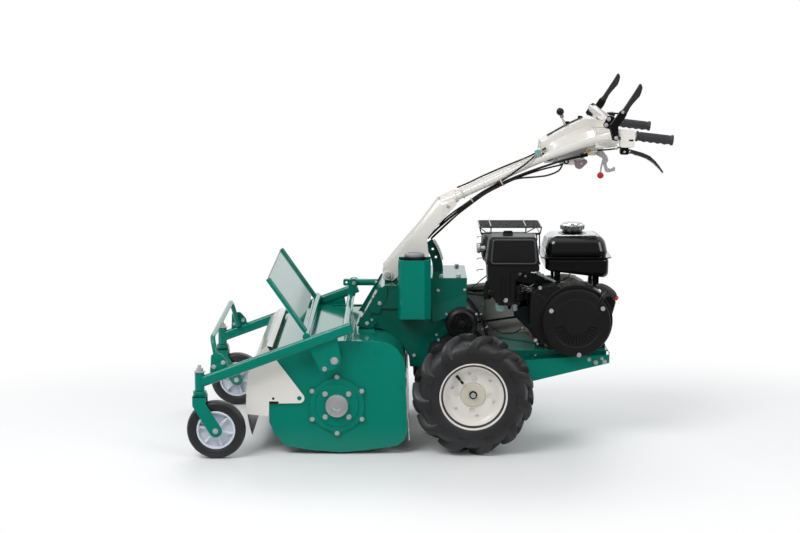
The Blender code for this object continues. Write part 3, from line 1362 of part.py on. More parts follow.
def make_handle_frame(paint):
    """Two bent tubes with a cross tube, the head plates and the sockets of the grips."""
    shapes = []
    for side in (-1, 1):
        route = [Vector(point) for point in handle_route(side)]
        tube = bend_path(route[:-1], 0.060, 1)
        along = (route[-1] - route[-2]).normalized()
        tube[-1] = tube[-1] - along * seat * 2
        shapes.append(sweep(tube, tube_radius, 8))
        shapes.append(rod(route[-2] - along * 0.006, route[-1] - along * 0.003, grip_core, 8))
        y = side * grip_y
        outline = [(0.640, 1.100), (0.688, 1.097), (0.690, 1.048), (0.642, 1.048)]
        shapes.append(slab_xz(outline, *sorted((y - side * 0.021, y + side * 0.021))))
        plate_y = side * 0.205
        head = rounded([(0.570, 1.097), (0.655, 1.100), (0.655, 1.040), (0.570, 1.037)], 0.006, 1)
        shapes.append(slab_xz(head, *sorted((plate_y, plate_y - side * 0.003))))
    shapes.append(box((0.571, -0.204, 1.040), (0.654, 0.204, 1.043)))
    shapes.append(box((0.571, -0.204, 1.041), (0.574, 0.204, 1.094)))
    shapes.append(box((0.571, -0.204, 1.093), (0.654, 0.204, 1.0965)))
    shapes += gear_saddle() + throttle_clamp() + brake_clamp() + switch_plate()
    cuts = []
    for side in (-1, 1):
        y = side * grip_y
        faces = sorted((y - side * 0.018, y + side * 0.018))
        cuts.append(box((0.630, faces[0], 1.0515), (0.656, faces[1], 1.0705)))
    return fuse("handle_frame", shapes, paint, cuts, origin=(0.6, 0, 1.07))


def make_console(paint):
    """Folded sheet over the tubes that covers the rods and carries the gear lever."""
    outline = [(0.392, 1.0075), (0.398, 1.044), (0.480, 1.082), (0.566, 1.118), (0.650, 1.120), (0.656, 1.0969),
               (0.570, 1.0969)]
    inner = [(0.380, 1.000), (0.4005, 1.0415), (0.481, 1.079), (0.567, 1.115), (0.648, 1.117), (0.653, 1.090),
             (0.570, 1.080)]
    half = console_half
    shapes = [slab_xz(outline, -half, half)]
    cuts = [slab_xz(inner, -half + 0.003, half - 0.003),
            box((gear_x - 0.030, -0.009, 1.05), (gear_x + 0.040, 0.009, 1.15))]
    return fuse("console_cover", shapes, paint, cuts, origin=(0.5, 0, 1.05))


def make_lever_shaft(material):
    """Cross tube over the head with the plates at each end that carry the clutch levers."""
    inner = lever_y - 0.018
    shapes = [rod((0.607, -inner - 0.003, 1.138), (0.607, inner + 0.003, 1.138), 0.0125, 12)]
    for side in (-1, 1):
        y = side * (inner + 0.004)
        outline = rounded([(0.590, 1.150), (0.622, 1.160), (0.638, 1.138), (0.637, 1.070), (0.614, 1.070),
                           (0.588, 1.120)], 0.008, 1)
        shapes.append(slab_xz(outline, *sorted((side * inner, y))))
        shapes.append(rod((lever_x, y - side * 0.001, lever_z), (lever_x, side * (lever_y + 0.004), lever_z), 0.004, 8))
        arm_face = lever_y + 0.003 + seat
        shapes.append(hex_bolt((lever_x, side * (arm_face + 0.0015), lever_z), (0, side, 0), 0.012, 0.004))
        shapes.append(box((0.600, side * 0.185 - 0.010, 1.0965 + seat), (0.614, side * 0.185 + 0.010, 1.132)))
    return fuse("lever_shaft", shapes, material, origin=(lever_x, 0, lever_z))


def make_upper_lever(side, material):
    """Clutch lever: a stamped arm with a curved blade above its joint bolt."""
    name = "clutch_lever_" + ("left" if side < 0 else "right")
    y = side * lever_y
    faces = sorted((y - side * 0.003, y + side * 0.003))
    arm = rounded([(lever_x - 0.012, lever_z - 0.004), (lever_x + 0.004, lever_z - 0.012),
                   (lever_x + 0.016, lever_z + 0.002), (lever_x + 0.026, lever_z + 0.058),
                   (lever_x + 0.033, lever_z + 0.094), (lever_x + 0.012, lever_z + 0.094),
                   (lever_x - 0.020, lever_z + 0.066), (lever_x - 0.024, lever_z + 0.056)], 0.006, 2)
    spine = smooth_path([(lever_x + 0.017, 0, lever_z + 0.078), (lever_x + 0.034, 0, lever_z + 0.108),
                         (lever_x + 0.060, 0, lever_z + 0.148), (lever_x + 0.084, 0, lever_z + 0.178)], 3)
    widths = [0.0075, 0.0080, 0.0085, 0.0095, 0.0110, 0.0120, 0.0122, 0.0120, 0.0112, 0.0070]
    left, right = [], []
    for i, point in enumerate(spine):
        along = (spine[min(i + 1, len(spine) - 1)] - spine[max(i - 1, 0)]).normalized()
        across = Vector((-along.z, 0, along.x)) * widths[i] * 0.5 * 1.6
        left.append((point.x + across.x, point.z + across.z))
        right.append((point.x - across.x, point.z - across.z))
    blade = slab_xz(left + right[::-1], y - 0.0075, y + 0.0075)
    shapes = [slab_xz(arm, *faces), blade]
    cuts = [rod((lever_x, y - 0.02, lever_z), (lever_x, y + 0.02, lever_z), hole(0.004, 8), 8)]
    return fuse(name, shapes, material, cuts, origin=(lever_x, y, lever_z))


def make_grip(side, material):
    """Rubber grip with finger ribs below and a flange at each end."""
    name = "grip_" + ("left" if side < 0 else "right")
    route = [Vector(point) for point in handle_route(side)]
    along = (route[-1] - route[-2]).normalized()
    start = route[-2]
    length = (route[-1] - start).length
    core = hole(grip_core, 8)
    profile = [(core, 0.0), (grip_radius + 0.002, 0.0), (grip_radius + 0.002, 0.006),
               (grip_radius - 0.002, 0.009)]
    for i in range(3):
        middle = 0.028 + (length - 0.056) * i / 2
        profile += [(grip_radius - 0.002, middle - 0.006), (grip_radius, middle - 0.002),
                    (grip_radius, middle + 0.002), (grip_radius - 0.002, middle + 0.006)]
    profile += [(grip_radius - 0.002, length - 0.010), (grip_radius + 0.0015, length - 0.007),
                (grip_radius + 0.0015, length), (0.0, length + 0.001), (0.0, length - 0.0025),
                (core, length - 0.0025)]
    shape = spin(profile, (0, 0, 0), "X", 8)
    turn = Vector((1, 0, 0)).rotation_difference(along).to_matrix().to_4x4()
    return solid(name, placed(shape, Matrix.Translation(start) @ turn), material, start)


def make_brake_lever(material):
    """Lower lever, squeezed up towards the left grip."""
    y = -grip_y
    path = smooth_path([(0.664, y, 1.036), (0.695, y, 1.030), (0.735, y, 1.014), (0.772, y, 0.986),
                        (0.793, y, 0.962)], 2)
    sizes = [0.0080 - 0.0042 * i / (len(path) - 1) for i in range(len(path))]
    shapes = [sweep(path, 0.006, 6, sizes), rod((brake_x, y - 0.008, brake_z), (brake_x, y + 0.008, brake_z), 0.011, 8),
              box((brake_x, y - 0.006, brake_z - 0.008), (0.676, y + 0.006, brake_z + 0.003))]
    cuts = [rod((brake_x, y - 0.03, brake_z), (brake_x, y + 0.03, brake_z), hole(0.004, 8), 8)]
    return fuse("brake_lever", shapes, material, cuts, origin=(brake_x, y, brake_z))


def brake_clamp():
    """Clamp below the handle head in which the brake lever turns."""
    y = -grip_y
    shapes = [box((brake_x - 0.022, y - 0.013, brake_z + 0.0125), (brake_x + 0.020, y + 0.013, 1.050))]
    for hand in (-1, 1):
        shapes.append(box((brake_x - 0.014, y + min(hand * 0.009, hand * 0.013), brake_z - 0.010),
                          (brake_x + 0.014, y + max(hand * 0.009, hand * 0.013), 1.047)))
    shapes.append(rod((brake_x, y - 0.016, brake_z), (brake_x, y + 0.016, brake_z), 0.004, 8))
    return shapes


def make_hook_lever(material):
    """Hooked lever under the handle head, with a ball on its stem."""
    y = hook_y
    outline = [(hook_x - 0.010, hook_z + 0.006), (hook_x + 0.014, hook_z + 0.006), (0.625, 1.000), (0.618, 0.985),
               (0.626, 0.955), (0.640, 0.950), (0.646, 0.958), (0.652, 0.952), (0.646, 0.938), (0.622, 0.940),
               (0.610, 0.978), (0.606, 0.990), (hook_x - 0.008, hook_z - 0.012)]
    shapes = [slab_xz(outline, y - 0.0025, y + 0.0025),
              sweep([(0.612, y, 0.985), (0.600, y, 0.965), (0.598, y, 0.938)], 0.0032, 8)]
    ball = bmesh.new()
    bmesh.ops.create_uvsphere(ball, u_segments=8, v_segments=6, radius=0.0115)
    shapes.append(placed(ball, Matrix.Translation((0.598, y, 0.934))))
    cuts = [rod((hook_x, y - 0.02, hook_z), (hook_x, y + 0.02, hook_z), hole(0.004, 8), 8)]
    return fuse("hook_lever", shapes, material, cuts, origin=(hook_x, y, hook_z))


def switch_plate():
    """Plate with cams under the head, which carries the hooked lever and the cable ends."""
    y = hook_y
    outline = rounded([(0.475, 1.010), (0.570, 1.044), (0.612, 1.044), (0.610, 1.006), (0.540, 0.990),
                       (0.470, 0.978)], 0.008, 1)
    shapes = [slab_xz(outline, y + 0.004, y + 0.007),
              rod((hook_x, y - 0.0075, hook_z), (hook_x, y + 0.005, hook_z), 0.004, 8),
              rod((0.500, y - 0.016, 0.994), (0.500, y + 0.005, 0.994), 0.013, 8),
              rod((0.545, y - 0.012, 1.006), (0.545, y + 0.005, 1.006), 0.009, 6),
              box((0.524, y - 0.014, 1.018), (0.560, y + 0.005, 1.030))]
    shapes.append(hex_bolt((hook_x, y - 0.0065, hook_z), (0, -1, 0), 0.011, 0.003))
    return shapes


def make_gear_lever(material):
    """Gear lever: a stem with a ball knob that moves in the slot of the console."""
    foot = Vector((gear_x, 0, gear_z))
    knob = Vector((0.466, 0, 1.146))
    way = (knob - foot).normalized()
    ball = bmesh.new()
    bmesh.ops.create_uvsphere(ball, u_segments=10, v_segments=7, radius=0.0135)
    shapes = [rod(foot, knob, 0.0045, 8), placed(ball, Matrix.Translation(knob)),
              rod(knob - way * 0.022, knob - way * 0.008, 0.007, 6),
              rod((gear_x, -0.012, gear_z), (gear_x, 0.012, gear_z), 0.010, 8)]
    cuts = [rod((gear_x, -0.03, gear_z), (gear_x, 0.03, gear_z), hole(0.004, 8), 8)]
    return fuse("gear_lever", shapes, material, cuts, origin=foot)


def gear_saddle():
    """Saddle on the cross tube in which the gear lever turns."""
    shapes = []
    for hand in (-1, 1):
        outline = rounded([(gear_x - 0.014, gear_z - 0.012), (gear_x + 0.014, gear_z - 0.012),
                           (gear_x + 0.010, gear_z + 0.010), (gear_x - 0.010, gear_z + 0.010)], 0.006, 1)
        faces = sorted((hand * 0.0125, hand * 0.0160))
        shapes.append(slab_xz(outline, *faces))
    shapes.append(box((gear_x - 0.014, -0.0155, gear_z - 0.0145), (gear_x + 0.014, 0.0155, gear_z - 0.0115)))
    shapes.append(rod((gear_x, -0.115, gear_z - 0.0205), (gear_x, 0.115, gear_z - 0.0205), 0.008, 6))
    shapes.append(rod((gear_x, -0.018, gear_z), (gear_x, 0.018, gear_z), 0.004, 8))
    return shapes


def make_throttle_lever(material):
    """Thumb lever beside the right grip."""
    y = grip_y
    centre = Vector((throttle_x, y, grip_start_z + tube_radius + 0.0163))
    shapes = [rod(centre - Vector((0, 0, 0.004)), centre + Vector((0, 0, 0.004)), 0.016, 10),
              box(centre + Vector((0.004, -0.006, -0.003)), centre + Vector((0.040, 0.006, 0.003)))]
    cuts = [rod(centre - Vector((0, 0, 0.02)), centre + Vector((0, 0, 0.02)), hole(0.004, 8), 8)]
    return fuse("throttle_lever", shapes, material, cuts, origin=centre)


def throttle_clamp():
    """Clamp of the thumb lever on the right handle tube, with its pivot screw."""
    y = grip_y
    top = grip_start_z + tube_radius + 0.0120
    return [rod((throttle_x, y, top - 0.006), (throttle_x, y, top), 0.014, 10),
            rod((throttle_x, y, top - 0.004), (throttle_x, y, top + 0.0095), 0.004, 8),
            rod((throttle_x, y, top + 0.0085 + seat), (throttle_x, y, top + 0.0115), 0.008, 6),
            box((throttle_x - 0.008, y - 0.012, 1.096), (throttle_x + 0.008, y + 0.012, top - 0.001))]


def make_cable(name, points, radius, steps, material):
    """Control cable along its clips."""
    curve = bpy.data.curves.new(name, "CURVE")
    curve.dimensions = "3D"
    curve.bevel_depth = radius
    curve.bevel_resolution = 1
    curve.use_fill_caps = True
    curve.render_resolution_u = 0
    path = smooth_path(points, steps)
    spline = curve.splines.new("POLY")
    spline.points.add(len(path) - 1)
    for point, place in zip(spline.points, path):
        point.co = (*place, 1.0)
    curve.materials.append(material)
    item = bpy.data.objects.new(name, curve)
    bpy.context.scene.collection.objects.link(item)
    return item


def build():
    clear_scene()
    green_paint = make_material("green_paint", green, 0.28)
    dark_paint = make_material("dark_green_paint", dark_green, 0.35)
    ivory_paint = make_material("ivory_paint", ivory, 0.35)
    black_paint = make_material("black_paint", black, 0.35)
    black_plastic = make_material("black_plastic", black, 0.5)
    tyre_rubber = make_material("tyre_rubber", rubber, 0.8)
    flap_rubber = make_material("flap_rubber", rubber, 0.75)
    hub_plastic = make_material("hub_plastic", hub_grey, 0.45)
    bare_steel = make_material("bare_steel", steel, 0.35, 1.0)
    cast_metal = make_material("cast_metal", casting, 0.6, 0.4)

    make_front_frame(green_paint)
    make_front_guard(green_paint)
    make_front_shield(green_paint)
    make_height_rod(green_paint)
    for side in (-1, 1):
        make_fork(side, green_paint)
        make_caster_tyre(side, tyre_rubber)
        make_caster_hub(side, hub_plastic)

    make_hood(green_paint)
    make_bearing_housing(green_paint)
    make_rotor_drive_cover(green_paint)
    make_rotor(dark_paint)
    for row in range(4):
        make_knife_row(row, bare_steel)
    make_front_flap(ivory_paint)
    make_flap_curtain(flap_rubber)
    make_rear_flap(ivory_paint)

    make_chassis(dark_paint)
    make_canister(black_plastic)
    make_transmission(cast_metal)
    make_fan_cover(black_plastic)
    make_engine_base(green_paint)
    make_belt_cover(ivory_paint)
    make_belt(flap_rubber)
    make_pulley("engine_pulley", crank_x, crank_z, engine_pulley, pulley_low, pulley_high, 0.150, bare_steel)
    make_pulley("drive_pulley", drive_x, drive_z, drive_pulley, pulley_low, pulley_high, 0.136, bare_steel)
    for side in (-1, 1):
        make_side_plate(side, green_paint)
        make_rim(side, ivory_paint)
        make_tyre(side, tyre_rubber)

    make_engine_block(cast_metal)
    make_fan_housing(black_paint)
    make_recoil_cover(black_paint)
    make_recoil_grip(black_plastic)
    make_fuel_tank(black_paint)
    make_fuel_cap(bare_steel)
    make_air_cleaner(black_plastic)
    make_carburettor(cast_metal)
    make_muffler(cast_metal)
    make_muffler_guard(black_paint)

    make_column(ivory_paint)
    make_handle_frame(ivory_paint)
    make_console(ivory_paint)
    make_lever_shaft(black_paint)
    for side in (-1, 1):
        make_upper_lever(side, black_plastic)
        make_grip(side, black_plastic)
    make_brake_lever(black_plastic)
    make_hook_lever(bare_steel)
    make_gear_lever(black_plastic)
    make_throttle_lever(black_plastic)
    make_cable("cable_bundle", [(0.560, -0.058, 1.012), (0.470, -0.064, 0.989), (0.400, -0.062, 0.9655),
                                (0.300, -0.055, 0.920), (0.200, -0.050, 0.868), (0.130, -0.040, 0.812),
                                (0.075, -0.020, 0.758), (0.020, 0.000, 0.700)], 0.0075, 3, flap_rubber)


build()
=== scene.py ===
import json
import math

import bmesh
import bpy
from mathutils import Matrix, Vector


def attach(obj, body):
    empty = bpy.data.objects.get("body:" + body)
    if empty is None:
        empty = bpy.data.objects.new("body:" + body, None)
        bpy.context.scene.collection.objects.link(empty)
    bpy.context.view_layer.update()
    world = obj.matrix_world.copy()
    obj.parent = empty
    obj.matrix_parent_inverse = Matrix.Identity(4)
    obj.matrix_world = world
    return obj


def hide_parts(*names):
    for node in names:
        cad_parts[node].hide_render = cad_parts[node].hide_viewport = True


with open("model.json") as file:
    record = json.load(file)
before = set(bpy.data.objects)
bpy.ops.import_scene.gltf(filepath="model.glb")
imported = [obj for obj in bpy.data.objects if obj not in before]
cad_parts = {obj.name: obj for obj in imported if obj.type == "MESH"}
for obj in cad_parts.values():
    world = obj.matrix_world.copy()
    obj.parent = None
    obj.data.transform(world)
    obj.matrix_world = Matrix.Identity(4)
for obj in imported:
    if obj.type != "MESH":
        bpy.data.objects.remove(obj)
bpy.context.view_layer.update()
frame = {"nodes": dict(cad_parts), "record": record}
print("loaded the machine:", len(frame["nodes"]), "nodes")


# View and light: the photograph's angle over a plain pale floor
studio = {
    "cameraPlace": (-0.081, -6.40, 1.627),
    "tiltDown": 9.16,
    "lensPixels": 1820.0,       # focal length in pixels of the 800 wide frame
    "frameWidth": 800.0,
    "sideShift": -4.5,          # pixels
    "floorColour": (0.93, 0.935, 0.94),
    "skyStrength": 0.5,
    "cameraSide": 0.22,         # how bright the room is behind the camera, beside 1 above and behind the machine
    "keyPower": 112.0,
    "fillPower": 45.0,
    "rimPower": 55.0,
    "roomTint": (0.97, 0.985, 1.0),
    "roomLean": 0.8,            # how much the room's brightness follows Y beside Z
    "roomFade": (-0.35, 0.65),
    "floorHalf": 60.0,
    "floorSqueeze": (0.62, 1.0, 1.0),
    "fade": (0.70, 1.5),        # metres from the middle where the floor turns white
    "darkFade": (-0.32, -0.80),  # metres in Y where its reflection turns dark
}

scene = bpy.context.scene
scene.view_settings.view_transform = "Standard"


def setUpCamera():
    lens = bpy.data.cameras.new("viewCamera")
    lens.sensor_width = 36.0
    lens.lens = studio["lensPixels"] / studio["frameWidth"] * 36.0
    lens.shift_x = studio["sideShift"] / studio["frameWidth"]
    lens.clip_end = 200.0
    camera = bpy.data.objects.new("viewCamera", lens)
    camera.location = studio["cameraPlace"]
    camera.rotation_euler = (math.radians(90.0 - studio["tiltDown"]), 0.0, 0.0)
    scene.collection.objects.link(camera)
    scene.camera = camera


def addLamp(name, place, target, size, power):
    lamp = bpy.data.lights.new(name, "AREA")
    lamp.shape = "RECTANGLE"
    lamp.size, lamp.size_y = size
    lamp.energy = power
    holder = bpy.data.objects.new(name, lamp)
    holder.location = place
    aim = Vector(target) - Vector(place)
    holder.rotation_euler = aim.to_track_quat("-Z", "Y").to_euler()
    scene.collection.objects.link(holder)


def shaderNode(tree, kind, **values):
    # a node with constants on its named inputs
    node = tree.nodes.new("ShaderNode" + kind)
    for label, value in values.items():
        node.inputs[label].default_value = value
    return node


def mathNode(tree, operation, a, b):
    node = tree.nodes.new("ShaderNodeMath")
    node.operation = operation
    for i, value in enumerate((a, b)):
        if isinstance(value, (int, float)):
            node.inputs[i].default_value = value
        elif value is not None:
            tree.links.new(value, node.inputs[i])
    return node.outputs[0]


def rangeNode(tree, value, low, high, newLow, newHigh, smooth=False):
    node = tree.nodes.new("ShaderNodeMapRange")
    if smooth:
        node.interpolation_type = "SMOOTHSTEP"
    tree.links.new(value, node.inputs["Value"])
    for label, number in (("From Min", low), ("From Max", high), ("To Min", newLow), ("To Max", newHigh)):
        node.inputs[label].default_value = number
    return node.outputs["Result"]


def mixShaders(tree, factor, a, b):
    node = tree.nodes.new("ShaderNodeMixShader")
    for socket, value in zip(node.inputs, (factor, a, b)):
        tree.links.new(value, socket)
    return node.outputs[0]


def setUpLight():
    world = bpy.data.worlds.new("paleRoom")
    world.use_nodes = True
    tree = world.node_tree
    tree.nodes.clear()
    white = (1.0, 1.0, 1.0, 1.0)
    dim = shaderNode(tree, "Background", Color=(*studio["roomTint"], 1.0))
    plain = shaderNode(tree, "Background", Color=white, Strength=1.0)
    direction = tree.nodes.new("ShaderNodeSeparateXYZ")
    tree.links.new(tree.nodes.new("ShaderNodeTexCoord").outputs["Object"], direction.inputs[0])
    lean = mathNode(tree, "ADD", mathNode(tree, "MULTIPLY", direction.outputs["Y"], studio["roomLean"]),
                    direction.outputs["Z"])
    room = rangeNode(tree, lean, *studio["roomFade"], studio["cameraSide"], 1.0, smooth=True)
    path = tree.nodes.new("ShaderNodeLightPath")
    mirror = rangeNode(tree, path.outputs["Is Glossy Ray"], 0.0, 1.0, studio["skyStrength"], 1.0)
    tree.links.new(mathNode(tree, "MULTIPLY", room, mirror), dim.inputs["Strength"])
    seen = mixShaders(tree, path.outputs["Is Camera Ray"], dim.outputs[0], plain.outputs[0])
    tree.links.new(seen, tree.nodes.new("ShaderNodeOutputWorld").inputs["Surface"])
    scene.world = world
    addLamp("keyLamp", (-2.2, -2.6, 3.6), (0.0, 0.0, 0.4), (2.4, 2.0), studio["keyPower"])
    addLamp("fillLamp", (2.8, -3.0, 2.4), (0.1, 0.0, 0.5), (2.0, 2.0), studio["fillPower"])
    addLamp("rimLamp", (0.4, 2.8, 3.2), (0.0, 0.0, 0.6), (3.0, 1.4), studio["rimPower"])


def layFloor():
    # the floor takes the machine's shadow, and turns to plain white further out
    shape = bmesh.new()
    bmesh.ops.create_grid(shape, x_segments=1, y_segments=1, size=studio["floorHalf"])
    mesh = bpy.data.meshes.new("paleFloor")
    shape.to_mesh(mesh)
    shape.free()
    floor = bpy.data.objects.new("paleFloor", mesh)
    scene.collection.objects.link(floor)
    material = bpy.data.materials.new("paleFloor")
    material.use_nodes = True
    tree = material.node_tree
    shader = tree.nodes["Principled BSDF"]
    shader.inputs["Base Color"].default_value = (*studio["floorColour"], 1.0)
    shader.inputs["Roughness"].default_value = 0.5
    shader.inputs["Specular IOR Level"].default_value = 0.25
    white = shaderNode(tree, "Emission", Color=(1.0, 1.0, 1.0, 1.0))
    place = tree.nodes.new("ShaderNodeTexCoord").outputs["Object"]
    squeeze = shaderNode(tree, "Mapping", Scale=studio["floorSqueeze"])
    tree.links.new(place, squeeze.inputs["Vector"])
    far = tree.nodes.new("ShaderNodeVectorMath")
    far.operation = "LENGTH"
    tree.links.new(squeeze.outputs[0], far.inputs[0])
    fade = rangeNode(tree, far.outputs["Value"], *studio["fade"], 0.0, 1.0, smooth=True)
    path = tree.nodes.new("ShaderNodeLightPath")
    plain = mixShaders(tree, mathNode(tree, "MULTIPLY", path.outputs["Is Camera Ray"], fade), shader.outputs[0],
                       white.outputs[0])
    # in the paint's reflections the room gets dark towards the camera
    nearer = tree.nodes.new("ShaderNodeSeparateXYZ")
    tree.links.new(place, nearer.inputs[0])
    darker = rangeNode(tree, nearer.outputs["Y"], *studio["darkFade"], 0.0, 0.92, smooth=True)
    dark = shaderNode(tree, "Emission", Strength=0.05)
    last = mixShaders(tree, mathNode(tree, "MULTIPLY", path.outputs["Is Glossy Ray"], darker), plain, dark.outputs[0])
    tree.links.new(last, tree.nodes["Material Output"].inputs["Surface"])
    mesh.materials.append(material)


setUpCamera()
setUpLight()
layFloor()
print("camera, light and floor are set")


# Effects that several finishes share: groups that give colours, masks and heights only
def newGroup(name, inputs, outputs):
    group = bpy.data.node_groups.new(name, "ShaderNodeTree")
    for label, kind, value in inputs:
        socket = group.interface.new_socket(name=label, in_out="INPUT", socket_type=kind)
        socket.default_value = value
    for label, kind in outputs:
        group.interface.new_socket(name=label, in_out="OUTPUT", socket_type=kind)
    return group, group.nodes.new("NodeGroupInput"), group.nodes.new("NodeGroupOutput")


def noiseNode(tree, vector, scale, detail=3.0, roughness=0.55):
    noise = tree.nodes.new("ShaderNodeTexNoise")
    noise.inputs["Detail"].default_value = detail
    noise.inputs["Roughness"].default_value = roughness
    tree.links.new(vector, noise.inputs["Vector"])
    if isinstance(scale, float):
        noise.inputs["Scale"].default_value = scale
    else:
        tree.links.new(scale, noise.inputs["Scale"])
    return noise.outputs["Fac"]


def mixColour(tree, factor, a, b, blend="MIX"):
    node = tree.nodes.new("ShaderNodeMix")
    node.data_type = "RGBA"
    node.blend_type = blend
    for index, value in ((0, factor), (6, a), (7, b)):
        if isinstance(value, (int, float)):
            node.inputs[index].default_value = value
        elif isinstance(value, tuple):
            node.inputs[index].default_value = value
        else:
            tree.links.new(value, node.inputs[index])
    return node.outputs[2]


def buildToneGroup():
    # slow change of tone over a surface, with a little film of dust where it faces up
    group, start, end = newGroup(
        "toneAndDust",
        [("Vector", "NodeSocketVector", (0, 0, 0)), ("Colour", "NodeSocketColor", (0.5, 0.5, 0.5, 1)),
         ("Shade", "NodeSocketColor", (0.4, 0.4, 0.4, 1)), ("Patch Scale", "NodeSocketFloat", 6.0),
         ("Variation", "NodeSocketFloat", 0.3), ("Dust", "NodeSocketFloat", 0.1),
         ("Dust Colour", "NodeSocketColor", (0.45, 0.42, 0.37, 1))],
        [("Colour", "NodeSocketColor"), ("Dust Mask", "NodeSocketFloat")])
    patches = noiseNode(group, start.outputs["Vector"], start.outputs["Patch Scale"], 4.0)
    spread = rangeNode(group, patches, 0.35, 0.7, 0.0, 1.0)
    amount = mathNode(group, "MULTIPLY", spread, start.outputs["Variation"])
    toned = mixColour(group, amount, start.outputs["Colour"], start.outputs["Shade"])
    facing = group.nodes.new("ShaderNodeNewGeometry")
    split = group.nodes.new("ShaderNodeSeparateXYZ")
    group.links.new(facing.outputs["Normal"], split.inputs[0])
    up = rangeNode(group, split.outputs["Z"], 0.2, 1.0, 0.15, 1.0)
    specks = rangeNode(group, noiseNode(group, start.outputs["Vector"], 90.0, 6.0, 0.7), 0.45, 0.72, 0.0, 1.0)
    film = mathNode(group, "MULTIPLY", up, specks)
    mask = mathNode(group, "MULTIPLY", film, start.outputs["Dust"])
    dusty = mixColour(group, mask, toned, start.outputs["Dust Colour"])
    group.links.new(dusty, end.inputs["Colour"])
    group.links.new(mask, end.inputs["Dust Mask"])
    return group


def buildGrainGroup():
    # fine relief: paint skin, moulded stipple or cast sand, by its scale
    group, start, end = newGroup(
        "fineRelief",
        [("Vector", "NodeSocketVector", (0, 0, 0)), ("Grain Scale", "NodeSocketFloat", 400.0),
         ("Roughness", "NodeSocketFloat", 0.4), ("Spread", "NodeSocketFloat", 0.1)],
        [("Height", "NodeSocketFloat"), ("Roughness", "NodeSocketFloat")])
    grain = noiseNode(group, start.outputs["Vector"], start.outputs["Grain Scale"], 2.0)
    wide = noiseNode(group, start.outputs["Vector"], 9.0, 5.0)
    change = mathNode(group, "MULTIPLY", mathNode(group, "SUBTRACT", wide, 0.5), start.outputs["Spread"])
    rough = mathNode(group, "ADD", start.outputs["Roughness"], change)
    group.links.new(grain, end.inputs["Height"])
    group.links.new(rough, end.inputs["Roughness"])
    return group


def buildBrushGroup():
    # drawn lines along one direction, for turned and rolled steel
    group, start, end = newGroup(
        "brushLines",
        [("Vector", "NodeSocketVector", (0, 0, 0)), ("Stretch", "NodeSocketVector", (1.0, 40.0, 1.0)),
         ("Line Scale", "NodeSocketFloat", 60.0)],
        [("Height", "NodeSocketFloat"), ("Mask", "NodeSocketFloat")])
    scaled = group.nodes.new("ShaderNodeVectorMath")
    scaled.operation = "MULTIPLY"
    group.links.new(start.outputs["Vector"], scaled.inputs[0])
    group.links.new(start.outputs["Stretch"], scaled.inputs[1])
    lines = noiseNode(group, scaled.outputs[0], start.outputs["Line Scale"], 4.0)
    group.links.new(lines, end.inputs["Height"])
    group.links.new(rangeNode(group, lines, 0.4, 0.65, 0.0, 1.0), end.inputs["Mask"])
    return group


toneGroup = buildToneGroup()
grainGroup = buildGrainGroup()
brushGroup = buildBrushGroup()


def placeGroup(tree, group, **values):
    node = tree.nodes.new("ShaderNodeGroup")
    node.node_tree = group
    for label, value in values.items():
        socket = node.inputs[label.replace("_", " ")]
        if isinstance(value, bpy.types.NodeSocket):
            tree.links.new(value, socket)
        else:
            socket.default_value = value
    return node


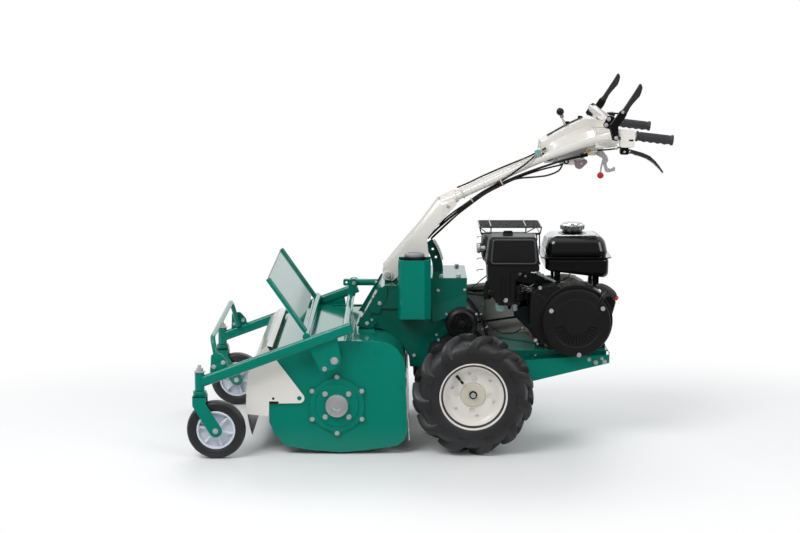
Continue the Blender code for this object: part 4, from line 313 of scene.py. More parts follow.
finishes = {
    "greenEnamel": dict(colour=(0.0, 0.212, 0.152), shade=(0.0, 0.188, 0.134), rough=0.12, grain=90.0,
                        depth=0.0003, specular=0.14, coat=0.7, dust=0.02, patch=3.0, spread=0.05),
    # the green enamel darkened, as painted shade on the recessed parts: chassis frame and straps, base rails and nuts,
    # rotor drum
    "greenInPaintedShade": dict(colour=(0.0, 0.118, 0.084), shade=(0.0, 0.096, 0.068), rough=0.16, grain=90.0,
                            depth=0.0003, specular=0.15, coat=0.8, dust=0.03, patch=3.0, spread=0.05),
    "ivoryShade": dict(colour=(0.62, 0.59, 0.49), shade=(0.56, 0.53, 0.43), rough=0.28, grain=90.0, depth=0.0003,
                       specular=0.25, coat=0.3, dust=0.03),
    "ivoryEnamel": dict(colour=(0.82, 0.795, 0.745), shade=(0.77, 0.745, 0.69), rough=0.22, grain=90.0,
                        depth=0.0003, specular=0.25, coat=0.6, dust=0.03, patch=3.0, spread=0.06),
    "blackEnamel": dict(colour=(0.0045, 0.0045, 0.0050), shade=(0.0080, 0.0080, 0.0085), rough=0.14, grain=90.0,
                        depth=0.0003, specular=0.22, coat=0.9, dust=0.015, spread=0.05),
    "blackPlastic": dict(colour=(0.0075, 0.0075, 0.0080), shade=(0.0120, 0.0120, 0.0125), rough=0.36, grain=900.0,
                         depth=0.0008, specular=0.26, dust=0.02),
    "tyreRubber": dict(colour=(0.020, 0.020, 0.0215), shade=(0.030, 0.030, 0.032), rough=0.42, grain=520.0,
                       depth=0.0009, specular=0.42, dust=0.05, patch=14.0),
    "softRubber": dict(colour=(0.009, 0.009, 0.010), shade=(0.017, 0.017, 0.017), rough=0.52, grain=700.0,
                       depth=0.0010, specular=0.24, dust=0.03),
    "sheetRubber": dict(colour=(0.012, 0.012, 0.012), shade=(0.018, 0.018, 0.018), rough=0.18, grain=700.0,
                        depth=0.0004, specular=0.50, dust=0.03),
    "hubPlastic": dict(colour=(0.70, 0.74, 0.81), shade=(0.64, 0.68, 0.76), rough=0.42, grain=600.0,
                       depth=0.0008, specular=0.30, dust=0.06),
    "greyPlastic": dict(colour=(0.23, 0.23, 0.24), shade=(0.17, 0.17, 0.18), rough=0.45, grain=700.0,
                        depth=0.0008, specular=0.30, dust=0.05),
    "redPlastic": dict(colour=(0.56, 0.014, 0.022), shade=(0.42, 0.010, 0.016), rough=0.32, grain=500.0,
                       depth=0.0005, specular=0.35, dust=0.02),
    "darkGreyPlastic": dict(colour=(0.030, 0.030, 0.031), shade=(0.040, 0.040, 0.041), rough=0.40, grain=700.0,
                            depth=0.0006, specular=0.30, dust=0.03),
    "yellowPlastic": dict(colour=(0.42, 0.50, 0.045), shade=(0.34, 0.42, 0.035), rough=0.38, grain=500.0,
                          depth=0.0005, specular=0.30, dust=0.03),
    "tankEnamel": dict(colour=(0.0022, 0.0022, 0.0025), shade=(0.0034, 0.0034, 0.0036), rough=0.08, grain=60.0,
                       depth=0.0002, specular=0.35, coat=1.0, dust=0.006, spread=0.03),
    "tealZinc": dict(colour=(0.27, 0.50, 0.47), shade=(0.19, 0.39, 0.37), rough=0.30, metal=0.25, grain=300.0,
                     depth=0.0008, specular=0.40, dust=0.03),
    "satinBlack": dict(colour=(0.0085, 0.0085, 0.0090), shade=(0.012, 0.012, 0.0125), rough=0.46, grain=420.0,
                       depth=0.0008, specular=0.22, dust=0.02),
    # lighter grey than the black plastic: a painted highlight along the air cleaner cover's bead
    "cleanerEdgeHighlight": dict(colour=(0.050, 0.050, 0.054), shade=(0.062, 0.062, 0.066), rough=0.34, grain=620.0,
                        depth=0.0006, specular=0.45, dust=0.03),
    "paleGrey": dict(colour=(0.36, 0.38, 0.38), shade=(0.30, 0.32, 0.32), rough=0.36, grain=500.0,
                     depth=0.0005, specular=0.40, dust=0.02),
    # near-black with a teal tint: the dark engine block side, its tint a painted reflection of the green paint nearby
    "darkWithTealReflection": dict(colour=(0.004, 0.020, 0.018), shade=(0.003, 0.014, 0.013), rough=0.30, grain=300.0,
                     depth=0.0010, specular=0.40, coat=0.4, dust=0.02),
    "gripRubber": dict(colour=(0.040, 0.040, 0.044), shade=(0.052, 0.052, 0.056), rough=0.48, grain=620.0,
                       depth=0.0007, specular=0.28, dust=0.03),
    "leverPlastic": dict(colour=(0.026, 0.023, 0.023), shade=(0.034, 0.031, 0.031), rough=0.42, grain=620.0,
                         depth=0.0006, specular=0.30, dust=0.03),
    "plumPlastic": dict(colour=(0.27, 0.20, 0.23), shade=(0.21, 0.15, 0.18), rough=0.40, grain=500.0,
                        depth=0.0006, specular=0.30, dust=0.03),
    "yellowBush": dict(colour=(0.80, 0.45, 0.03), shade=(0.70, 0.38, 0.02), rough=0.40, grain=500.0,
                       depth=0.0005, specular=0.30, dust=0.02),
    "brass": dict(colour=(0.50, 0.32, 0.11), shade=(0.36, 0.22, 0.07), rough=0.30, metal=0.8, grain=300.0,
                  depth=0.0006, specular=0.50, dust=0.03),
    "darkCast": dict(colour=(0.020, 0.020, 0.021), shade=(0.012, 0.012, 0.013), rough=0.50, metal=0.3, grain=320.0,
                     depth=0.0020, specular=0.30, dust=0.03),
    "castMetal": dict(colour=(0.060, 0.060, 0.064), shade=(0.030, 0.030, 0.033), rough=0.52, metal=0.5, grain=320.0,
                      depth=0.0030, specular=0.30, dust=0.04),
}


def newMaterial(name):
    material = bpy.data.materials.new(name)
    material.use_nodes = True
    tree = material.node_tree
    return material, tree, tree.nodes["Principled BSDF"], tree.nodes.new("ShaderNodeTexCoord").outputs["Object"]


def addRelief(tree, shader, height, strength, depth):
    bump = shaderNode(tree, "Bump", Strength=strength, Distance=depth)
    tree.links.new(height, bump.inputs["Height"])
    tree.links.new(bump.outputs["Normal"], shader.inputs["Normal"])


def makeFinish(name, colour, shade, rough, grain, depth, specular, metal=0.0, coat=0.0, dust=0.05,
               patch=6.0, spread=0.12):
    material, tree, shader, place = newMaterial(name)
    tone = placeGroup(tree, toneGroup, Vector=place, Colour=(*colour, 1.0), Shade=(*shade, 1.0), Patch_Scale=patch,
                      Variation=0.8, Dust=dust)
    relief = placeGroup(tree, grainGroup, Vector=place, Grain_Scale=grain, Roughness=rough, Spread=spread)
    addRelief(tree, shader, relief.outputs["Height"], 0.35, depth)
    tree.links.new(tone.outputs["Colour"], shader.inputs["Base Color"])
    dull = mathNode(tree, "ADD", relief.outputs["Roughness"],
                    mathNode(tree, "MULTIPLY", tone.outputs["Dust Mask"], 0.5))
    tree.links.new(dull, shader.inputs["Roughness"])
    shader.inputs["Metallic"].default_value = metal
    shader.inputs["Specular IOR Level"].default_value = specular
    shader.inputs["Coat Weight"].default_value = coat
    shader.inputs["Coat Roughness"].default_value = 0.04
    shader.inputs["Coat IOR"].default_value = 1.38
    return material


def makeSteel(name, colour, rough, metal, stretch, lineScale):
    material, tree, shader, place = newMaterial(name)
    brush = placeGroup(tree, brushGroup, Vector=place, Stretch=stretch, Line_Scale=lineScale)
    darker = tuple(value * 0.72 for value in colour)
    tone = placeGroup(tree, toneGroup, Vector=place, Colour=(*colour, 1.0), Shade=(*darker, 1.0), Patch_Scale=25.0,
                      Variation=0.5, Dust=0.04)
    lined = mixColour(tree, mathNode(tree, "MULTIPLY", brush.outputs["Mask"], 0.25), tone.outputs["Colour"],
                      (*darker, 1.0))
    addRelief(tree, shader, brush.outputs["Height"], 0.2, 0.0005)
    tree.links.new(lined, shader.inputs["Base Color"])
    tree.links.new(rangeNode(tree, brush.outputs["Mask"], 0.0, 1.0, rough, rough + 0.14),
                   shader.inputs["Roughness"])
    shader.inputs["Metallic"].default_value = metal
    return material


finish = {name: makeFinish(name, **values) for name, values in finishes.items()}
finish["zincSteel"] = makeSteel("zincSteel", (0.70, 0.71, 0.71), 0.26, 0.50, (1.0, 30.0, 1.0), 60.0)
finish["brightSteel"] = makeSteel("brightSteel", (0.66, 0.66, 0.67), 0.20, 0.55, (8.0, 1.0, 8.0), 90.0)
finish["chromeSteel"] = makeSteel("chromeSteel", (0.62, 0.62, 0.63), 0.07, 0.95, (1.0, 1.0, 12.0), 40.0)
print("finishes:", len(finish))

cadFinish = {
    "green_paint": "greenEnamel", "dark_green_paint": "greenInPaintedShade", "ivory_paint": "ivoryEnamel",
    "black_paint": "blackEnamel", "black_tank": "blackEnamel", "black_plastic": "blackPlastic",
    "tyre_rubber": "tyreRubber", "flap_rubber": "softRubber", "hub_plastic": "hubPlastic",
    "bare_steel": "zincSteel", "cast_metal": "castMetal",
}
slotOf = {entry["node"]: entry["material_slot"] for entry in frame["record"]["subparts"]}
for nodeName, item in frame["nodes"].items():
    item.data.materials.clear()
    item.data.materials.append(finish[cadFinish[slotOf[nodeName]]])


# Shapes that the pieces are put together from
def tubeShape(points, radius, sides=16, closed=False, endRadius=None):
    # a round bar along points, with its rings carried along so that it doesn't twist
    path = [Vector(point) for point in points]
    count = len(path)
    shape = bmesh.new()
    rings = []
    normal = None
    for i, point in enumerate(path):
        before = path[(i - 1) % count] if closed or i else point
        after = path[(i + 1) % count] if closed or i < count - 1 else point
        along = (after - before).normalized()
        if normal is None:
            normal = along.orthogonal().normalized()
        normal = (normal - along * normal.dot(along)).normalized()
        across = along.cross(normal)
        size = radius
        if endRadius is not None:
            size = radius + (endRadius - radius) * i / (count - 1)
        ring = []
        for k in range(sides):
            angle = 2 * math.pi * k / sides
            ring.append(shape.verts.new(point + (normal * math.cos(angle) + across * math.sin(angle)) * size))
        rings.append(ring)
    pairs = list(zip(rings, rings[1:]))
    if closed:
        pairs.append((rings[-1], rings[0]))
    for ring, following in pairs:
        for k in range(sides):
            m = (k + 1) % sides
            shape.faces.new((ring[k], ring[m], following[m], following[k]))
    if not closed:
        shape.faces.new(rings[0][::-1])
        shape.faces.new(rings[-1])
    bmesh.ops.recalc_face_normals(shape, faces=shape.faces)
    return shape


def roundBend(corners, radius, steps=6):
    # the corners of a route, each replaced by an arc-like bend
    path = [Vector(corner) for corner in corners]
    result = [path[0]]
    for before, corner, after in zip(path, path[1:], path[2:]):
        back, ahead = before - corner, after - corner
        reach = min(radius, back.length * 0.48, ahead.length * 0.48)
        start = corner + back.normalized() * reach
        end = corner + ahead.normalized() * reach
        for i in range(steps + 1):
            t = i / steps
            result.append(start * (1 - t) ** 2 + corner * 2 * t * (1 - t) + end * t ** 2)
    result.append(path[-1])
    return result


def flowing(points, steps=6):
    # a smooth curve through the points
    path = [Vector(point) for point in points]
    path = [path[0] * 2 - path[1]] + path + [path[-1] * 2 - path[-2]]
    result = []
    for a, b, c, d in zip(path, path[1:], path[2:], path[3:]):
        for i in range(steps):
            t = i / steps
            result.append(0.5 * (b * 2 + (c - a) * t + (a * 2 - b * 5 + c * 4 - d) * t * t
                                 + (b * 3 - a - c * 3 + d) * t ** 3))
    result.append(path[-2])
    return result


def turnedShape(profile, centre, axis="Y", steps=48):
    # profile is (radius, place along the axis); a point at radius 0 closes the end
    shape = bmesh.new()
    rings = []
    for radius, place in profile:
        if radius < 1e-6:
            rings.append([shape.verts.new(spot(0.0, 0.0, place, centre, axis))])
            continue
        ring = []
        for k in range(steps):
            angle = 2 * math.pi * k / steps
            ring.append(shape.verts.new(spot(radius * math.cos(angle), radius * math.sin(angle), place, centre,
                                             axis)))
        rings.append(ring)
    loop = len(rings[0]) > 1 and len(rings[-1]) > 1
    pairs = list(zip(rings, rings[1:])) + ([(rings[-1], rings[0])] if loop else [])
    for a, b in pairs:
        for k in range(steps):
            m = (k + 1) % steps
            if len(a) == 1 and len(b) == 1:
                break
            if len(a) == 1:
                shape.faces.new((a[0], b[m], b[k]))
            elif len(b) == 1:
                shape.faces.new((a[k], a[m], b[0]))
            else:
                shape.faces.new((a[k], a[m], b[m], b[k]))
    bmesh.ops.recalc_face_normals(shape, faces=shape.faces)
    return shape


def spot(u, v, along, centre, axis):
    x, y, z = centre
    if axis == "Y":
        return (x + u, y + along, z + v)
    if axis == "X":
        return (x + along, y + u, z + v)
    return (x + u, y + v, z + along)


def plateShape(outline, first, second, plane="XZ"):
    # a flat outline given a thickness between two places, in either order
    shape = bmesh.new()
    ends = []
    for place in sorted((first, second)):
        ring = []
        for a, b in outline:
            if plane == "XZ":
                ring.append(shape.verts.new((a, place, b)))
            elif plane == "XY":
                ring.append(shape.verts.new((a, b, place)))
            else:
                ring.append(shape.verts.new((place, a, b)))
        ends.append(ring)
    count = len(outline)
    for k in range(count):
        m = (k + 1) % count
        shape.faces.new((ends[0][k], ends[0][m], ends[1][m], ends[1][k]))
    shape.faces.new(ends[0][::-1])
    shape.faces.new(ends[1])
    bmesh.ops.recalc_face_normals(shape, faces=shape.faces)
    return shape


def blockShape(low, high):
    outline = [(low[0], low[1]), (high[0], low[1]), (high[0], high[1]), (low[0], high[1])]
    return plateShape(outline, low[2], high[2], "XY")


def roundedOutline(outline, radius, steps=5):
    path = [Vector((a, b)) for a, b in outline]
    count = len(path)
    result = []
    for i, corner in enumerate(path):
        back = path[i - 1] - corner
        ahead = path[(i + 1) % count] - corner
        reach = min(radius, back.length * 0.45, ahead.length * 0.45)
        start, end = corner + back.normalized() * reach, corner + ahead.normalized() * reach
        for k in range(steps + 1):
            t = k / steps
            point = start * (1 - t) ** 2 + corner * 2 * t * (1 - t) + end * t ** 2
            result.append((point.x, point.y))
    return result


def circleOutline(x, z, radius, steps=32, first=0.0, last=360.0):
    points = []
    for i in range(steps):
        angle = math.radians(first + (last - first) * i / (steps if last - first >= 360 else steps - 1))
        points.append((x + radius * math.cos(angle), z + radius * math.sin(angle)))
    return points


def moved(shape, matrix):
    bmesh.ops.transform(shape, matrix=matrix, verts=shape.verts)
    if matrix.determinant() < 0:
        bmesh.ops.reverse_faces(shape, faces=shape.faces)
    return shape


def cadCopy(nodeName):
    # a merged copy of a node's mesh, with its flat faces made whole again
    shape = bmesh.new()
    shape.from_mesh(frame["nodes"][nodeName].data)
    bmesh.ops.remove_doubles(shape, verts=shape.verts, dist=0.00002)
    bmesh.ops.dissolve_limit(shape, angle_limit=math.radians(0.4), verts=shape.verts, edges=shape.edges)
    bmesh.ops.recalc_face_normals(shape, faces=shape.faces)
    return shape


def meshOf(name, parts):
    # one mesh of several shapes, each with its finish, or with a rule that picks one for each face
    mesh = bpy.data.meshes.new(name)
    names = []
    whole = bmesh.new()
    for shape, finishName in parts:
        part = bpy.data.meshes.new("part")
        for face in shape.faces:
            chosen = finishName(face) if callable(finishName) else finishName
            if chosen not in names:
                names.append(chosen)
            face.material_index = names.index(chosen)
        shape.to_mesh(part)
        shape.free()
        whole.from_mesh(part)
        bpy.data.meshes.remove(part)
    whole.to_mesh(mesh)
    whole.free()
    for finishName in names:
        mesh.materials.append(finish[finishName])
    return mesh


def bakedObject(holder, name):
    # the object with its modifiers made real, as a plain mesh at the origin
    graph = bpy.context.evaluated_depsgraph_get()
    mesh = bpy.data.meshes.new_from_object(holder.evaluated_get(graph))
    mesh.name = name
    holder.modifiers.clear()
    old = holder.data
    holder.data = mesh
    bpy.data.meshes.remove(old)
    return holder


def roundEdges(piece, width, angle, segments=2):
    # narrow rounded edges, and flat faces that stay flat in the light
    if width:
        edge = piece.modifiers.new("softEdges", "BEVEL")
        edge.width = width
        edge.segments = segments
        edge.limit_method = "ANGLE"
        edge.angle_limit = math.radians(40)
        edge.use_clamp_overlap = True
        bakedObject(piece, piece.name)
    piece.data.shade_smooth()
    piece.data.set_sharp_from_angle(angle=math.radians(angle))
    weigh = piece.modifiers.new("flatFaces", "WEIGHTED_NORMAL")
    weigh.keep_sharp = True
    bakedObject(piece, piece.name)


def linked(name, mesh):
    item = bpy.data.objects.new(name, mesh)
    scene.collection.objects.link(item)
    return item


def finishPiece(piece, body, replaces, bevel, angle, segments=2):
    roundEdges(piece, bevel, angle, segments)
    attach(piece, body)
    if replaces:
        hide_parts(*replaces)
    return piece


def makePiece(name, parts, body, replaces=(), bevel=0.0, angle=35.0, segments=2):
    return finishPiece(linked(name, meshOf(name, parts)), body, replaces, bevel, angle, segments)


# Geometry Nodes trees for what repeats
def newTree(name, inputs):
    tree = bpy.data.node_groups.new(name, "GeometryNodeTree")
    tree.interface.new_socket(name="Geometry", in_out="INPUT", socket_type="NodeSocketGeometry")
    for label, kind, value in inputs:
        socket = tree.interface.new_socket(name=label, in_out="INPUT", socket_type=kind)
        if value is not None:
            socket.default_value = value
    tree.interface.new_socket(name="Geometry", in_out="OUTPUT", socket_type="NodeSocketGeometry")
    return tree, tree.nodes.new("NodeGroupInput"), tree.nodes.new("NodeGroupOutput")


def finishTree(tree, start, end, geometry):
    real = tree.nodes.new("GeometryNodeRealizeInstances")
    paint = tree.nodes.new("GeometryNodeSetMaterial")
    tree.links.new(geometry, real.inputs["Geometry"])
    tree.links.new(real.outputs["Geometry"], paint.inputs["Geometry"])
    tree.links.new(start.outputs["Finish"], paint.inputs["Material"])
    tree.links.new(paint.outputs["Geometry"], end.inputs["Geometry"])


def vectorNode(tree, operation, *values):
    node = tree.nodes.new("ShaderNodeVectorMath")
    node.operation = operation
    for i, value in enumerate(values):
        socket = node.inputs["Scale"] if operation == "SCALE" and i else node.inputs[i]
        if isinstance(value, bpy.types.NodeSocket):
            tree.links.new(value, socket)
        else:
            socket.default_value = value
    return node.outputs[0]


def buildRingTree():
    # copies of one shape, turned about an axis through a centre
    tree, start, end = newTree("ringOfCopies", [
        ("Count", "NodeSocketInt", 6), ("First Turn", "NodeSocketFloat", 0.0),
        ("Step Turn", "NodeSocketFloat", 1.0), ("Centre", "NodeSocketVector", (0, 0, 0)),
        ("Axis", "NodeSocketVector", (0, 1, 0)), ("Finish", "NodeSocketMaterial", None)])
    out = start.outputs
    points = tree.nodes.new("GeometryNodePoints")
    tree.links.new(out["Count"], points.inputs["Count"])
    tree.links.new(out["Centre"], points.inputs["Position"])
    index = tree.nodes.new("GeometryNodeInputIndex").outputs[0]
    angle = mathNode(tree, "ADD", mathNode(tree, "MULTIPLY", index, out["Step Turn"]), out["First Turn"])
    turn = tree.nodes.new("FunctionNodeAxisAngleToRotation")
    tree.links.new(out["Axis"], turn.inputs["Axis"])
    tree.links.new(angle, turn.inputs["Angle"])
    shift = tree.nodes.new("GeometryNodeTransform")
    tree.links.new(out["Geometry"], shift.inputs["Geometry"])
    tree.links.new(vectorNode(tree, "SCALE", out["Centre"], -1.0), shift.inputs["Translation"])
    copies = tree.nodes.new("GeometryNodeInstanceOnPoints")
    tree.links.new(points.outputs[0], copies.inputs["Points"])
    tree.links.new(shift.outputs[0], copies.inputs["Instance"])
    tree.links.new(turn.outputs[0], copies.inputs["Rotation"])
    finishTree(tree, start, end, copies.outputs[0])
    return tree


def buildBoltTree():
    # a hexagon head on a washer at every point, facing along the point's own direction
    tree, start, end = newTree("boltHeads", [
        ("Head Radius", "NodeSocketFloat", 0.008), ("Head Height", "NodeSocketFloat", 0.006),
        ("Washer Radius", "NodeSocketFloat", 0.010), ("Washer Height", "NodeSocketFloat", 0.0015),
        ("Sides", "NodeSocketInt", 6), ("Finish", "NodeSocketMaterial", None)])
    out = start.outputs
    parts = []
    for sides, radius, height, lift in (("Sides", "Head Radius", "Head Height", "Washer Height"),
                                        (24, "Washer Radius", "Washer Height", None)):
        disc = tree.nodes.new("GeometryNodeMeshCylinder")
        if isinstance(sides, int):
            disc.inputs["Vertices"].default_value = sides
        else:
            tree.links.new(out[sides], disc.inputs["Vertices"])
        tree.links.new(out[radius], disc.inputs["Radius"])
        tree.links.new(out[height], disc.inputs["Depth"])
        half = mathNode(tree, "MULTIPLY", out[height], 0.5)
        if lift:
            half = mathNode(tree, "ADD", half, out[lift])
        place = tree.nodes.new("ShaderNodeCombineXYZ")
        tree.links.new(half, place.inputs["Z"])
        lifted = tree.nodes.new("GeometryNodeTransform")
        tree.links.new(disc.outputs["Mesh"], lifted.inputs["Geometry"])
        tree.links.new(place.outputs[0], lifted.inputs["Translation"])
        parts.append(lifted.outputs[0])
    join = tree.nodes.new("GeometryNodeJoinGeometry")
    for part in parts[::-1]:
        tree.links.new(part, join.inputs[0])
    facing = tree.nodes.new("GeometryNodeInputNamedAttribute")
    facing.data_type = "FLOAT_VECTOR"
    facing.inputs["Name"].default_value = "facing"
    size = tree.nodes.new("GeometryNodeInputNamedAttribute")
    size.data_type = "FLOAT"
    size.inputs["Name"].default_value = "size"
    aim = tree.nodes.new("FunctionNodeAlignRotationToVector")
    aim.axis = "Z"
    tree.links.new(facing.outputs[0], aim.inputs["Vector"])
    copies = tree.nodes.new("GeometryNodeInstanceOnPoints")
    tree.links.new(out["Geometry"], copies.inputs["Points"])
    tree.links.new(join.outputs[0], copies.inputs["Instance"])
    tree.links.new(aim.outputs[0], copies.inputs["Rotation"])
    tree.links.new(size.outputs[0], copies.inputs["Scale"])
    finishTree(tree, start, end, copies.outputs[0])
    return tree


def buildWireTree():
    # a round wire along every line of the mesh
    tree, start, end = newTree("wires", [
        ("Wire Radius", "NodeSocketFloat", 0.002), ("Sides", "NodeSocketInt", 10),
        ("Finish", "NodeSocketMaterial", None)])
    line = tree.nodes.new("GeometryNodeMeshToCurve")
    ring = tree.nodes.new("GeometryNodeCurvePrimitiveCircle")
    wire = tree.nodes.new("GeometryNodeCurveToMesh")
    wire.inputs["Fill Caps"].default_value = True
    tree.links.new(start.outputs["Geometry"], line.inputs[0])
    tree.links.new(start.outputs["Sides"], ring.inputs["Resolution"])
    tree.links.new(start.outputs["Wire Radius"], ring.inputs["Radius"])
    tree.links.new(line.outputs[0], wire.inputs["Curve"])
    tree.links.new(ring.outputs[0], wire.inputs["Profile Curve"])
    finishTree(tree, start, end, wire.outputs[0])
    return tree


ringTree = buildRingTree()
boltTree = buildBoltTree()
wireTree = buildWireTree()


def grow(name, mesh, tree, values, body, replaces=(), bevel=0.0, angle=35.0):
    # runs a tree on a mesh and keeps the result as a plain piece
    piece = linked(name, mesh)
    step = piece.modifiers.new(tree.name, "NODES")
    step.node_group = tree
    for item in tree.interface.items_tree:
        if item.in_out == "INPUT" and item.name in values:
            step[item.identifier] = values[item.name]
    return finishPiece(bakedObject(piece, name), body, replaces, bevel, angle)


def ringPiece(name, shape, finishName, body, count, centre, axis=(0, 1, 0), first=0.0, **more):
    return grow(name, meshOf(name, [(shape, finishName)]), ringTree, {
        "Count": count, "First Turn": math.radians(first), "Step Turn": 2 * math.pi / count, "Centre": centre,
        "Axis": axis, "Finish": finish[finishName]}, body, **more)


def boltPiece(name, places, body, head=0.0065, height=0.0045, washer=0.0085, sides=6, finishName="zincSteel"):
    # places are (point, direction) or (point, direction, size)
    mesh = bpy.data.meshes.new(name)
    mesh.from_pydata([tuple(place[0]) for place in places], [], [])
    mesh.attributes.new("facing", "FLOAT_VECTOR", "POINT")
    mesh.attributes.new("size", "FLOAT", "POINT")
    for i, place in enumerate(places):
        mesh.attributes["facing"].data[i].vector = place[1]
        mesh.attributes["size"].data[i].value = place[2] if len(place) > 2 else 1.0
    return grow(name, mesh, boltTree, {
        "Head Radius": head, "Head Height": height, "Washer Radius": washer, "Washer Height": 0.0014,
        "Sides": sides, "Finish": finish[finishName]}, body, bevel=0.0005, angle=30)


def boltRing(centre, y, circle, turns, size):
    # bolts on a circle in the XZ plane, facing outwards, at the given turns in degrees
    x, z = centre
    ring = []
    for turn in turns:
        turn = math.radians(turn)
        ring.append(((x + circle * math.cos(turn), y, z + circle * math.sin(turn)), (0, math.copysign(1, y), 0), size))
    return ring


def wirePiece(name, routes, radius, finishName, body, sides=10, **more):
    points, lines = [], []
    for route in routes:
        first = len(points)
        points += [tuple(point) for point in route]
        lines += [(first + i, first + i + 1) for i in range(len(route) - 1)]
    mesh = bpy.data.meshes.new(name)
    mesh.from_pydata(points, lines, [])
    return grow(name, mesh, wireTree, {"Wire Radius": radius, "Sides": sides, "Finish": finish[finishName]},
                body, angle=50, **more)


print("shapes and trees are ready")


def carve(shape, cutters):
    # takes the cutters out of the shape
    mesh = bpy.data.meshes.new("toCarve")
    shape.to_mesh(mesh)
    shape.free()
    whole = linked("toCarve", mesh)
    tools = bmesh.new()
    for cutter in cutters:
        part = bpy.data.meshes.new("cutter")
        cutter.to_mesh(part)
        cutter.free()
        tools.from_mesh(part)
        bpy.data.meshes.remove(part)
    toolMesh = bpy.data.meshes.new("cutters")
    tools.to_mesh(toolMesh)
    tools.free()
    tool = linked("cutters", toolMesh)
    cut = whole.modifiers.new("cut", "BOOLEAN")
    cut.operation = "DIFFERENCE"
    cut.solver = "EXACT"
    cut.use_self = True
    cut.object = tool
    graph = bpy.context.evaluated_depsgraph_get()
    carved = bpy.data.meshes.new_from_object(whole.evaluated_get(graph))
    result = bmesh.new()
    result.from_mesh(carved)
    for item in (whole, tool):
        data = item.data
        bpy.data.objects.remove(item)
        bpy.data.meshes.remove(data)
    bpy.data.meshes.remove(carved)
    return result


# Rear wheels: lugged tyres on dished rims
rearWheel = {
    "x": 0.153, "track": 0.67, "radius": 0.2085,
    "lugs": 11, "lugBase": 0.036, "lugReach": 0.0575, "lugMiddle": 0.19,
    "valveTurn": 130,
    "bigHoles": (4, 0.056, 0.0100, 86.0),      # count, circle, radius, first angle
    "smallHoles": (6, 0.0755, 0.0058, 40.0),
    "dish": 0.010,                             # how far the dish lies outside the middle of the wheel
}


def tyreShape(half, centre, segments):
    # half is the section from the bead to the crown, and the other half mirrors it
    curve = [(p.x, p.y) for p in flowing([Vector((r, y, 0)) for r, y in half], 3)]
    profile = [(r, -y) for r, y in curve] + [(r, y) for r, y in curve[::-1][1:]]
    return turnedShape(profile, centre, "Y", segments)


def lugShape(centre, side, hand, first):
    # a slanting bar of the tread that rolls over the shoulder and ends on the side wall
    sections = [(-0.004, 0.0, 0.2085, 0.178), (0.010, 3.4, 0.2085, 0.176), (0.024, 7.0, 0.2075, 0.172),
                (0.036, 10.6, 0.2050, 0.166), (0.045, 13.6, 0.1990, 0.160), (0.0515, 16.4, 0.1895, 0.154),
                (0.0555, 18.6, 0.1780, 0.150), (0.0575, 20.0, 0.1660, 0.150)]
    across = [(1.0, 0.0), (0.93, 0.30), (0.84, 0.62), (0.72, 0.84), (0.52, 0.96), (0.20, 1.0)]
    shape = bmesh.new()
    rings = []
    for y, swing, high, low in sections:
        ring = []
        for w, h in across + [(-w, h) for w, h in across[::-1]]:
            radius = low + (high - low) * h
            spread = 0.85 + 0.30 * max(0.0, y) / rearWheel["lugReach"]
            angle = math.radians(first + swing) + w * rearWheel["lugBase"] * 0.5 * spread / rearWheel["lugMiddle"]
            shapeY = side * hand * y
            ring.append(shape.verts.new((centre[0] + radius * math.cos(angle), centre[1] + shapeY,
                                         centre[2] + radius * math.sin(angle))))
        rings.append(ring)
    for ring, following in zip(rings, rings[1:]):
        for j in range(len(ring)):
            k = (j + 1) % len(ring)
            shape.faces.new((ring[j], ring[k], following[k], following[j]))
    shape.faces.new(rings[0])
    shape.faces.new(rings[-1])
    bmesh.ops.recalc_face_normals(shape, faces=shape.faces)
    return shape


def rimShape(centre, side):
    dish = rearWheel["dish"]
    profile = [(0.1168, 0.0484), (0.1152, 0.0490), (0.1128, 0.0488), (0.1108, 0.0468), (0.1085, 0.0420),
               (0.1050, 0.0330), (0.1005, dish + 0.0130), (0.0955, dish + 0.0060), (0.0890, dish + 0.0018),
               (0.0800, dish), (0.0440, dish), (0.0436, dish + 0.0008), (0.0430, dish + 0.0008),
               (0.0426, dish - 0.0004), (0.0150, dish - 0.0004), (0.0150, -0.0600), (0.0260, -0.0600),
               (0.0260, dish - 0.0120), (0.0300, dish - 0.0080), (0.0800, dish - 0.0080), (0.0890, dish - 0.0070),
               (0.0960, dish - 0.0100), (0.0985, -0.0340), (0.1080, -0.0420), (0.1120, -0.0476), (0.1145, -0.0486),
               (0.1165, -0.0484), (0.1175, -0.0470), (0.1160, -0.0440), (0.1060, -0.0395), (0.1032, -0.0350),
               (0.1032, 0.0350), (0.1060, 0.0395), (0.1160, 0.0440), (0.1175, 0.0470)]
    shape = turnedShape([(r, side * y) for r, y in profile], centre, "Y", 96)
    cutters = []
    for count, circle, radius, first in (rearWheel["bigHoles"], rearWheel["smallHoles"]):
        for i in range(count):
            angle = math.radians(first + 360 / count * i)
            x = centre[0] - side * circle * math.cos(angle)
            z = centre[2] + circle * math.sin(angle)
            face, floor = centre[1] + side * (dish + 0.014), centre[1] + side * (dish - 0.0052)
            cutters.append(tubeShape([(x, face, z), (x, floor, z)], radius, 24))
    return carve(shape, cutters)


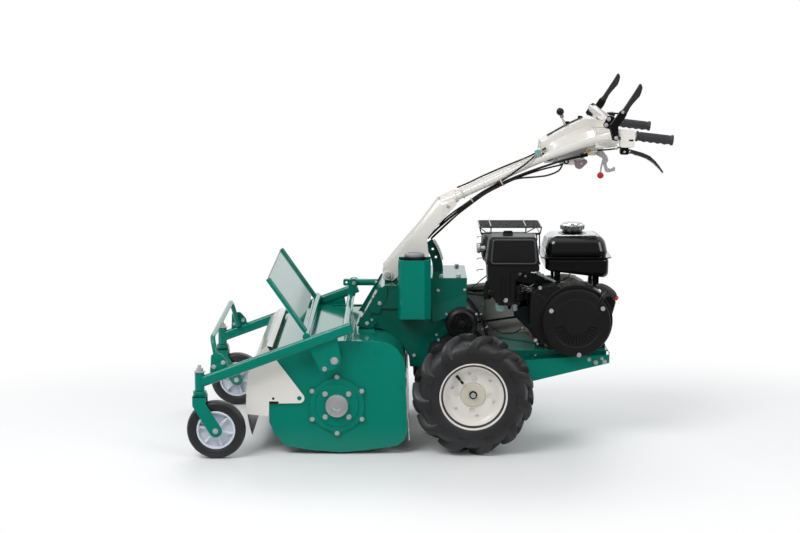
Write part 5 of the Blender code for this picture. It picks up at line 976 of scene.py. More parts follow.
def makeRearWheel(side):
    name = "left" if side < 0 else "right"
    centre = (rearWheel["x"], side * rearWheel["track"] / 2, rearWheel["radius"])
    body = "wheel_" + name
    half = [(0.1035, 0.0405), (0.1180, 0.0500), (0.1290, 0.0530), (0.1450, 0.0545), (0.1600, 0.0530),
            (0.1720, 0.0480), (0.1800, 0.0390), (0.1850, 0.0240), (0.1865, 0.0)]
    makePiece("tyreBody_" + name, [(tyreShape(half, centre, 96), "tyreRubber")], body, ["tyre_" + name], angle=60)
    pitch = 360 / rearWheel["lugs"]
    for hand, first in ((1, -90.0), (-1, -90.0 + pitch / 2)):
        label = "tyreLugs_" + name + ("_outer" if hand > 0 else "_inner")
        ringPiece(label, lugShape(centre, side, hand, first), "tyreRubber", body, rearWheel["lugs"], centre,
                  angle=62)
    turn = math.radians(rearWheel["valveTurn"])
    face = rearWheel["dish"]
    valveRoot, valveTip = [Vector((centre[0] - side * reach * math.cos(turn), centre[1] + side * (face + outward),
                                   centre[2] + reach * math.sin(turn)))
                           for reach, outward in ((0.089, 0.010), (0.054, 0.020))]
    along = (valveTip - valveRoot).normalized()
    stem = tubeShape([valveRoot, valveRoot + along * 0.022], 0.0056, 16, endRadius=0.0044)
    cap = tubeShape([valveRoot + along * 0.0235, valveTip], 0.0049, 14)
    plate = turnedShape([(0.0140, side * (face - 0.0004)), (0.0140, side * (face + 0.0048)),
                         (0.0405, side * (face + 0.0048)), (0.0414, side * (face + 0.0038)),
                         (0.0414, side * (face - 0.0004))], centre, "Y", 72)
    axle = turnedShape([(0.0, side * (face + 0.0126)), (0.0026, side * (face + 0.0126)),
                        (0.0030, side * (face + 0.0152)), (0.0078, side * (face + 0.0152)),
                        (0.0086, side * (face + 0.0142)), (0.0086, side * (face - 0.0002)),
                        (0.0, side * (face - 0.0002))], centre, "Y", 32)
    collar = turnedShape([(0.0086, side * (face + 0.0108)), (0.0128, side * (face + 0.0108)),
                          (0.0136, side * (face + 0.0098)), (0.0136, side * (face - 0.0002)),
                          (0.0086, side * (face - 0.0002))], centre, "Y", 32)
    makePiece("rimDish_" + name, [(rimShape(centre, side), "ivoryEnamel"), (plate, "ivoryShade"),
                                  (stem, "blackPlastic"), (cap, "blackPlastic"), (axle, "zincSteel"),
                                  (collar, "blackEnamel")], body, ["rim_" + name], angle=32)


for side in (-1, 1):
    makeRearWheel(side)
print("rear wheels done")


# Gauge wheels: smooth tyres on moulded hubs
gaugeWheel = {"x": -0.719, "track": 0.785, "radius": 0.100}


def makeGaugeWheel(side):
    name = "left" if side < 0 else "right"
    centre = (gaugeWheel["x"], side * gaugeWheel["track"] / 2, gaugeWheel["radius"])
    body = "caster_wheel_" + name
    half = [(0.0660, 0.0160), (0.0720, 0.0190), (0.0800, 0.0208), (0.0880, 0.0206), (0.0945, 0.0182),
            (0.0985, 0.0120), (0.0998, 0.0060), (0.1000, 0.0)]
    makePiece("gaugeTyre_" + name, [(tyreShape(half, centre, 72), "tyreRubber")], body, ["caster_tyre_" + name],
              angle=60)
    rim = turnedShape([(0.0656, 0.0190), (0.0640, 0.0200), (0.0610, 0.0200), (0.0590, 0.0180), (0.0580, 0.0060),
                       (0.0580, -0.0060), (0.0590, -0.0180), (0.0610, -0.0200), (0.0640, -0.0200),
                       (0.0656, -0.0190)], centre, "Y", 64)
    disc = turnedShape([(0.0585, 0.0030), (0.0160, 0.0030), (0.0160, -0.0030), (0.0585, -0.0030)], centre, "Y", 64)
    hub = turnedShape([(0.0130, 0.0225), (0.0175, 0.0225), (0.0190, 0.0210), (0.0205, 0.0030), (0.0205, -0.0030),
                       (0.0190, -0.0210), (0.0175, -0.0225), (0.0130, -0.0225)], centre, "Y", 40)
    rib = plateShape([(centre[0] + 0.0185, centre[2] - 0.0044), (centre[0] + 0.0585, centre[2] - 0.0030),
                      (centre[0] + 0.0585, centre[2] + 0.0030), (centre[0] + 0.0185, centre[2] + 0.0044)],
                     centre[1] - 0.0165, centre[1] + 0.0165)
    makePiece("gaugeHub_" + name, [(rim, "hubPlastic"), (disc, "hubPlastic"), (hub, "hubPlastic")], body,
              ["caster_hub_" + name], angle=30)
    ringPiece("gaugeRibs_" + name, rib, "hubPlastic", body, 6, centre, first=12, bevel=0.0012)


for side in (-1, 1):
    makeGaugeWheel(side)
print("gauge wheels done")


# Front carriage: two arms on cross tubes, guard bar, shield and the height rod
carriage = {
    "track": 0.785, "swivelX": -0.773, "armFrontZ": 0.262, "armRearX": -0.272, "armRearZ": 0.447,
    "armWidth": 0.027, "armHeight": 0.037, "crossRadius": 0.0135, "frontCross": (-0.411, 0.418),
    "rearCross": (-0.2785, 0.445), "pivot": (-0.318, 0.335), "smallBolt": (-0.351, 0.307),
    "guardX": -0.733, "guardZ": 0.406, "guardHalf": 0.340, "guardRadius": 0.0086,
    "shieldTop": (-0.543, 0.608), "shieldHalf": 0.335, "shieldTube": 0.0090, "rodY": 0.25, "rodZ": 0.496,
    "clevisX": -0.268,
}


def armMiddleZ(x):
    slope = (carriage["armRearZ"] - carriage["armFrontZ"]) / (carriage["armRearX"] - carriage["swivelX"])
    return carriage["armFrontZ"] + (x - carriage["swivelX"]) * slope


def armShape(side):
    runX = carriage["armRearX"] - carriage["swivelX"]
    rise = carriage["armRearZ"] - carriage["armFrontZ"]
    half, tall = carriage["armWidth"] / 2, carriage["armHeight"] / 2
    section = roundedOutline([(-half, -tall), (half, -tall), (half, tall), (-half, tall)], half * 0.98, 6)
    bar = plateShape(section, 0.0, math.hypot(runX, rise) + tall * 0.8, "YZ")
    place = Matrix.Translation((carriage["swivelX"], side * carriage["track"] / 2, carriage["armFrontZ"]))
    return moved(bar, place @ Matrix.Rotation(-math.atan2(rise, runX), 4, "Y"))


def makeFrontFrame():
    parts, bolts = [], []
    reach = carriage["track"] / 2
    pivotX, pivotZ = carriage["pivot"]
    ear = reach - carriage["armWidth"] / 2 + 0.003
    for side in (-1, 1):
        y = side * reach
        tube = turnedShape([(0.0092, 0.234), (0.0155, 0.234), (0.0165, 0.235), (0.0165, 0.297), (0.0155, 0.298),
                            (0.0092, 0.298)], (carriage["swivelX"], y, 0), "Z", 32)
        gusset = roundedOutline([(pivotX - 0.095, armMiddleZ(pivotX - 0.095)), (pivotX - 0.058, pivotZ - 0.012),
                                 (carriage["smallBolt"][0] - 0.012, carriage["smallBolt"][1] - 0.016),
                                 (pivotX + 0.010, pivotZ - 0.026), (pivotX + 0.024, pivotZ - 0.002),
                                 (pivotX + 0.008, armMiddleZ(pivotX + 0.008))], 0.012, 4)
        base = armMiddleZ(carriage["guardX"])
        tab = roundedOutline([(carriage["guardX"] - 0.006, base), (carriage["guardX"] - 0.004, base + 0.042),
                              (carriage["guardX"] + 0.050, base + 0.062), (carriage["guardX"] + 0.062, base + 0.010)],
                             0.010, 4)
        faces = (side * ear, side * (ear + 0.006))
        parts += [(tube, "greenEnamel"), (armShape(side), "greenEnamel"), (plateShape(gusset, *faces), "greenEnamel"),
                  (plateShape(tab, *faces), "greenEnamel"),
                  (tubeShape([(pivotX, side * 0.352, pivotZ), (pivotX, side * (ear + 0.001), pivotZ)], 0.019, 28),
                   "greenEnamel"),
                  (tubeShape([(pivotX, side * 0.341, pivotZ), (pivotX, side * ear, pivotZ)], 0.008, 20), "zincSteel")]
        weld = turnedShape([(0.0, -0.002), (0.0205, -0.002), (0.0185, 0.0015), (0.0, 0.0015)],
                           (pivotX, side * 0.354, pivotZ), "Y", 28)
        parts.append((weld, "greenEnamel"))
        bolts.append(((pivotX, side * (ear + 0.0062), pivotZ), (0, side, 0), 1.55))
        bolts.append(((carriage["smallBolt"][0], side * (ear + 0.0062), carriage["smallBolt"][1]),
                      (0, side, 0), 0.95))
    for x, z in (carriage["frontCross"], carriage["rearCross"]):
        parts.append((tubeShape([(x, -reach, z), (x, reach, z)], carriage["crossRadius"], 28), "greenEnamel"))
    rearX, rearZ = carriage["rearCross"]
    clevisX, rodZ = carriage["clevisX"], carriage["rodZ"]
    for side in (-1, 1):
        near = carriage["rodY"] + side * 0.0166
        lug = roundedOutline([(rearX - 0.014, rearZ - 0.004), (rearX + 0.014, rearZ - 0.004),
                              (clevisX + 0.016, rodZ + 0.016), (clevisX - 0.016, rodZ + 0.016)], 0.014, 5)
        parts.append((plateShape(lug, near, near + side * 0.005), "greenEnamel"))
        bolts.append(((clevisX, near + side * 0.0052, rodZ), (0, side, 0), 0.8))
    makePiece("frontFrame", parts, "front_carriage", ["front_frame"], bevel=0.0009)
    boltPiece("frontFrameBolts", bolts, "front_carriage")


def makeGuard():
    plateY = carriage["track"] / 2 - carriage["armWidth"] / 2 + 0.0027
    x, z, half = carriage["guardX"], carriage["guardZ"], carriage["guardHalf"]
    base = armMiddleZ(x)
    route = [(x + 0.022, -plateY + 0.012, base + 0.030), (x + 0.010, -plateY + 0.022, base + 0.086),
             (x, -half, z), (x, half, z), (x + 0.010, plateY - 0.022, base + 0.086),
             (x + 0.022, plateY - 0.012, base + 0.030)]
    parts = [(tubeShape(roundBend(route, 0.034, 8), carriage["guardRadius"], 18), "greenEnamel")]
    bolts = []
    for side in (-1, 1):
        outline = roundedOutline([(x - 0.004, base + 0.023), (x - 0.002, base + 0.078), (x + 0.030, base + 0.084),
                                  (x + 0.053, base + 0.056), (x + 0.052, base + 0.045)], 0.008, 4)
        parts.append((plateShape(outline, side * plateY, side * (plateY - 0.005)), "greenEnamel"))
        parts.append((blockShape((x + 0.012, min(side * (plateY - 0.004), side * (plateY - 0.014)), base + 0.034),
                                 (x + 0.032, max(side * (plateY - 0.004), side * (plateY - 0.014)), base + 0.060)),
                      "greenEnamel"))
        for dx, dz in ((0.008, 0.038), (0.040, 0.052)):
            bolts.append(((x + dx, side * (plateY + 0.0062), base + dz), (0, side, 0), 0.95))
            bolts.append(((x + dx, side * (plateY - 0.0052), base + dz), (0, -side, 0), 0.85))
    makePiece("guardBar", parts, "front_carriage", ["front_guard"], bevel=0.0009)
    boltPiece("guardBolts", bolts, "front_carriage")


def makeShield():
    top = Vector(carriage["shieldTop"])
    foot = Vector(carriage["frontCross"])
    along = (top - foot).normalized()
    lift = Vector((-along.y, along.x))
    start = foot + along * 0.028
    half = carriage["shieldHalf"]
    sheet = plateShape([tuple(start), tuple(start + lift * 0.002), tuple(top + lift * 0.002), tuple(top)], -half, half)
    cutters = []
    normal = Vector((lift.x, 0, lift.y))
    for i in range(5):
        y = half * (i - 2) / 2.4
        place = Vector((top.x - along.x * 0.014, y, top.y - along.y * 0.014))
        cutters.append(tubeShape([place - normal * 0.01, place + normal * 0.01], 0.0032, 16))
    parts = [(carve(sheet, cutters), "greenEnamel")]
    hem = plateShape([tuple(top - along * 0.004), tuple(top - along * 0.004 + lift * 0.0034),
                      tuple(top + lift * 0.0034), tuple(top)], -half, half)
    parts.append((hem, "greenEnamel"))
    for side in (-1, 1):
        y = side * half
        tube = tubeShape([(foot.x, y, foot.y), (top.x - along.x * 0.004, y, top.y - along.y * 0.004)],
                         carriage["shieldTube"], 20)
        cap = turnedShape([(0.0090, -0.004), (0.0084, -0.0012), (0.0060, 0.0), (0.0, 0.0)], (0, 0, 0), "Z", 20)
        turn = Vector((0, 0, 1)).rotation_difference(Vector((along.x, 0, along.y))).to_matrix().to_4x4()
        parts += [(tube, "greenEnamel"), (moved(cap, Matrix.Translation((top.x, y, top.y)) @ turn), "greenEnamel")]
    makePiece("shield", parts, "front_carriage", ["front_shield"], bevel=0.0005)


def makeHeightRod():
    y, z = carriage["rodY"], carriage["rodZ"]
    front, rear, clevisX = -0.308, -0.090, carriage["clevisX"]
    flat = roundedOutline([(front, z - 0.013), (front, z + 0.013), (clevisX - 0.008, z + 0.011),
                           (clevisX - 0.008, z - 0.011)], 0.008, 4)
    tab = carve(plateShape(flat, y - 0.006, y + 0.006),
                [tubeShape([(front + 0.012, y - 0.02, z), (front + 0.012, y + 0.02, z)], 0.0042, 20)])
    bar = turnedShape([(0.0, clevisX - 0.010), (0.0112, clevisX - 0.010), (0.0125, clevisX - 0.007),
                       (0.0125, rear - 0.0015), (0.0115, rear), (0.0, rear)], (0, y, z), "X", 28)
    bar = carve(bar, [tubeShape([(rear - 0.016, y, z - 0.03), (rear - 0.016, y, z + 0.03)], 0.003, 16)])
    eye = tubeShape([(clevisX, y - 0.016, z), (clevisX, y + 0.016, z)], 0.0155, 28)
    pin = tubeShape([(clevisX, y - 0.027, z), (clevisX, y + 0.027, z)], 0.0058, 18)
    makePiece("heightRod", [(tab, "greenEnamel"), (bar, "greenEnamel"), (eye, "greenEnamel"), (pin, "zincSteel")],
              "height_rod", ["height_rod"], bevel=0.0007)


def makeFork(side):
    name = "left" if side < 0 else "right"
    x, y, trail, foot = carriage["swivelX"], side * carriage["track"] / 2, 0.054, 0.100
    top, wall, inner = 0.2195, 0.005, 0.026
    half = 0.023
    leg = [(x + half, top), (x - half, top), (x - half, 0.186)]
    leg += circleOutline(x + trail, foot, 0.022, 18, 208, 388)
    leg.append((x + half, 0.192))
    parts = [(plateShape([(x - half, y - inner - wall), (x + half, y - inner - wall), (x + half, y + inner + wall),
                          (x - half, y + inner + wall)], top - wall, top, "XY"), "greenEnamel")]
    bolts = []
    for hand in (-1, 1):
        parts.append((plateShape(leg, y + hand * inner, y + hand * (inner + wall)), "greenEnamel"))
        bolts.append(((x + trail, y + hand * (inner + wall + 0.0002), foot), (0, hand, 0), 1.15))
    parts.append((tubeShape([(x + trail, y - inner - 0.001, foot), (x + trail, y + inner + 0.001, foot)], 0.0058, 18),
                  "zincSteel"))
    collar = turnedShape([(0.0, top - 0.001), (0.0215, top - 0.001), (0.0230, top + 0.001), (0.0230, 0.2325),
                          (0.0220, 0.2337), (0.0, 0.2337)], (x, y, 0), "Z", 32)
    pin = tubeShape([(x, y, 0.230), (x, y, 0.300)], 0.0083, 20)
    parts += [(collar, "greenEnamel"), (pin, "zincSteel")]
    makePiece("fork_" + name, parts, "caster_fork_" + name, ["caster_fork_" + name], bevel=0.0010)
    stack = [turnedShape([(0.0, 0.2983), (0.0200, 0.2983), (0.0200, 0.3008), (0.0, 0.3008)], (x, y, 0), "Z", 32),
             turnedShape([(0.0, 0.3012), (0.0155, 0.3012), (0.0155, 0.3030), (0.0, 0.3030)], (x, y, 0), "Z", 32),
             plateShape(circleOutline(x, y, 0.0125, 6), 0.3032, 0.3125, "XY"),
             turnedShape([(0.0, 0.3125), (0.0062, 0.3125), (0.0062, 0.3215), (0.0052, 0.3235), (0.0, 0.3235)],
                         (x, y, 0), "Z", 20)]
    makePiece("swivelNut_" + name, [(shape, "zincSteel") for shape in stack], "caster_fork_" + name, bevel=0.0006)
    boltPiece("forkBolts_" + name, bolts, "caster_fork_" + name)


makeFrontFrame()
makeGuard()
makeShield()
makeHeightRod()
for side in (-1, 1):
    makeFork(side)
print("front carriage done")


# Cutting head: hood, side plates, flaps, bearing housing with its steel cap
head = {
    "rotor": (-0.311, 0.174), "outer": 0.350, "flangeRadius": 0.0930, "boltCircle": 0.098, "lobe": 0.0115,
    "hubRadius": 0.074, "capRadius": 0.0385, "innerBolts": 0.0565,
}

flap = {
    "face": [(-0.6215, 0.143), (-0.6190, 0.232), (-0.6120, 0.283), (-0.585, 0.346), (-0.548, 0.380), (-0.530, 0.377)],
    "step": [(-0.5095, 0.1795), (-0.5105, 0.1868), (-0.5420, 0.1872), (-0.5445, 0.1745), (-0.5455, 0.1350)],
    "pivot": (-0.439, 0.198), "lug": 0.0175, "hole": 0.0077, "plate": (0.353, 0.356), "curtainHalf": 0.335,
}


def softCopy(name, node, body, finishName, bevel=0.0009, extra=(), angle=35.0):
    # a node's own form with rounded edges, and whatever sits on it
    return makePiece(name, [(cadCopy(node), finishName)] + list(extra), body, [node], bevel=bevel, angle=angle)


def lobedOutline(radius, circle, lobe, bolts):
    x, z = head["rotor"]
    points = []
    for i in range(bolts):
        middle = 90 + 360 / bolts * i
        cx = x + circle * math.cos(math.radians(middle))
        cz = z + circle * math.sin(math.radians(middle))
        points += circleOutline(cx, cz, lobe, 10, middle - 96, middle + 96)
        points += circleOutline(x, z, radius, 8, middle + 10, middle + 50)
    return points


def makeBearing():
    x, z = head["rotor"]
    face = -head["outer"] - 0.0003
    flange = face - 0.006
    plate = plateShape(lobedOutline(head["flangeRadius"], head["boltCircle"], head["lobe"], 6), flange, face)
    hub = turnedShape([(0.0, face + 0.001), (0.070, face + 0.001), (head["hubRadius"], flange - 0.0005),
                       (head["hubRadius"] - 0.0015, flange - 0.004), (0.0, flange - 0.004)], (x, 0, z), "Y", 64)
    bore = turnedShape([(0.016, face + 0.028), (0.050, face + 0.028), (0.050, face), (0.016, face)], (x, 0, z),
                       "Y", 48)
    edge = head["capRadius"]
    cap = turnedShape([(0.0, flange - 0.003), (edge, flange - 0.003), (edge, flange - 0.0165),
                       (edge - 0.0012, flange - 0.0190), (edge - 0.0040, flange - 0.0203), (0.0140, flange - 0.0210),
                       (0.0130, flange - 0.0200), (0.0, flange - 0.0200)], (x, 0, z), "Y", 64)
    makePiece("bearingHousing", [(plate, "greenEnamel"), (hub, "greenEnamel"), (bore, "greenEnamel"),
                                 (cap, "brightSteel")], "chassis", ["bearing_housing"], bevel=0.0010, angle=30)
    bolts = boltRing(head["rotor"], flange - 0.0002, head["boltCircle"], range(90, 450, 60), 0.95)
    bolts += boltRing(head["rotor"], flange - 0.0042, head["innerBolts"], range(45, 405, 90), 1.1)
    boltPiece("bearingBolts", bolts, "chassis")


def makeFlap():
    # folded front face between two end plates, a rubber stop in the step and the rubber curtain behind
    inner, outer = flap["plate"]
    face = flap["face"]
    sheet = face + [(x + 0.0018, z - 0.0018) for x, z in face[::-1][:-1]] + [(face[0][0] + 0.0025, face[0][1])]
    parts = [(plateShape(sheet, -inner - 0.001, inner + 0.001), "ivoryEnamel")]
    x, z = flap["pivot"]
    outline = face[:-1] + [(-0.5300, 0.3500)] + circleOutline(x, z, flap["lug"], 12, 37.5, -88) + flap["step"]
    for side in (-1, 1):
        near, far = sorted((side * inner, side * outer))
        hole = tubeShape([(x, near - 0.01, z), (x, far + 0.01, z)], flap["hole"], 28)
        parts.append((carve(plateShape(outline, near, far), [hole]), "ivoryEnamel"))
        outside = side * outer
        stop = roundedOutline([(-0.5420, 0.1786), (-0.5103, 0.1786), (-0.5103, 0.1866), (-0.5420, 0.1870)], 0.0012, 3)
        parts.append((plateShape(stop, outside - side * 0.0060, outside - side * 0.0004), "sheetRubber"))
        # a small black disc on the end plate where it has a small hole: painted shade for the dark hole
        plug = turnedShape([(0.0, outside + side * 0.0003), (0.0044, outside + side * 0.0003),
                            (0.0052, outside - side * 0.0006), (0.0, outside - side * 0.0006)],
                           (-0.5277, 0, 0.1970), "Y", 24)
        parts.append((plug, "sheetRubber"))
    makePiece("frontFlap", parts, "front_flap", ["front_flap"], bevel=0.0006)
    line = flowing([(-0.6180, 0, 0.1730), (-0.6186, 0, 0.1430), (-0.6130, 0, 0.1050), (-0.6040, 0, 0.0670)], 4)
    curtain = [(p.x, p.z) for p in line] + [(p.x + 0.0030, p.z) for p in line[::-1]]
    half = flap["curtainHalf"]
    makePiece("flapCurtain", [(plateShape(curtain, -half, half), "sheetRubber")], "front_flap", ["flap_curtain"],
              bevel=0.0004)


def makeHead():
    softCopy("hood", "deck_hood", "chassis", "greenEnamel", 0.0008)
    for side, name in ((-1, "left"), (1, "right")):
        y = side * 0.3547
        pin = turnedShape([(0.0, side * -0.001), (0.0070, side * -0.001), (0.0074, side * 0.0008),
                           (0.0066, side * 0.0016), (0.0, side * 0.0016)], (-0.439, y, 0.198), "Y", 24)
        softCopy("sidePlate_" + name, "side_plate_" + name, "chassis", "greenEnamel", 0.0009,
                 [(pin, "greenEnamel")])
    softCopy("driveCover", "rotor_drive_cover", "chassis", "greenEnamel", 0.0012)
    makeFlap()
    softCopy("rearFlap", "rear_flap", "chassis", "ivoryEnamel", 0.0006)
    makeBearing()
    bolts = []
    for side in (-1, 1):
        for x, z in ((-0.178, 0.357), (-0.092, 0.237)):
            bolts.append(((x, side * 0.3502, z), (0, side, 0), 0.62))
    boltPiece("sidePlateScrews", bolts, "chassis", finishName="greenEnamel")
    rivets = []
    for i in range(9):
        rivets.append(((-0.0768, -0.312 + 0.078 * i, 0.2755), (-1, 0, 0), 0.55))
    boltPiece("rearFlapRivets", rivets, "chassis", sides=16)
    for row in range(4):
        softCopy("knives_" + str(row + 1), "knife_row_" + str(row + 1), "knife_row_" + str(row + 1), "zincSteel",
                 0.0007)
    # the drum takes the green darkened as painted shade
    softCopy("rotorDrum", "rotor", "rotor", "greenInPaintedShade", 0.0009)


makeHead()
print("cutting head done")


# Chassis: frame with its straps and canister guard, gear case, fan cover, engine base and belt cover
chassis = {
    "half": 0.140, "guardFront": -0.103, "guardRear": 0.010, "guardLow": 0.445,
    "pivot": (-0.139, 0.573), "fan": (0.118, 0.420), "fanRadius": 0.056,
}


def wedgeShape(quad, yTop, yFoot):
    # a folded flange: its first two points lie at one depth and the others stand further out
    shape = bmesh.new()
    back = [shape.verts.new((x, -chassis["half"] + 0.001, z)) for x, z in quad]
    front = [shape.verts.new((x, yTop if i < 2 else yFoot, z)) for i, (x, z) in enumerate(quad)]
    shape.faces.new(back)
    shape.faces.new(front)
    for i in range(4):
        k = (i + 1) % 4
        shape.faces.new((back[i], back[k], front[k], front[i]))
    bmesh.ops.recalc_face_normals(shape, faces=shape.faces)
    return shape


def frameFinish(face):
    # the guard round the canister and the rim of the height sector have their own paint; the rest of the frame gets the
    # green darkened as painted shade
    place = face.calc_center_median()
    inGuard = chassis["guardFront"] - 0.002 < place.x < chassis["guardRear"] + 0.002
    if inGuard and place.y < -chassis["half"] - 0.001 and place.z > chassis["guardLow"] - 0.001:
        return "greenEnamel"
    fromPivot = math.hypot(place.x - chassis["pivot"][0], place.z - chassis["pivot"][1])
    if fromPivot > 0.1935 and place.z > 0.60 and abs(place.y) < 0.060:
        return "ivoryEnamel"
    return "greenInPaintedShade"


def makeFrame():
    side = -chassis["half"]
    parts = [(cadCopy("chassis_frame"), frameFinish)]
    # the straps and plates take the green darkened as painted shade
    parts.append((wedgeShape([(0.012, 0.479), (0.1365, 0.519), (0.1365, 0.463), (0.018, 0.421)],
                             side - 0.0008, side - 0.011), "greenInPaintedShade"))
    parts.append((wedgeShape([(-0.141, 0.536), (-0.104, 0.536), (-0.104, 0.470), (-0.160, 0.470)],
                             side - 0.0008, side - 0.007), "greenInPaintedShade"))
    upper = roundedOutline([(-0.166, 0.546), (-0.141, 0.546), (-0.143, 0.5065), (-0.171, 0.4515), (-0.193, 0.455),
                            (-0.212, 0.468)], 0.004, 3)
    lower = roundedOutline([(-0.247, 0.408), (-0.199, 0.3985), (-0.176, 0.4208), (-0.192, 0.440),
                            (-0.222, 0.448)], 0.004, 3)
    for hand in (-1, 1):
        near, far = hand * (chassis["half"] + 0.0035), hand * (chassis["half"] + 0.0075)
        parts.append((plateShape(upper, near, far), "greenInPaintedShade"))
        parts.append((plateShape(lower, near + hand * 0.0015, far + hand * 0.0015), "greenInPaintedShade"))
    makePiece("chassisFrame", parts, "chassis", ["chassis_frame"], bevel=0.0010)
    bolts = []
    for hand in (-1, 1):
        face = hand * (chassis["half"] + 0.0002)
        out = (0, hand, 0)
        for x, z, lift, size in ((-0.1679, 0.4886, 0.0075, 0.85), (-0.2121, 0.4180, 0.0090, 0.85),
                                 (-0.1950, 0.4300, 0.0090, 0.5), (0.0308, 0.3752, 0.0, 0.6),
                                 (0.0381, 0.3567, 0.0, 0.6), (-0.0475, 0.3013, 0.0, 0.75), (0.0364, 0.5331, 0.0, 0.7),
                                 (0.1290, 0.5350, 0.0, 0.6)):
            bolts.append(((x, face + hand * lift, z), out, size))
        bolts.append(((-0.1829, hand * 0.128, 0.5155), (-0.86, 0, 0.5), 0.7))
        bolts.append(((0.0480, hand * 0.112, 0.5772), (0, 0, 1), 1.0))
        bolts.append(((0.1080, hand * 0.112, 0.5772), (0, 0, 1), 1.15))
    boltPiece("chassisBolts", bolts, "chassis", height=0.0062)


def makeCanister():
    x, y = (chassis["guardFront"] + chassis["guardRear"]) / 2, -chassis["half"] - 0.0368
    body = turnedShape([(0.0, 0.449), (0.0345, 0.449), (0.0362, 0.452), (0.0362, 0.640), (0.0352, 0.644),
                        (0.0352, 0.657), (0.0340, 0.660), (0.0, 0.660)], (x, y, 0), "Z", 48)
    lid = turnedShape([(0.0, 0.6602), (0.0335, 0.6602), (0.0350, 0.6618), (0.0350, 0.6655), (0.0320, 0.6690),
                       (0.0225, 0.6708), (0.0215, 0.6690), (0.0, 0.6690)], (x, y, 0), "Z", 48)
    makePiece("canister", [(body, "blackPlastic"), (lid, "greyPlastic")], "chassis", ["oil_canister"], bevel=0.0005)
    tooth = blockShape((x + 0.0352, y - 0.0012, 0.6455), (x + 0.0364, y + 0.0012, 0.6565))
    ringPiece("canisterFlutes", tooth, "blackPlastic", "chassis", 30, (x, y, 0.65), (0, 0, 1))


def arcBand(centre, inner, outer, first, last, low, high):
    x, z = centre
    outline = circleOutline(x, z, outer, 14, first, last) + circleOutline(x, z, inner, 14, last, first)
    return plateShape(outline, low, high)


def makeFan():
    x, z = chassis["fan"]
    back = -chassis["half"] - 0.0003
    radius = chassis["fanRadius"]
    dome = turnedShape([(0.0, back), (radius, back), (radius, back - 0.018), (radius - 0.0025, back - 0.0235),
                        (radius - 0.0075, back - 0.0300), (radius - 0.0150, back - 0.0340), (0.0, back - 0.0350)],
                       (x, 0, z), "Y", 56)
    cutters = []
    for inner, outer, turn in ((0.0150, 0.0180, 0), (0.0215, 0.0245, 30), (0.0280, 0.0310, 0), (0.0345, 0.0375, 30)):
        for i in range(3):
            first = turn + 120 * i + 14
            cutters.append(arcBand((x, z), inner, outer, first, first + 92, back - 0.06, back - 0.012))
    parts = [(carve(dome, cutters), "blackPlastic")]
    hub = turnedShape([(0.0, back - 0.030), (0.0115, back - 0.030), (0.0105, back - 0.0385), (0.0080, back - 0.0395),
                       (0.0, back - 0.0395)], (x, 0, z), "Y", 32)
    parts.append((hub, "blackPlastic"))
    for turn in (30, 150, 270):
        turn = math.radians(turn)
        at = (x + (radius + 0.004) * math.cos(turn), z + (radius + 0.004) * math.sin(turn))
        ear = plateShape(circleOutline(*at, 0.0085, 20), back - 0.007, back)
        parts.append((ear, "blackPlastic"))
    makePiece("fanCover", parts, "chassis", ["drive_fan_cover"], bevel=0.0006, angle=30)
    boltPiece("fanBolts", boltRing((x, z), back - 0.0072, radius + 0.004, (30, 150, 270), 0.62), "chassis")


def makeBase():
    cutters, rails = [], []
    for hand in (-1, 1):
        cutters.append(plateShape([(0.2440, 0.2960), (0.3530, 0.2985), (0.6290, 0.3165), (0.6290, 0.3400),
                                   (0.2440, 0.3400)], hand * 0.1640, hand * 0.2100))
        rail = plateShape([(0.2470, 0.2700), (0.6250, 0.3000), (0.6250, 0.3225), (0.2470, 0.3225)],
                          hand * 0.1600, hand * 0.1640)
        holes = [tubeShape([(x, hand * 0.155, 0.3105), (x, hand * 0.170, 0.3105)], 0.0050, 20)
                 for x in (0.3310, 0.3490, 0.3760)]
        # the rails take the green darkened as painted shade
        rails.append((carve(rail, holes), "greenInPaintedShade"))
    shape = carve(cadCopy("engine_base"), cutters)
    makePiece("engineBase", [(shape, "greenEnamel")] + rails, "chassis", ["engine_base"], bevel=0.0010)
    bolts, nuts = [], []
    for hand in (-1, 1):
        for x, z, size in ((0.5608, 0.2997, 0.85), (0.6052, 0.3029, 0.80), (0.5841, 0.2893, 1.0),
                           (0.6151, 0.2907, 1.0)):
            bolts.append(((x, hand * 0.2002, z), (0, hand, 0), size))
        for x in (0.3320, 0.3640):
            nuts.append(((x, hand * 0.2002, 0.3035), (0, hand, 0), 0.8))
    for x in (0.408, 0.604):
        for y in (-0.105, 0.145):
            bolts.append(((x, y, 0.3385), (0, 0, 1), 1.1))
    boltPiece("baseBolts", bolts, "chassis", height=0.006)
    # the nuts take the green darkened as painted shade
    boltPiece("baseNuts", nuts, "chassis", sides=4, washer=0.004, finishName="greenInPaintedShade")


def makeDrive():
    softCopy("gearCase", "transmission_case", "chassis", "castMetal", 0.0030, angle=40)
    softCopy("beltCover", "belt_cover", "chassis", "ivoryEnamel", 0.0040)
    softCopy("driveBelt", "drive_belt", "chassis", "softRubber", 0.0008)
    softCopy("enginePulley", "engine_pulley", "engine_pulley", "zincSteel", 0.0008, angle=30)
    softCopy("drivePulley", "drive_pulley", "drive_pulley", "zincSteel", 0.0008, angle=30)
    face, circle = 0.2070, 0.0845
    screws = boltRing((0.150, 0.405), face, circle, range(90, 271, 45), 0.55)
    screws += boltRing((0.512, 0.441), face, circle, range(-90, 91, 45), 0.55)
    boltPiece("beltCoverScrews", screws, "chassis")


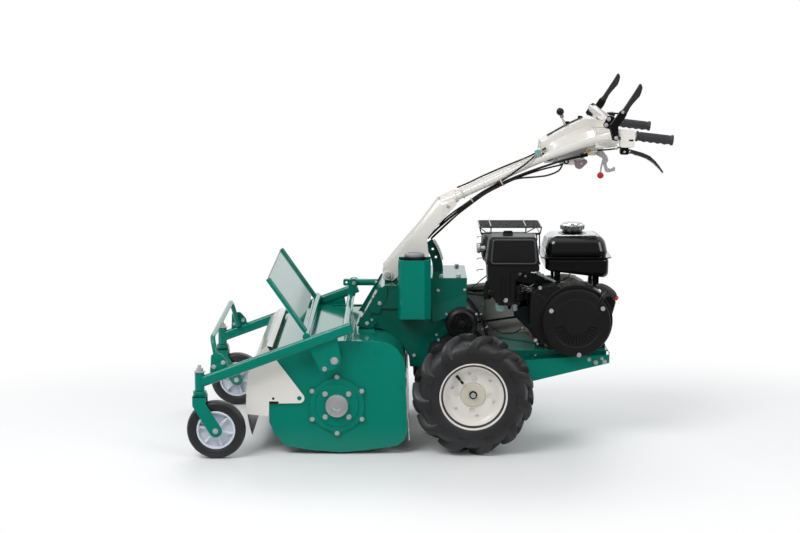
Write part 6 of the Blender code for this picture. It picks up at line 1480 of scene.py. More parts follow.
def makeChassisCables():
    thick = [flowing([(0.137, -0.128, 0.500), (0.150, -0.136, 0.486), (0.178, -0.140, 0.4426), (0.199, -0.140, 0.397),
                      (0.2076, -0.132, 0.3605)], 8),
             flowing([(0.137, -0.118, 0.505), (0.156, -0.126, 0.487), (0.186, -0.132, 0.4426), (0.205, -0.130, 0.397),
                      (0.2130, -0.122, 0.3605)], 8),
             flowing([(0.137, -0.100, 0.517), (0.172, -0.104, 0.512), (0.214, -0.104, 0.508),
                      (0.236, -0.090, 0.500)], 8)]
    wirePiece("driveCables", thick, 0.0033, "softRubber", "chassis")
    thin = [flowing([(0.137, -0.132, 0.496), (0.152, -0.140, 0.479), (0.178, -0.140, 0.4490), (0.223, -0.136, 0.4030),
                     (0.262, -0.130, 0.3790), (0.304, -0.124, 0.3790), (0.3306, -0.120, 0.3948)], 8),
            flowing([(0.133, -0.060, 0.508), (0.168, -0.055, 0.5365), (0.2025, -0.050, 0.5648),
                     (0.240, -0.050, 0.590)], 6)]
    wirePiece("controlCables", thin, 0.0019, "softRubber", "chassis")
    tip = [[(0.3306, -0.120, 0.3948), (0.3350, -0.120, 0.3976)]]
    wirePiece("cableTip", tip, 0.0030, "ivoryEnamel", "chassis")
    red = [flowing([(0.3373, -0.120, 0.3970), (0.3620, -0.124, 0.3690), (0.3873, -0.124, 0.3399),
                    (0.3988, -0.120, 0.3216)], 6)]
    wirePiece("redWire", red, 0.0012, "redPlastic", "chassis")
    wirePiece("wireJoint", [[(0.3850, -0.124, 0.3428), (0.3895, -0.124, 0.3370)]], 0.0035, "ivoryEnamel", "chassis")
    clips = []
    for x, y, z in ((0.178, -0.136, 0.4450), (0.199, -0.135, 0.3990)):
        clips.append([(x - 0.008, y + 0.009, z - 0.004), (x - 0.008, y - 0.007, z - 0.004),
                      (x + 0.011, y - 0.002, z + 0.004), (x + 0.011, y + 0.013, z + 0.004)])
    wirePiece("cableClips", clips, 0.0012, "zincSteel", "chassis", sides=8)


makeFrame()
makeCanister()
makeFan()
makeBase()
makeDrive()
makeChassisCables()
print("chassis done")


# Engine: crankcase, fan housing with the starter, tank, air cleaner, carburettor and muffler
engine = {
    "crank": (0.512, 0.441), "recoilRadius": 0.123, "recoilFace": -0.245, "panDrop": 0.006,
    "ropeEye": (0.6009, 0.5266), "ropeWay": (0.55, 0, 0.835), "seamTank": 0.6500, "tankTop": 0.7245,
    "cap": (0.512, -0.030), "cleaner": (0.201, 0.386, -0.215, -0.082), "seamCleaner": 0.635, "cleanerTop": 0.7300,
    "bolts": ((0.4240, 0.4796), (0.6011, 0.4876), (0.5216, 0.3251)),
}


def pillowShape(low, high, inset, radius, steps=5):
    # a box that narrows upwards, with wide round edges
    shape = blockShape(low, high)
    middle = [(a + b) / 2 for a, b in zip(low, high)]
    for corner in shape.verts:
        if corner.co.z > middle[2]:
            corner.co.x += inset if corner.co.x < middle[0] else -inset
            corner.co.y += inset if corner.co.y < middle[1] else -inset
    bmesh.ops.bevel(shape, geom=shape.edges[:], offset=radius, segments=steps, affect="EDGES", profile=0.5,
                    clamp_overlap=True)
    return shape


def makeBlock():
    softCopy("engineBlock", "engine_block", "chassis", "darkCast", 0.0022, angle=40)
    bolts = []
    for y in (-0.085, 0.0, 0.085):
        bolts.append(((0.6122, y, 0.400), (1, 0, 0), 0.9))
        bolts.append(((0.6122, y, 0.490), (1, 0, 0), 0.9))
    boltPiece("blockBolts", bolts, "chassis")
    plug = turnedShape([(0.0, -0.128), (0.0062, -0.128), (0.0076, -0.124), (0.0076, -0.1202), (0.0, -0.1202)],
                       (0.4184, 0, 0.3345), "Y", 24)
    makePiece("drainPlug", [(plug, "brass")], "chassis", bevel=0.0005)


def makeFanHousing():
    x, z = engine["crank"]
    back, front = -0.127, -0.223
    ring = circleOutline(x, z, 0.1262, 48, -122, 114)
    rest = [(0.4360, 0.5660), (0.4000, 0.5600), (0.3720, 0.5480), (0.3580, 0.5300), (0.3535, 0.5100),
            (0.3535, 0.4180), (0.3600, 0.4040), (0.4200, 0.3480)]
    shell = plateShape(ring + rest, front, back)
    fin = plateShape(roundedOutline([(0.600, 0.545), (0.622, 0.535), (0.650, 0.506), (0.6370, 0.4570), (0.622, 0.420),
                                     (0.590, 0.440)], 0.006, 4), -0.212, -0.190)
    lip = turnedShape([(0.1262, front + 0.004), (0.1262, front - 0.0035), (0.1245, front - 0.0046),
                       (0.1120, front - 0.0046), (0.1120, front + 0.004)], (x, 0, z), "Y", 80)
    step = plateShape(roundedOutline([(0.376, 0.540), (0.364, 0.505), (0.364, 0.400), (0.402, 0.352),
                                      (0.412, 0.385), (0.400, 0.440), (0.412, 0.510)], 0.010, 4),
                      front - 0.0022, front + 0.002)
    makePiece("fanHousing", [(shell, "blackPlastic"), (lip, "blackPlastic"), (step, "blackPlastic"),
                             (fin, "blackPlastic")], "chassis",
              ["fan_housing"], bevel=0.0032, angle=35, segments=3)
    boltPiece("fanHousingBolts", [((0.372, -0.2232, 0.372), (0, -1, 0), 0.75),
                                  ((0.386, -0.2232, 0.556), (0, -1, 0), 0.75)], "chassis")


def ropeLine():
    # where the starter rope leaves its cover, and the way in which it is pulled
    x, z = engine["ropeEye"]
    return Vector((x, engine["recoilFace"] + 0.009, z)), Vector(engine["ropeWay"]).normalized()


def makeRecoil():
    x, z = engine["crank"][0], engine["crank"][1] - engine["panDrop"]
    front = engine["recoilFace"]
    radius = engine["recoilRadius"]
    pan = turnedShape([(0.0, front + 0.0010), (0.0290, front + 0.0010), (0.0310, front + 0.0004),
                       (0.0330, front + 0.0008), (0.0780, front + 0.0008), (0.0830, front + 0.0014),
                       (0.0850, front + 0.0004), (0.0870, front + 0.0014), (0.1010, front + 0.0014),
                       (0.1120, front + 0.0018), (0.1160, front + 0.0030), (0.1180, front + 0.0060),
                       (0.1187, front + 0.0100), (0.1187, front + 0.0165), (0.0, front + 0.0165)],
                      (x, 0, z), "Y", 112)
    cutters = []
    for i in range(15):
        slot = blockShape((0.0420, front - 0.004, -0.0013), (0.0740, front + 0.0040, 0.0013))
        turn = Matrix.Rotation(math.radians(11 * i + 13), 4, "Y")
        cutters.append(moved(slot, Matrix.Translation((x, 0, z)) @ turn))
    pan = carve(pan, cutters)
    parts = [(pan, "satinBlack")]
    for boltX, boltZ in engine["bolts"]:
        lug = turnedShape([(0.0, front - 0.0006), (0.0088, front - 0.0006), (0.0100, front + 0.0014),
                           (0.0100, front + 0.012), (0.0, front + 0.012)], (boltX, 0, boltZ), "Y", 28)
        parts.append((lug, "satinBlack"))
    makePiece("starterCover", parts, "chassis", ["recoil_cover"], bevel=0.0006, angle=32)
    boltPiece("starterBolts", [((boltX, front - 0.0010, boltZ), (0, -1, 0), 0.95) for boltX, boltZ in engine["bolts"]],
              "chassis")
    eye, way = ropeLine()
    guide = tubeShape([eye - way * 0.034, eye - way * 0.001], 0.0085, 24)
    makePiece("ropeGuide", [(guide, "blackPlastic")], "chassis", bevel=0.0012)


def makeStarterGrip():
    eye, way = ropeLine()
    eye += way * 0.0006
    across = Vector((way.z, 0, -way.x))
    spine, sizes = [], []
    for i in range(13):
        t = i / 12 * 2 - 1
        spine.append(eye + way * (0.0300 - 0.0085 * t * t) + across * 0.042 * t)
        sizes.append(0.0122 * math.sqrt(max(1 - abs(t) ** 6, 0.12)))
    shape = bmesh.new()
    rings = []
    for point, size in zip(spine, sizes):
        ring = []
        for k in range(20):
            angle = 2 * math.pi * k / 20
            side = Vector((0, 1, 0)) * math.cos(angle) * size * 0.82 + way * math.sin(angle) * size
            ring.append(shape.verts.new(point + side))
        rings.append(ring)
    for ring, following in zip(rings, rings[1:]):
        for k in range(20):
            m = (k + 1) % 20
            shape.faces.new((ring[k], ring[m], following[m], following[k]))
    shape.faces.new(rings[0])
    shape.faces.new(rings[-1])
    bmesh.ops.recalc_face_normals(shape, faces=shape.faces)
    neck = tubeShape([eye + way * 0.0002, eye + way * 0.022], 0.0092, 20, endRadius=0.0075)
    web = [eye - across * 0.0060 + way * 0.006, eye + across * 0.0060 + way * 0.006,
           eye + across * 0.0300 + way * 0.0230, eye - across * 0.0300 + way * 0.0230]
    web = plateShape([(p.x, p.z) for p in web], eye.y - 0.0045, eye.y + 0.0045)
    rope = tubeShape([eye - way * 0.018, eye + way * 0.006], 0.0024, 12)
    tip = turnedShape([(0.0, 0.0), (0.0080, 0.0), (0.0092, 0.0020), (0.0088, 0.0070), (0.0064, 0.0098), (0.0, 0.0104)],
                      (0, 0, 0), "Z", 24)
    turn = Vector((0, 0, 1)).rotation_difference(across).to_matrix().to_4x4()
    tip = moved(tip, Matrix.Translation(spine[-1] - across * 0.0052) @ turn)
    makePiece("starterGrip", [(shape, "darkGreyPlastic"), (neck, "darkGreyPlastic"), (web, "darkGreyPlastic"),
                              (rope, "softRubber"), (tip, "redPlastic")], "recoil_grip", ["recoil_grip"], angle=50)


def makeTank():
    seam, top = engine["seamTank"], engine["tankTop"]
    upper = pillowShape((0.406, -0.150, seam - 0.006), (0.632, 0.110, top), 0.017, 0.030, 8)
    for corner in upper.verts:
        if corner.co.z > seam + 0.02 and corner.co.y > -0.05:
            corner.co.z -= 0.012 * min((corner.co.y + 0.05) / 0.14, 1.0)
    lower = pillowShape((0.410, -0.148, 0.577), (0.630, 0.108, seam + 0.004), -0.001, 0.020, 6)
    for corner in lower.verts:
        if corner.co.z < 0.615 and corner.co.x < 0.50:
            corner.co.z += 0.024 * (0.50 - corner.co.x) / 0.09 * (0.615 - corner.co.z) / 0.032
    flange = plateShape(roundedOutline([(0.394, -0.160), (0.640, -0.160), (0.640, 0.120), (0.394, 0.120)], 0.030, 8),
                        seam - 0.0022, seam + 0.0022, "XY")
    x, y = engine["cap"]
    neck = turnedShape([(0.0, top - 0.012), (0.052, top - 0.012), (0.050, top - 0.002), (0.040, top + 0.0015),
                        (0.0350, top + 0.0035), (0.0345, top + 0.0090), (0.0, top + 0.0090)], (x, y, 0), "Z", 64)
    parts = [(upper, "tankEnamel"), (lower, "tankEnamel"), (flange, "tankEnamel"), (neck, "tankEnamel")]
    for legX in (0.455, 0.590):
        for legY in (-0.09, 0.06):
            parts.append((blockShape((legX - 0.011, legY - 0.011, 0.5205), (legX + 0.011, legY + 0.011, 0.612)),
                          "blackEnamel"))
    makePiece("fuelTank", parts, "chassis", ["fuel_tank"], bevel=0.0009, angle=40)
    boltPiece("tankScrews", [((legX, -0.1545, seam + 0.0024), (0, 0, 1), 0.55) for legX in (0.425, 0.600)], "chassis",
              finishName="blackEnamel")


def makeCap():
    x, y = engine["cap"]
    base = engine["tankTop"] + 0.0094
    body = turnedShape([(0.0, base), (0.0395, base), (0.0405, base + 0.0012), (0.0405, base + 0.0150),
                        (0.0385, base + 0.0180), (0.0340, base + 0.0200), (0.0330, base + 0.0228),
                        (0.0290, base + 0.0238), (0.0, base + 0.0240)], (x, y, 0), "Z", 72)
    makePiece("fuelCap", [(body, "chromeSteel")], "fuel_cap", ["fuel_cap"], angle=32)
    flute = moved(turnedShape([(0.0, 0.0), (0.0036, 0.0), (0.0040, 0.0008), (0.0040, 0.0135), (0.0030, 0.0150),
                               (0.0, 0.0150)], (0, 0, 0), "Z", 12), Matrix.Translation((x + 0.0392, y, base + 0.0012)))
    ringPiece("capFlutes", flute, "chromeSteel", "fuel_cap", 18, (x, y, base), (0, 0, 1))


def makeAirCleaner():
    left, right, front, back = engine["cleaner"]
    seam, top = engine["seamCleaner"], engine["cleanerTop"]
    cover = pillowShape((left, front, seam + 0.0004), (right, back, top), 0.012, 0.013, 6)
    slope = 0.012 / (top - seam)
    bead = []
    for x, z in roundedOutline([(left + 0.0170, seam + 0.0045), (right - 0.0125, seam + 0.0045),
                                (right - 0.0190, top - 0.0100), (left + 0.0235, top - 0.0100)], 0.010, 6):
        bead.append((x, front + (z - seam) * slope - 0.0002, z))
    # the bead takes a lighter plastic, a painted highlight along the cover's edge
    bead = tubeShape(bead, 0.0030, 12, closed=True)
    rim = roundedOutline([(left - 0.0020, front - 0.0020), (right + 0.0020, front - 0.0020),
                          (right + 0.0020, back + 0.0020), (left - 0.0020, back + 0.0020)], 0.014, 6)
    band = plateShape(rim, seam + 0.0004, seam + 0.0062, "XY")
    knobX, knobY = 0.278, (front + back) / 2
    stem = turnedShape([(0.0, top - 0.006), (0.0185, top - 0.006), (0.0185, top + 0.003), (0.0160, top + 0.006),
                        (0.0, top + 0.006)], (knobX, knobY, 0), "Z", 32)
    wing = plateShape(roundedOutline([(knobX - 0.0180, top + 0.004), (knobX + 0.0180, top + 0.004),
                                      (knobX + 0.0150, top + 0.0150), (knobX - 0.0150, top + 0.0150)], 0.004, 4),
                      knobY - 0.0042, knobY + 0.0042)
    makePiece("cleanerCover", [(cover, "blackPlastic"), (bead, "cleanerEdgeHighlight"), (band, "blackPlastic"),
                               (stem, "blackPlastic"), (wing, "blackPlastic")], "chassis", ["air_cleaner_cover"],
              bevel=0.0010, angle=35)
    lower = roundedOutline([(left + 0.003, seam), (right - 0.002, seam), (0.3840, 0.6120), (0.3060, 0.6060),
                            (0.2980, 0.502), (0.2360, 0.500), (0.2080, 0.560)], 0.007, 4)
    case = plateShape(lower, front + 0.003, back)
    rib = plateShape(roundedOutline([(0.2560, 0.590), (0.2640, 0.590), (0.2640, 0.512), (0.2560, 0.512)], 0.002, 3),
                     front - 0.0015, front + 0.006)
    arm = plateShape(roundedOutline([(0.2860, 0.606), (0.3130, 0.606), (0.3130, 0.590), (0.2980, 0.582),
                                     (0.2960, 0.520), (0.2860, 0.520)], 0.004, 4), front - 0.0035, front + 0.006)
    boss = turnedShape([(0.0, front - 0.0040), (0.0085, front - 0.0040), (0.0100, front - 0.0024),
                        (0.0100, front + 0.006), (0.0, front + 0.006)], (0.2162, 0, 0.5380), "Y", 28)
    spout = tubeShape([(0.214, -0.150, 0.566), (0.205, -0.150, 0.530), (0.209, -0.150, 0.505)], 0.0125, 24)
    foot = blockShape((0.276, back - 0.010, 0.520), (0.3175, -0.0783, 0.580))
    makePiece("cleanerBase", [(case, "blackPlastic"), (rib, "blackPlastic"), (arm, "blackPlastic"),
                              (boss, "blackPlastic"), (spout, "blackPlastic"), (foot, "blackPlastic")],
              "chassis", ["air_cleaner_base"], bevel=0.0016, angle=38)
    boltPiece("cleanerBolts", [((0.2684, front - 0.0002 + 0.003, 0.5110), (0, -1, 0), 0.95)], "chassis")


def makeCarburettor():
    face = -0.0783
    bodyX, bodyZ = 0.350, 0.552
    barrel = tubeShape([(bodyX, -0.122, bodyZ), (bodyX, face - 0.003, bodyZ)], 0.022, 32)
    throat = turnedShape([(0.0, -0.1255), (0.0150, -0.1255), (0.0150, -0.1215), (0.0, -0.1215)], (bodyX, 0, bodyZ),
                         "Y", 28)
    flange = blockShape((bodyX - 0.030, face - 0.006, 0.532), (bodyX + 0.030, face, 0.572))
    bowl = turnedShape([(0.0, 0.496), (0.0150, 0.496), (0.0195, 0.501), (0.0200, 0.520), (0.0230, 0.521),
                        (0.0230, 0.526), (0.0, 0.526)], (bodyX, -0.100, 0), "Z", 36)
    second = turnedShape([(0.0, 0.4600), (0.0120, 0.4600), (0.0165, 0.4640), (0.0175, 0.4840), (0.0, 0.4860)],
                         (0.2540, -0.150, 0), "Z", 32)
    third = turnedShape([(0.0, 0.4630), (0.0080, 0.4630), (0.0110, 0.4670), (0.0110, 0.4860), (0.0, 0.4880)],
                        (0.3034, -0.150, 0), "Z", 28)
    bridge = blockShape((0.246, -0.156, 0.482), (0.322, -0.120, 0.496))
    riser = blockShape((0.312, -0.126, 0.492), (0.334, -0.108, 0.540))
    screw = tubeShape([(0.2960, -0.1440, 0.4480), (0.2960, -0.1440, 0.4600)], 0.0045, 16)
    stack = turnedShape([(0.0, 0.4960), (0.0150, 0.4960), (0.0150, 0.5020), (0.0190, 0.5030), (0.0190, 0.5070),
                         (0.0140, 0.5080), (0.0140, 0.5240), (0.0200, 0.5250), (0.0200, 0.5300), (0.0150, 0.5310),
                         (0.0150, 0.5470), (0.0205, 0.5480), (0.0205, 0.5530), (0.0120, 0.5560), (0.0, 0.5560)],
                        (0.3120, -0.1500, 0), "Z", 28)
    # the dark engine block side below the carburettor, its teal tint a painted reflection
    sump = plateShape(roundedOutline([(0.2990, 0.4560), (0.3010, 0.4430), (0.3450, 0.4000), (0.3900, 0.3500),
                                      (0.4300, 0.3500), (0.4300, 0.4740), (0.3300, 0.4740)], 0.006, 4), -0.126, -0.060)
    makePiece("carburettorBody", [(barrel, "castMetal"), (throat, "darkCast"), (flange, "castMetal"),
                                  (bowl, "castMetal"), (second, "tealZinc"), (third, "zincSteel"),
                                  (bridge, "castMetal"), (riser, "castMetal"), (screw, "zincSteel"),
                                  (stack, "darkCast"), (sump, "darkWithTealReflection")],
              "chassis", ["carburettor"], bevel=0.0012, angle=38)
    plate = plateShape(roundedOutline([(0.306, 0.578), (0.318, 0.592), (0.352, 0.598), (0.392, 0.594), (0.434, 0.566),
                                       (0.434, 0.556), (0.356, 0.560), (0.310, 0.566)], 0.004, 4), -0.152, -0.130)
    bracket = plateShape(roundedOutline([(0.352, 0.558), (0.436, 0.556), (0.442, 0.500), (0.426, 0.470), (0.362, 0.470),
                                         (0.352, 0.500)], 0.006, 4), -0.1450, -0.1410)
    makePiece("controlPlate", [(plate, "blackEnamel"), (bracket, "blackEnamel")], "chassis", bevel=0.0010)
    lever = tubeShape([(0.380, -0.162, 0.5975), (0.412, -0.162, 0.582), (0.443, -0.162, 0.5670)], 0.0055, 14,
                      endRadius=0.0042)
    pad = plateShape(roundedOutline([(0.374, 0.606), (0.390, 0.602), (0.398, 0.590), (0.384, 0.592)], 0.004, 4),
                     -0.162, -0.152)
    knob = turnedShape([(0.0, -0.160), (0.0075, -0.160), (0.0085, -0.158), (0.0085, -0.150), (0.0, -0.150)],
                       (0.3170, 0, 0.5960), "Y", 24)
    makePiece("chokeLever", [(lever, "paleGrey"), (pad, "paleGrey"), (knob, "zincSteel")], "chassis",
              bevel=0.0008)
    boltPiece("controlScrews", [((0.368, -0.1452, 0.486), (0, -1, 0), 0.6), ((0.426, -0.1452, 0.486), (0, -1, 0), 0.6),
                                ((0.340, -0.1522, 0.5860), (0, -1, 0), 0.5),
                                ((0.410, -0.1522, 0.5760), (0, -1, 0), 0.5),
                                ((0.3060, -0.1302, 0.4760), (0, -1, 0), 0.55)], "chassis")
    coil = []
    for i in range(90):
        turn = i / 90 * 2 * math.pi * 9
        coil.append((0.322 + 0.046 * i / 90, -0.150 + 0.0042 * math.sin(turn), 0.5420 + 0.0042 * math.cos(turn)))
    wirePiece("governorSpring", [coil], 0.0007, "zincSteel", "chassis", sides=6)
    rods = [[(0.318, -0.154, 0.532), (0.372, -0.154, 0.538), (0.414, -0.154, 0.556)],
            flowing([(0.300, -0.150, 0.545), (0.322, -0.158, 0.556), (0.352, -0.156, 0.549),
                     (0.372, -0.150, 0.560)], 5)]
    wirePiece("controlRods", rods, 0.0011, "zincSteel", "chassis", sides=8)
    wires = [flowing([(0.348, -0.150, 0.528), (0.372, -0.160, 0.5385), (0.400, -0.158, 0.5480),
                      (0.428, -0.150, 0.5500)], 6)]
    wirePiece("yellowWire", wires, 0.0013, "yellowPlastic", "chassis", sides=8)
    dark = [flowing([(0.338, -0.140, 0.590), (0.330, -0.160, 0.560), (0.344, -0.158, 0.520),
                     (0.352, -0.150, 0.470)], 6),
            flowing([(0.430, -0.140, 0.580), (0.452, -0.150, 0.566), (0.486, -0.140, 0.578),
                     (0.500, -0.110, 0.590)], 6)]
    wirePiece("engineWires", dark, 0.0021, "softRubber", "chassis", sides=10)


def makeMuffler():
    shell = pillowShape((0.196, 0.014, 0.606), (0.379, 0.163, 0.700), 0.002, 0.020, 5)
    seam = plateShape(roundedOutline([(0.190, 0.008), (0.385, 0.008), (0.385, 0.169), (0.190, 0.169)], 0.018, 5),
                      0.6505, 0.6565, "XY")
    pipe = tubeShape([(0.206, 0.060, 0.654), (0.190, 0.060, 0.654), (0.178, 0.060, 0.654)], 0.016, 28)
    bore = turnedShape([(0.0, 0.1776), (0.0115, 0.1776), (0.0115, 0.186), (0.0, 0.186)], (0, 0.060, 0.654), "X", 24)
    elbow = blockShape((0.270, 0.0783, 0.520), (0.310, 0.110, 0.612))
    makePiece("mufflerBody", [(shell, "castMetal"), (seam, "castMetal"), (pipe, "castMetal"), (bore, "blackEnamel"),
                              (elbow, "darkCast")], "chassis", ["muffler"], bevel=0.0016, angle=38)
    wire, upper, lower = 0.0023, 0.7355, 0.7135
    left, right, front, back = 0.186, 0.406, 0.0, 0.178
    routes = []
    for z, swell in ((upper, 0.0), (lower, -0.006)):
        corners = [(left - swell, front - swell), (right + swell, front - swell), (right + swell, back + swell),
                   (left - swell, back + swell)]
        loop = [Vector((x, y, z)) for x, y in corners]
        middle = (loop[0] + loop[1]) / 2
        routes.append(roundBend([middle] + loop[1:] + [loop[0], middle], 0.014, 5))
    for i in range(5):
        y = front + (back - front) * (i + 1) / 6
        routes.append([(left, y, upper), (right, y, upper)])
    for x in (0.226, 0.350):
        routes.append(roundBend([(x, front + 0.004, 0.7125), (x, front - 0.003, 0.7395),
                                 (x, back + 0.003, 0.7395), (x, back - 0.004, 0.7125)], 0.006, 4))
    for x, y in ((left, front), (right, front), (right, back), (left, back)):
        foot = (0.212 if x < 0.3 else 0.366, 0.038 if y < 0.09 else 0.140, 0.7003)
        routes.append([(x, y, 0.7365), (x + (0.006 if x < 0.3 else -0.006), y, 0.7115), foot])
    routes.append([(0.398, 0.004, lower), (0.4000, 0.004, 0.6700), (0.3920, 0.004, 0.6100)])
    routes.append([(0.388, 0.004, lower), (0.3900, 0.004, 0.6900), (0.3840, 0.030, 0.6700)])
    wirePiece("mufflerGuard", routes, wire, "blackEnamel", "chassis", sides=12, replaces=["muffler_guard"])
    hooks = []
    for z in (0.7040, 0.6255, 0.5841):
        hooks.append(flowing([(0.200, 0.006, z), (0.186, 0.0, z), (0.1790, 0.0, z - 0.001),
                              (0.1772, 0.0, z - 0.006)], 5))
    wirePiece("guardHooks", hooks, 0.0016, "zincSteel", "chassis", sides=10)
    knob = turnedShape([(0.0, 0.1765), (0.0140, 0.1765), (0.0165, 0.1790), (0.0165, 0.1880), (0.0090, 0.1900),
                        (0.0090, 0.2060), (0.0, 0.2060)], (0, 0.0, 0.660), "X", 28)
    makePiece("oilFillerKnob", [(knob, "zincSteel")], "chassis", bevel=0.0008)


makeBlock()
makeFanHousing()
makeRecoil()
makeStarterGrip()
makeTank()
makeCap()
makeAirCleaner()
makeCarburettor()
makeMuffler()
print("engine done")


# Handle: column, tubes, head, console, levers, grips and cables
handle = {
    "pivot": (-0.139, 0.573), "columnHalf": 0.060, "tube": 0.015, "core": 0.0115, "gripHalf": 0.29,
    "route": ((0.062, 0.034, 0.8325), (0.400, 0.062, 0.990), (0.555, 0.150, 1.056), (0.612, 0.262, 1.080),
              (0.667, 0.290, 1.090), (0.697, 0.290, 1.0865), (0.822, 0.290, 1.0715)),
    "shaft": (0.607, 1.138), "leverPivot": (0.627, 1.082), "leverY": 0.318,
    "gearFoot": (0.500, 0.0, 1.0545), "gearKnob": (0.466, 0.0, 1.146),
    "brake": (0.658, 1.034), "hook": (0.594, 1.012), "hookY": -0.085, "ball": (0.6020, 0.9305), "throttleX": 0.678,
    "throttleZ": 1.0865,
}


def ballShape(centre, radius, squash=1.0, rows=20):
    # turned, since Blender's own sphere lists its corners in another order each run
    turns = [math.pi * i / rows for i in range(rows + 1)]
    profile = [(radius * math.sin(turn), radius * squash * math.cos(turn)) for turn in turns]
    return turnedShape(profile, centre, "Z", 32)


def handleRoute(side):
    return [Vector((x, side * y, z)) for x, y, z in handle["route"]]


def sheetBetween(first, second, thick):
    # thin sheet between two lines of points
    shape = bmesh.new()
    layers = []
    for drop in (0.0, thick):
        rows = []
        for line in (first, second):
            rows.append([shape.verts.new((x, y, z - drop)) for x, y, z in line])
        layers.append(rows)
    top, low = layers
    count = len(first)
    for i in range(count - 1):
        shape.faces.new((top[0][i], top[0][i + 1], top[1][i + 1], top[1][i]))
        shape.faces.new((low[0][i], low[1][i], low[1][i + 1], low[0][i + 1]))
        for k in (0, 1):
            shape.faces.new((top[k][i], low[k][i], low[k][i + 1], top[k][i + 1]))
    for i in (0, count - 1):
        shape.faces.new((top[0][i], top[1][i], low[1][i], low[0][i]))
    bmesh.ops.recalc_face_normals(shape, faces=shape.faces)
    return shape


def columnShell():
    # folded sheet: a front face, two sloping facets and two sides, open behind
    front = [(-0.158, 0.560, 0.0598), (-0.158, 0.596, 0.0598), (-0.0980, 0.6700, 0.0570), (-0.0270, 0.7530, 0.0500),
             (0.0350, 0.8370, 0.0440), (0.0850, 0.8570, 0.0440)]
    fold = [(-0.152, 0.560), (-0.146, 0.592), (-0.0890, 0.6630), (-0.0150, 0.7440), (0.0530, 0.8230), (0.0960, 0.8420)]
    rear = [(-0.125, 0.552), (-0.060, 0.600), (0.006, 0.629), (-0.002, 0.703), (0.049, 0.767), (0.103, 0.825)]
    half, thick = handle["columnHalf"], 0.0030
    shape = bmesh.new()
    skins = []
    for depth in (0.0, thick):
        lines = []
        for side in (-1, 1):
            lines.append([(x + depth, side * (y - depth), z - depth * 0.5) for x, z, y in front])
            lines.append([(x, side * (half - depth), z) for x, z in fold])
            lines.append([(x, side * (half - depth), z) for x, z in rear])
        order = [lines[2], lines[1], lines[0], lines[3], lines[4], lines[5]]
        skins.append([[shape.verts.new(point) for point in line] for line in order])
    outer, inner = skins
    last = len(front) - 1
    for i in range(last):
        for a, b in zip(range(5), range(1, 6)):
            shape.faces.new((outer[a][i], outer[b][i], outer[b][i + 1], outer[a][i + 1]))
            shape.faces.new((inner[a][i], inner[a][i + 1], inner[b][i + 1], inner[b][i]))
        for k in (0, 5):
            shape.faces.new((outer[k][i], outer[k][i + 1], inner[k][i + 1], inner[k][i]))
    for i in (0, last):
        for a, b in zip(range(5), range(1, 6)):
            shape.faces.new((outer[a][i], inner[a][i], inner[b][i], outer[b][i]))
    bmesh.ops.recalc_face_normals(shape, faces=shape.faces)
    return shape


def makeColumn():
    parts = [(columnShell(), "ivoryEnamel")]
    for side in (-1, 1):
        start, bend = handleRoute(side)[:2]
        along = (bend - start).normalized()
        parts.append((tubeShape([start - along * 0.012, start + along * 0.046], 0.0205, 32), "ivoryEnamel"))
        boss = turnedShape([(0.0105, side * 0.0560), (0.0170, side * 0.0560), (0.0170, side * 0.0640),
                            (0.0160, side * 0.0660), (0.0105, side * 0.0660)],
                           (handle["pivot"][0], 0, handle["pivot"][1]), "Y", 36)
        parts.append((boss, "ivoryEnamel"))
    x, z = handle["pivot"]
    parts.append((tubeShape([(x, -0.0670, z), (x, 0.0670, z)], 0.0100, 24), "zincSteel"))
    end = plateShape([(0.060, 0.800), (0.103, 0.825), (0.085, 0.857), (0.035, 0.837)], -0.0440, 0.0440)
    parts.append((end, "ivoryEnamel"))
    makePiece("columnBody", parts, "handle", ["handle_column"], bevel=0.0012, angle=28)
    x, z = handle["pivot"]
    bolts = []
    for side in (-1, 1):
        bolts.append(((x, side * 0.0662, z), (0, side, 0), 1.1))
        bolts.append(((0.0721, side * 0.0602, 0.8180), (0, side, 0), 0.7))
    boltPiece("columnBolts", bolts, "handle")


